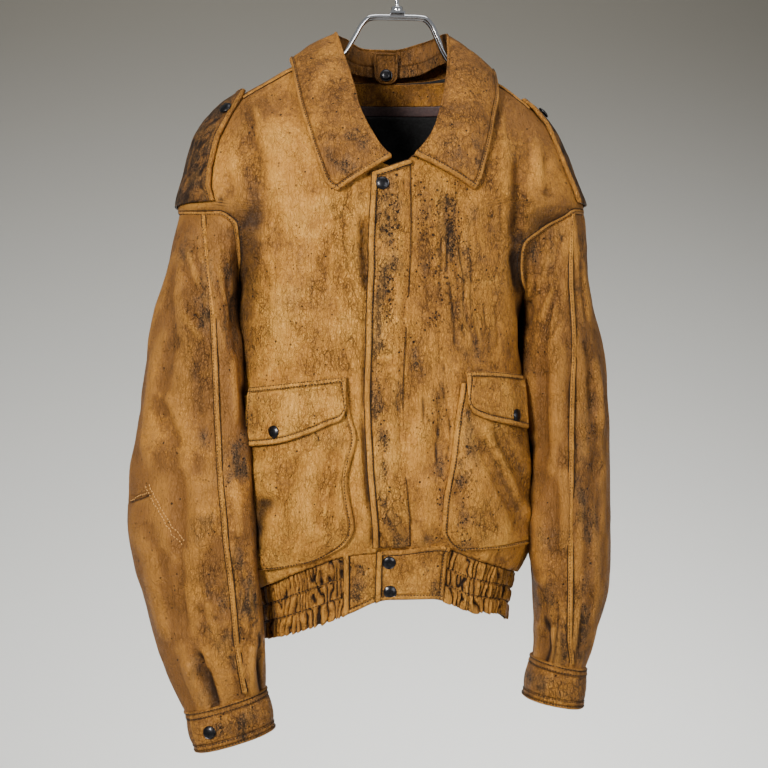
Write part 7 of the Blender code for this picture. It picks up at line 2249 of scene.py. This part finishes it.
def all_snaps():
    for name, (x, z, seat) in SNAPS.items():
        phi = float(phi_at(x, z))
        m = torso_normal(phi, z)
        snap_cap("cap_" + name, torso(phi, z) + m * (seat + 0.0006), m)
    phi, z = math.radians(356.0), -0.2040
    m = torso_normal(phi, z)
    snap_cap("cap_snap_epaulette_left", torso(phi, z) + m * 0.0066, m)
    for name, table, psi in (("snap_cuff_right", CUFF_RIGHT, 64.0), ("snap_cuff_left", CUFF_LEFT, 310.0)):
        ox, oz, ix, iz, my, hy = table[1]
        c, q = math.cos(math.radians(psi)), math.sin(math.radians(psi))
        ce, se = math.copysign(abs(c) ** 0.9, c), math.copysign(abs(q) ** 0.9, q)
        point = np.array([(ox + ix) / 2 + (ox - ix) / 2 * ce, my - hy * se, (oz + iz) / 2 + (oz - iz) / 2 * ce])
        a = abs(ox - ix) / 2
        out = unit(np.array([math.copysign(1, ox) * c / a, -q / hy, 0.0]))
        snap_cap("cap_" + name, point + out * 0.0016, out)
    snap_cap("cap_snap_neck_tab", (-0.0070, 0.0718, -0.1415), (0, -1, 0), SNAP_DULL)


def rounded(path, n=5, closed=False):
    p = np.asarray(path, float)
    if closed:
        k = np.arange(-3, len(p) + 4, dtype=float)
        q = np.concatenate([p[-3:], p, p[:4]])
        t = np.linspace(0, len(p), len(p) * n, endpoint=False)
        return np.stack([smooth_read(k, q[:, i], t) for i in range(3)], -1)
    k = np.arange(len(p), dtype=float)
    t = np.linspace(0, len(p) - 1, (len(p) - 1) * n + 1)
    return np.stack([smooth_read(k, p[:, i], t) for i in range(3)], -1)


def hanger():
    front = [(x, -g, z) for x, z, g in HANGER_WIRE]
    back = [(x, g, z) for x, z, g in HANGER_WIRE[::-1]]
    tip_r = (HANGER_WIRE[-1][0] + 0.007, 0.0, HANGER_WIRE[-1][1] - 0.004)
    tip_l = (HANGER_WIRE[0][0] - 0.007, 0.0, HANGER_WIRE[0][1] - 0.004)
    rod("wire_frame", [rounded(front + [tip_r] + back + [tip_l], 4, True)], ROD_RADIUS, CHROME, 14, True)
    r = HOOK_INNER_RADIUS + ROD_RADIUS
    cz = ROD_RADIUS - r
    arc = [(r * math.cos(a), 0.0, cz + r * math.sin(a)) for a in np.radians(np.linspace(-25, 205, 40))]
    stem = [(-0.0145, 0.0, -0.0395), (-0.0060, 0.0, -0.0465), (-0.0012, 0.0, -0.0540),
            (0.0, 0.0, -0.0620), (0.0, 0.0, -0.0712)]
    rod("wire_hook", [rounded(arc + stem, 3)], ROD_RADIUS * 0.9, CHROME, 14)
    lathe("hook_nut", (0, 0, -0.0772), (0, 0, 1),
          [(0.0, 0.0), (0.0058, 0.0), (0.0068, 0.0006), (0.0070, 0.0012), (0.0070, 0.0054),
           (0.0064, 0.0062), (0.0050, 0.0066), (0.0, 0.0066)], CHROME, 32)
    mesh = bpy.data.meshes.new("saddle")
    a, b, c, ch = 0.009, 0.011, 0.0015, 0.0006
    ring = [(-a + ch, -b), (a - ch, -b), (a, -b + ch), (a, b - ch), (a - ch, b), (-a + ch, b), (-a, b - ch), (-a, -b + ch)]
    verts, faces = [], []
    for k, zz in ((0.94, -c), (1.0, -c + ch * 0.6), (1.0, c - ch * 0.6), (0.94, c)):
        verts += [(x * k, y * k, zz - 0.0792) for x, y in ring]
    for i in range(3):
        for j in range(8):
            j2 = (j + 1) % 8
            faces.append((i * 8 + j, i * 8 + j2, i * 8 + 8 + j2, i * 8 + 8 + j))
    faces.append(tuple(range(8))[::-1])
    faces.append(tuple(24 + j for j in range(8)))
    mesh.from_pydata(verts, [], faces)
    mesh.materials.append(CHROME)
    PIECES["wire_saddle"] = link(bpy.data.objects.new("wire_saddle", mesh))


# ================================================================== assembly
front_panel("right")
front_panel("left")
back_panel()
for side in ("right", "left"):
    sleeve_panel(side, "top")
    sleeve_panel(side, "under")
    cuff(side)
    pocket_bag(side)
    pocket_flap(side)
    epaulette(side)
storm_flap()
plain, centre, tab = (math.degrees(float(phi_at(x, -0.76))) for x in (PLAIN_X, TAB_EDGE_X, TAB_X))
waist_part("waist_right", 180.0, plain, True)
waist_part("waist_left", tab, 360.0, True)
waist_part("waist_back", 0.0, 180.0, True)
waist_part("waist_plain", plain, centre, False)
waist_part("waist_tab", centre, tab, False)
collar()
# the facing inside the neck uses the leather darkened as painted shade
inside("facing_neck", 30, 150, 0.0, 0.0270, 0.0010, 0.0014, (LEATHER_SHADED, FLESH), 24, 120, 0.9,
       {"tone": 0.0, "dark": 0.2, "crack": 0.2})
inside("band_lining", 28, 152, 0.0274, 0.0120, 0.0010, 0.0010, (BAND, BAND), 12, 120, 0.5)
inside("back_lining", 34, 146, 0.0398, 0.1350, 0.0075, 0.0010, (INSIDE, INSIDE), 40, 90, 2.2)
hang_tab()
all_snaps()
hanger()

# the flat strip over each long sleeve seam, and the stitches beside it
sewing, tan_sewing = [], []
for side in ("right", "left"):
    t = np.linspace(0.012, 0.994, 240)
    q = np.full_like(t, float(WELT_Q))
    p = sleeve_point(side, q, t)
    n = sleeve_out(side, q, t)
    p = p + n * 0.0004
    p = p + n * (0.4 * noise2(t, 0 * t, 0.02, 1, 251) / 1000.0)[:, None]
    strip("welt_" + side, p, n, WELT_WIDTH * 0.84, 0.0016, (LEATHER, FLESH), {"tone": -0.10, "edge": 0.55})
    tv = unit(np.gradient(p, axis=0))
    sd = unit(np.cross(n, tv))
    sewing.append((p - sd * (WELT_WIDTH / 2 - 0.0021) + n * 0.0011, n))

# stitched edges
for name, side, d, a, b in (
        ("flap_storm", "first", 0.0060, 0.0, 1.0), ("flap_storm", "top", 0.0058, 0.0, 1.0),
        ("bag_right", "last", 0.0062, 0.0, 1.0), ("bag_right", "bottom", 0.0062, 0.0, 1.0),
        ("bag_left", "first", 0.0062, 0.0, 1.0), ("bag_left", "bottom", 0.0062, 0.0, 1.0),
        ("pocket_flap_right_skin", "first", 0.0066, 0.05, 1), ("pocket_flap_right_skin", "last", 0.0066, 0.05, 1),
        ("pocket_flap_right_skin", "bottom", 0.0066, 0, 1), ("pocket_flap_right_skin", "top", 0.0066, 0, 1),
        ("pocket_flap_right_skin", "top", 0.0022, 0, 1),
        ("pocket_flap_left_skin", "first", 0.0066, 0.05, 1),
        ("pocket_flap_left_skin", "bottom", 0.0066, 0, 1), ("pocket_flap_left_skin", "top", 0.0066, 0, 1),
        ("pocket_flap_left_skin", "top", 0.0022, 0, 1),
        ("epaulette_right_skin", "first", 0.0062, 0, 1), ("epaulette_right_skin", "last", 0.0062, 0, 1),
        ("epaulette_right_skin", "top", 0.0062, 0, 1),
        ("epaulette_left_skin", "first", 0.0062, 0, 1), ("epaulette_left_skin", "last", 0.0062, 0, 1),
        ("epaulette_left_skin", "top", 0.0062, 0, 1),
        ("collar_fall_skin", "first", 0.0068, 0.12, 1), ("collar_fall_skin", "last", 0.0068, 0.12, 1),
        ("collar_fall_skin", "bottom", 0.0068, 0, 1),
        ("cuff_right_skin", "top", 0.0036, 0, 1), ("cuff_right_skin", "top", 0.0098, 0, 1),
        ("cuff_right_skin", "bottom", 0.0036, 0, 1), ("cuff_right_skin", "bottom", 0.0098, 0, 1),
        ("cuff_left_skin", "top", 0.0036, 0, 1), ("cuff_left_skin", "top", 0.0098, 0, 1),
        ("cuff_left_skin", "bottom", 0.0036, 0, 1), ("cuff_left_skin", "bottom", 0.0098, 0, 1),
        ("waist_tab", "top", 0.0062, 0, 1), ("waist_tab", "first", 0.0062, 0, 1),
        ("waist_tab", "bottom", 0.0062, 0, 1), ("waist_tab", "last", 0.0062, 0, 1),
        ("waist_plain", "bottom", 0.0062, 0, 1), ("waist_plain", "top", 0.0040, 0, 1)):
    sewing.append(inset(name, side, d, a, b))
for name in ("waist_right", "waist_left", "waist_back"):
    p, n = GRIDS[name]
    for f in STITCH_ROWS[1:]:
        r = f * (len(p) - 1)
        i, w = int(r), r - int(r)
        sewing.append((p[i] * (1 - w) + p[i + 1] * w, n[i]))
# armhole seams, two rows on the body side
for name, side, lo, hi in (("panel_front_right", "first", 9, 17), ("panel_front_left", "first", 9, 17)):
    p, n = GRIDS[name]
    z = p[:, 0, 2]
    ring_z = RINGS["right" if "right" in name else "left"][1][:9]
    rows = np.where((z > ring_z.min()) & (z < ring_z.max() - 0.0005))[0]
    a, b = rows.min() / (len(p) - 1), rows.max() / (len(p) - 1)
    lp, ln = inset(name, side, 0.0030, a, b)
    strip("piping_armhole_" + ("right" if "right" in name else "left"), lp, ln, 0.0056, 0.0015, (LEATHER, FLESH), {"tone": -0.3, "edge": 0.5})
    for d in (0.0030, 0.0086):
        qp, qn = inset(name, side, d, a, b)
        sewing.append((qp + qn * (0.0013 if d < 0.004 else 0.0), qn))


def lay_on(path, names):
    """Points on the front of pieces nearest to places given as (x, z) in mm."""
    path = smooth_path(np.asarray(path, float) / 1000.0)
    p = np.concatenate([GRIDS[k][0].reshape(-1, 3) for k in names])
    n = np.concatenate([GRIDS[k][1].reshape(-1, 3) for k in names])
    front = n[:, 1] < 0.1
    p, n = p[front], n[front]
    out, nor = [], []
    for x, z in path:
        d = (p[:, 0] - x) ** 2 + (p[:, 2] - z) ** 2 + 0.02 * (p[:, 1] - p[:, 1].min()) ** 2
        k = np.argsort(d)[:6]
        w = 1 / (d[k] + 1e-7)
        out.append((p[k] * w[:, None]).sum(0) / w.sum())
        nor.append((n[k] * w[:, None]).sum(0) / w.sum())
    return np.array(out) + 0.0006 * unit(np.array(nor)), unit(np.array(nor))


# the dart at the right elbow, in lighter thread
for path in (((-325, -669), (-313, -664), (-299, -658)),
             ((-303, -650), (-295, -664), (-285, -680), (-272, -700), (-257, -719)),
             ((-299, -648), (-291, -662), (-281, -678), (-268, -697), (-254, -715))):
    tan_sewing.append(lay_on(path, ("sleeve_right_top_skin", "sleeve_right_under_skin")))
stitches("sewing_thread", sewing, THREAD)
stitches("sewing_thread_light", tan_sewing, THREAD_TAN, 0.0042, 0.0030, 0.00062)

# piped edge of the storm flap, on down through the waistband
k = dict(tone=0.2, edge=0.85, pits=0.2)
ap, an = inset("flap_storm", "first", 0.0026, 0.0, 1.0)
bp, bn = inset("waist_tab", "first", 0.0026, 0.0, 1.0)
if ap[0, 2] < ap[-1, 2]:
    ap, an = ap[::-1], an[::-1]
if bp[0, 2] < bp[-1, 2]:
    bp, bn = bp[::-1], bn[::-1]
strip("piping_flap", ap, an, 0.0058, 0.0022, (LEATHER, FLESH), k)
strip("piping_waist", bp, bn, 0.0056, 0.0018, (LEATHER, FLESH), k)
cp, cn = inset("flap_storm", "top", 0.0024, 0.0, 1.0)
strip("piping_flap_top", cp, cn, 0.0050, 0.0018, (LEATHER, FLESH), k)
# vertical piping beside the gathers, and the shoulder seams
cp, cn = inset("waist_plain", "first", 0.0030, 0.0, 1.0)
strip("piping_waist_side", cp, cn, 0.0056, 0.0016, (LEATHER, FLESH), k)
for side, path in (("right", ((-128, -151), (-146, -160), (-168, -173), (-190, -187))),
                   ("left", ((119, -163), (136, -173), (150, -184), (162, -194)))):
    cp, cn = lay_on(path, ("panel_front_" + side,))
    strip("piping_shoulder_" + side, cp, cn, 0.0050, 0.0016, (LEATHER, FLESH), dict(tone=-0.2, edge=0.6))


# ============================================================= what replaces what
TABLE = (   # piece, node, slot, how it is held, what it rests on
    ("panel_front_right", "front_right", "leather", "hung", ("hanger_wire",)),
    ("panel_front_left", "front_left", "leather", "hung", ("hanger_wire",)),
    ("panel_back", "back", "leather", "hung", ("hanger_wire",)),
    ("sleeve_right_top_skin", "sleeve_right_top", "leather", "hung", ("front_right", "back")),
    ("sleeve_right_under_skin", "sleeve_right_under", "leather", "hung", ("front_right", "back")),
    ("sleeve_left_top_skin", "sleeve_left_top", "leather", "hung", ("front_left", "back")),
    ("sleeve_left_under_skin", "sleeve_left_under", "leather", "hung", ("front_left", "back")),
    ("cuff_right_skin", "cuff_right", "leather", "hung", ("sleeve_right_under",)),
    ("cuff_left_skin", "cuff_left", "leather", "hung", ("sleeve_left_under",)),
    ("bag_right", "pocket_bag_right", "leather", "laid", ("front_right",)),
    ("bag_left", "pocket_bag_left", "leather", "laid", ("front_left",)),
    ("pocket_flap_right_skin", "pocket_flap_right", "leather", "laid", ("pocket_bag_right",)),
    ("pocket_flap_left_skin", "pocket_flap_left", "leather", "laid", ("pocket_bag_left",)),
    ("epaulette_right_skin", "epaulette_right", "leather", "laid", ("front_right",)),
    ("epaulette_left_skin", "epaulette_left", "leather", "laid", ("front_left",)),
    ("flap_storm", "storm_flap", "leather", "laid", ("front_right", "front_left")),
    ("waist_right", "waist_gathers_right", "leather", "gathered", ("front_right",)),
    ("waist_left", "waist_gathers_left", "leather", "gathered", ("front_left",)),
    ("waist_back", "waist_gathers_back", "leather", "gathered", ("back",)),
    ("waist_plain", "waist_plain_right", "leather", "hung", ("front_right",)),
    ("waist_tab", "waist_tab_left", "leather", "laid", ("front_left",)),
    ("collar_fall_skin", "collar_fall", "leather", "folded", ("collar_stand",)),
    ("collar_stand_skin", "collar_stand", "leather", "folded", ("hanger_wire",)),
    ("facing_neck", "neck_facing", "leather_inside", "laid", ("back",)),
    ("band_lining", "lining_band", "lining", "laid", ("back",)),
    ("back_lining", "lining_back", "lining", "hung", ("back",)),
    ("neck_tab_skin", "neck_tab", "leather_inside", "hung", ("collar_stand",)),
    ("welt_right", "sleeve_welt_right", "leather", "laid", ("sleeve_right_under",)),
    ("welt_left", "sleeve_welt_left", "leather", "laid", ("sleeve_left_under",)),
)
OTHERS = (
    ("wire_frame", "hanger_wire", "chrome"), ("wire_hook", "hanger_hook", "chrome"),
    ("hook_nut", "hanger_nut", "chrome"), ("wire_saddle", "hanger_saddle", "chrome"),
    ("cap_snap_flap_top", "snap_flap_top", "snap_metal"),
    ("cap_snap_waist_upper", "snap_waist_upper", "snap_metal"),
    ("cap_snap_waist_lower", "snap_waist_lower", "snap_metal"),
    ("cap_snap_pocket_right", "snap_pocket_right", "snap_metal"),
    ("cap_snap_pocket_left", "snap_pocket_left", "snap_metal"),
    ("cap_snap_epaulette_right", "snap_epaulette_right", "snap_metal"),
    ("cap_snap_epaulette_left", "snap_epaulette_left", "snap_metal"),
    ("cap_snap_cuff_right", "snap_cuff_right", "snap_metal"),
    ("cap_snap_cuff_left", "snap_cuff_left", "snap_metal"),
    ("cap_snap_neck_tab", "snap_neck_tab", "snap_metal"),
)


def cut_of(name):
    """Width, length and area of a piece laid flat, from its grid."""
    p, _ = GRIDS[name]
    if name.startswith("cuff"):
        p = np.concatenate([p, p[:, :1]], 1)
    across = np.linalg.norm(np.diff(p, axis=1), axis=-1).sum(1)
    down = np.linalg.norm(np.diff(p, axis=0), axis=-1).sum(0)
    e1, e2 = p[:-1, 1:] - p[:-1, :-1], p[1:, :-1] - p[:-1, :-1]
    area = float(np.linalg.norm(np.cross(e1, e2), axis=-1).sum())
    w, l = round(float(across.max()), 3), round(float(down.max()), 3)
    area = min(max(area, 0.31 * w * l), w * l)
    return (max(w, 0.01), max(l, 0.01)), area


FLAT_SIZES = {}
for name, node, slot, held, rests in TABLE:
    piece = PIECES[name]
    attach(piece, "root")
    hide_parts(node)
    flat, area = cut_of(name)
    FLAT_SIZES[name] = (flat, round(area, 4))
for name, node, slot in OTHERS:
    piece = PIECES[name]
    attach(piece, "root")
    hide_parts(node)
for name in [n for n in PIECES if n not in [t[0] for t in TABLE] and n not in [t[0] for t in OTHERS]]:
    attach(PIECES[name], "root")

# ===================================================================== stage
def backdrop_material():
    m, tree = nodes_of("backdrop_painted_falloff")
    t = Tree(tree)
    pos = t.new("ShaderNodeTexCoord").outputs["Object"]
    xyz = t.new("ShaderNodeSeparateXYZ", Vector=pos)
    n = t.noise(pos, 0.6, 2, 0.5)
    up = t.ramp(t.add(xyz.outputs[2], t.mul(t.sub(n, 0.5), 0.06)), -2.18, 1.11)
    up = t.math("POWER", up, 0.66)
    # painted light falloff: the wall lighter low down and darker up high
    col = t.mix(up, BACKDROP_LIT_LOW, BACKDROP_SHADED_HIGH)
    b = t.new("ShaderNodeBsdfPrincipled", Base_Color=col)
    b.inputs["Roughness"].default_value = 0.95
    b.inputs["Specular IOR Level"].default_value = 0.1
    out = t.new("ShaderNodeOutputMaterial")
    tree.links.new(b.outputs[0], out.inputs[0])
    return m


BACKDROP_LIT_LOW = lin(248, 248, 244)
BACKDROP_SHADED_HIGH = lin(93, 90, 83)
floor_z = -2.30


def plane(name, corners, mat):
    mesh = bpy.data.meshes.new(name)
    mesh.from_pydata(corners, [], [(0, 1, 2, 3)])
    mesh.materials.append(mat)
    return link(bpy.data.objects.new(name, mesh))


wall_mat = backdrop_material()
floor_mat = plain_material("floor_pale", lin(205, 204, 200), 0.9, colour2=lin(203, 202, 198))
wall_y = 4.20
wall_ob = plane("backdrop", [(-5, wall_y, floor_z), (5, wall_y, floor_z), (5, wall_y, 3.2), (-5, wall_y, 3.2)], wall_mat)
floor_ob = plane("floor", [(-5, -4.5, floor_z), (5, -4.5, floor_z), (5, wall_y, floor_z), (-5, wall_y, floor_z)], floor_mat)

scene = bpy.context.scene
a = math.radians(-5.0)
back = np.array([math.sin(a), -math.cos(a), 0.0])
right = np.array([math.cos(a), math.sin(a), 0.0])
cam_data = bpy.data.cameras.new("camera")
cam_data.lens = 78.75
cam_data.sensor_width = 36.0
cam_data.clip_end = 20.0
cam = link(bpy.data.objects.new("camera", cam_data))
where = 2.05 * back - 0.0159 * right
cam.location = (where[0], where[1], -0.531)
cam.rotation_euler = (math.pi / 2, 0, a)
scene.camera = cam


def area_light(name, place, target, size, power, colour=(1, 1, 1), size_y=None):
    d = bpy.data.lights.new(name, "AREA")
    d.energy = power
    d.color = colour
    d.shape = "RECTANGLE"
    d.size = size
    d.size_y = size_y or size
    ob = link(bpy.data.objects.new(name, d))
    ob.location = place
    v = Vector(target) - Vector(place)
    ob.rotation_euler = v.to_track_quat("-Z", "Y").to_euler()
    return ob


area_light("key", (-1.25, -2.00, 0.15), (0, 0, -0.50), 0.6, 79, (1.0, 0.99, 0.96))
area_light("fill", (1.5, -2.0, -0.3), (0, 0, -0.55), 1.4, 28, (0.98, 0.99, 1.0))
area_light("top", (0.1, -0.3, 1.3), (0, 0, -0.4), 1.2, 12, (1, 1, 1))
area_light("wall_wash", (1.0, 2.3, -2.22), (0.6, 4.2, -1.4), 3.4, 62.0, (1, 1, 1), 0.6)
area_light("wall_fill", (0.0, 1.3, 1.5), (0.0, 4.2, -0.5), 2.2, 142.0, (1, 0.995, 0.98))

world = bpy.data.worlds.new("world")
world.use_nodes = True
bg = world.node_tree.nodes["Background"]
bg.inputs[0].default_value = (0.80, 0.82, 0.85, 1)
bg.inputs[1].default_value = 0.28
scene.world = world
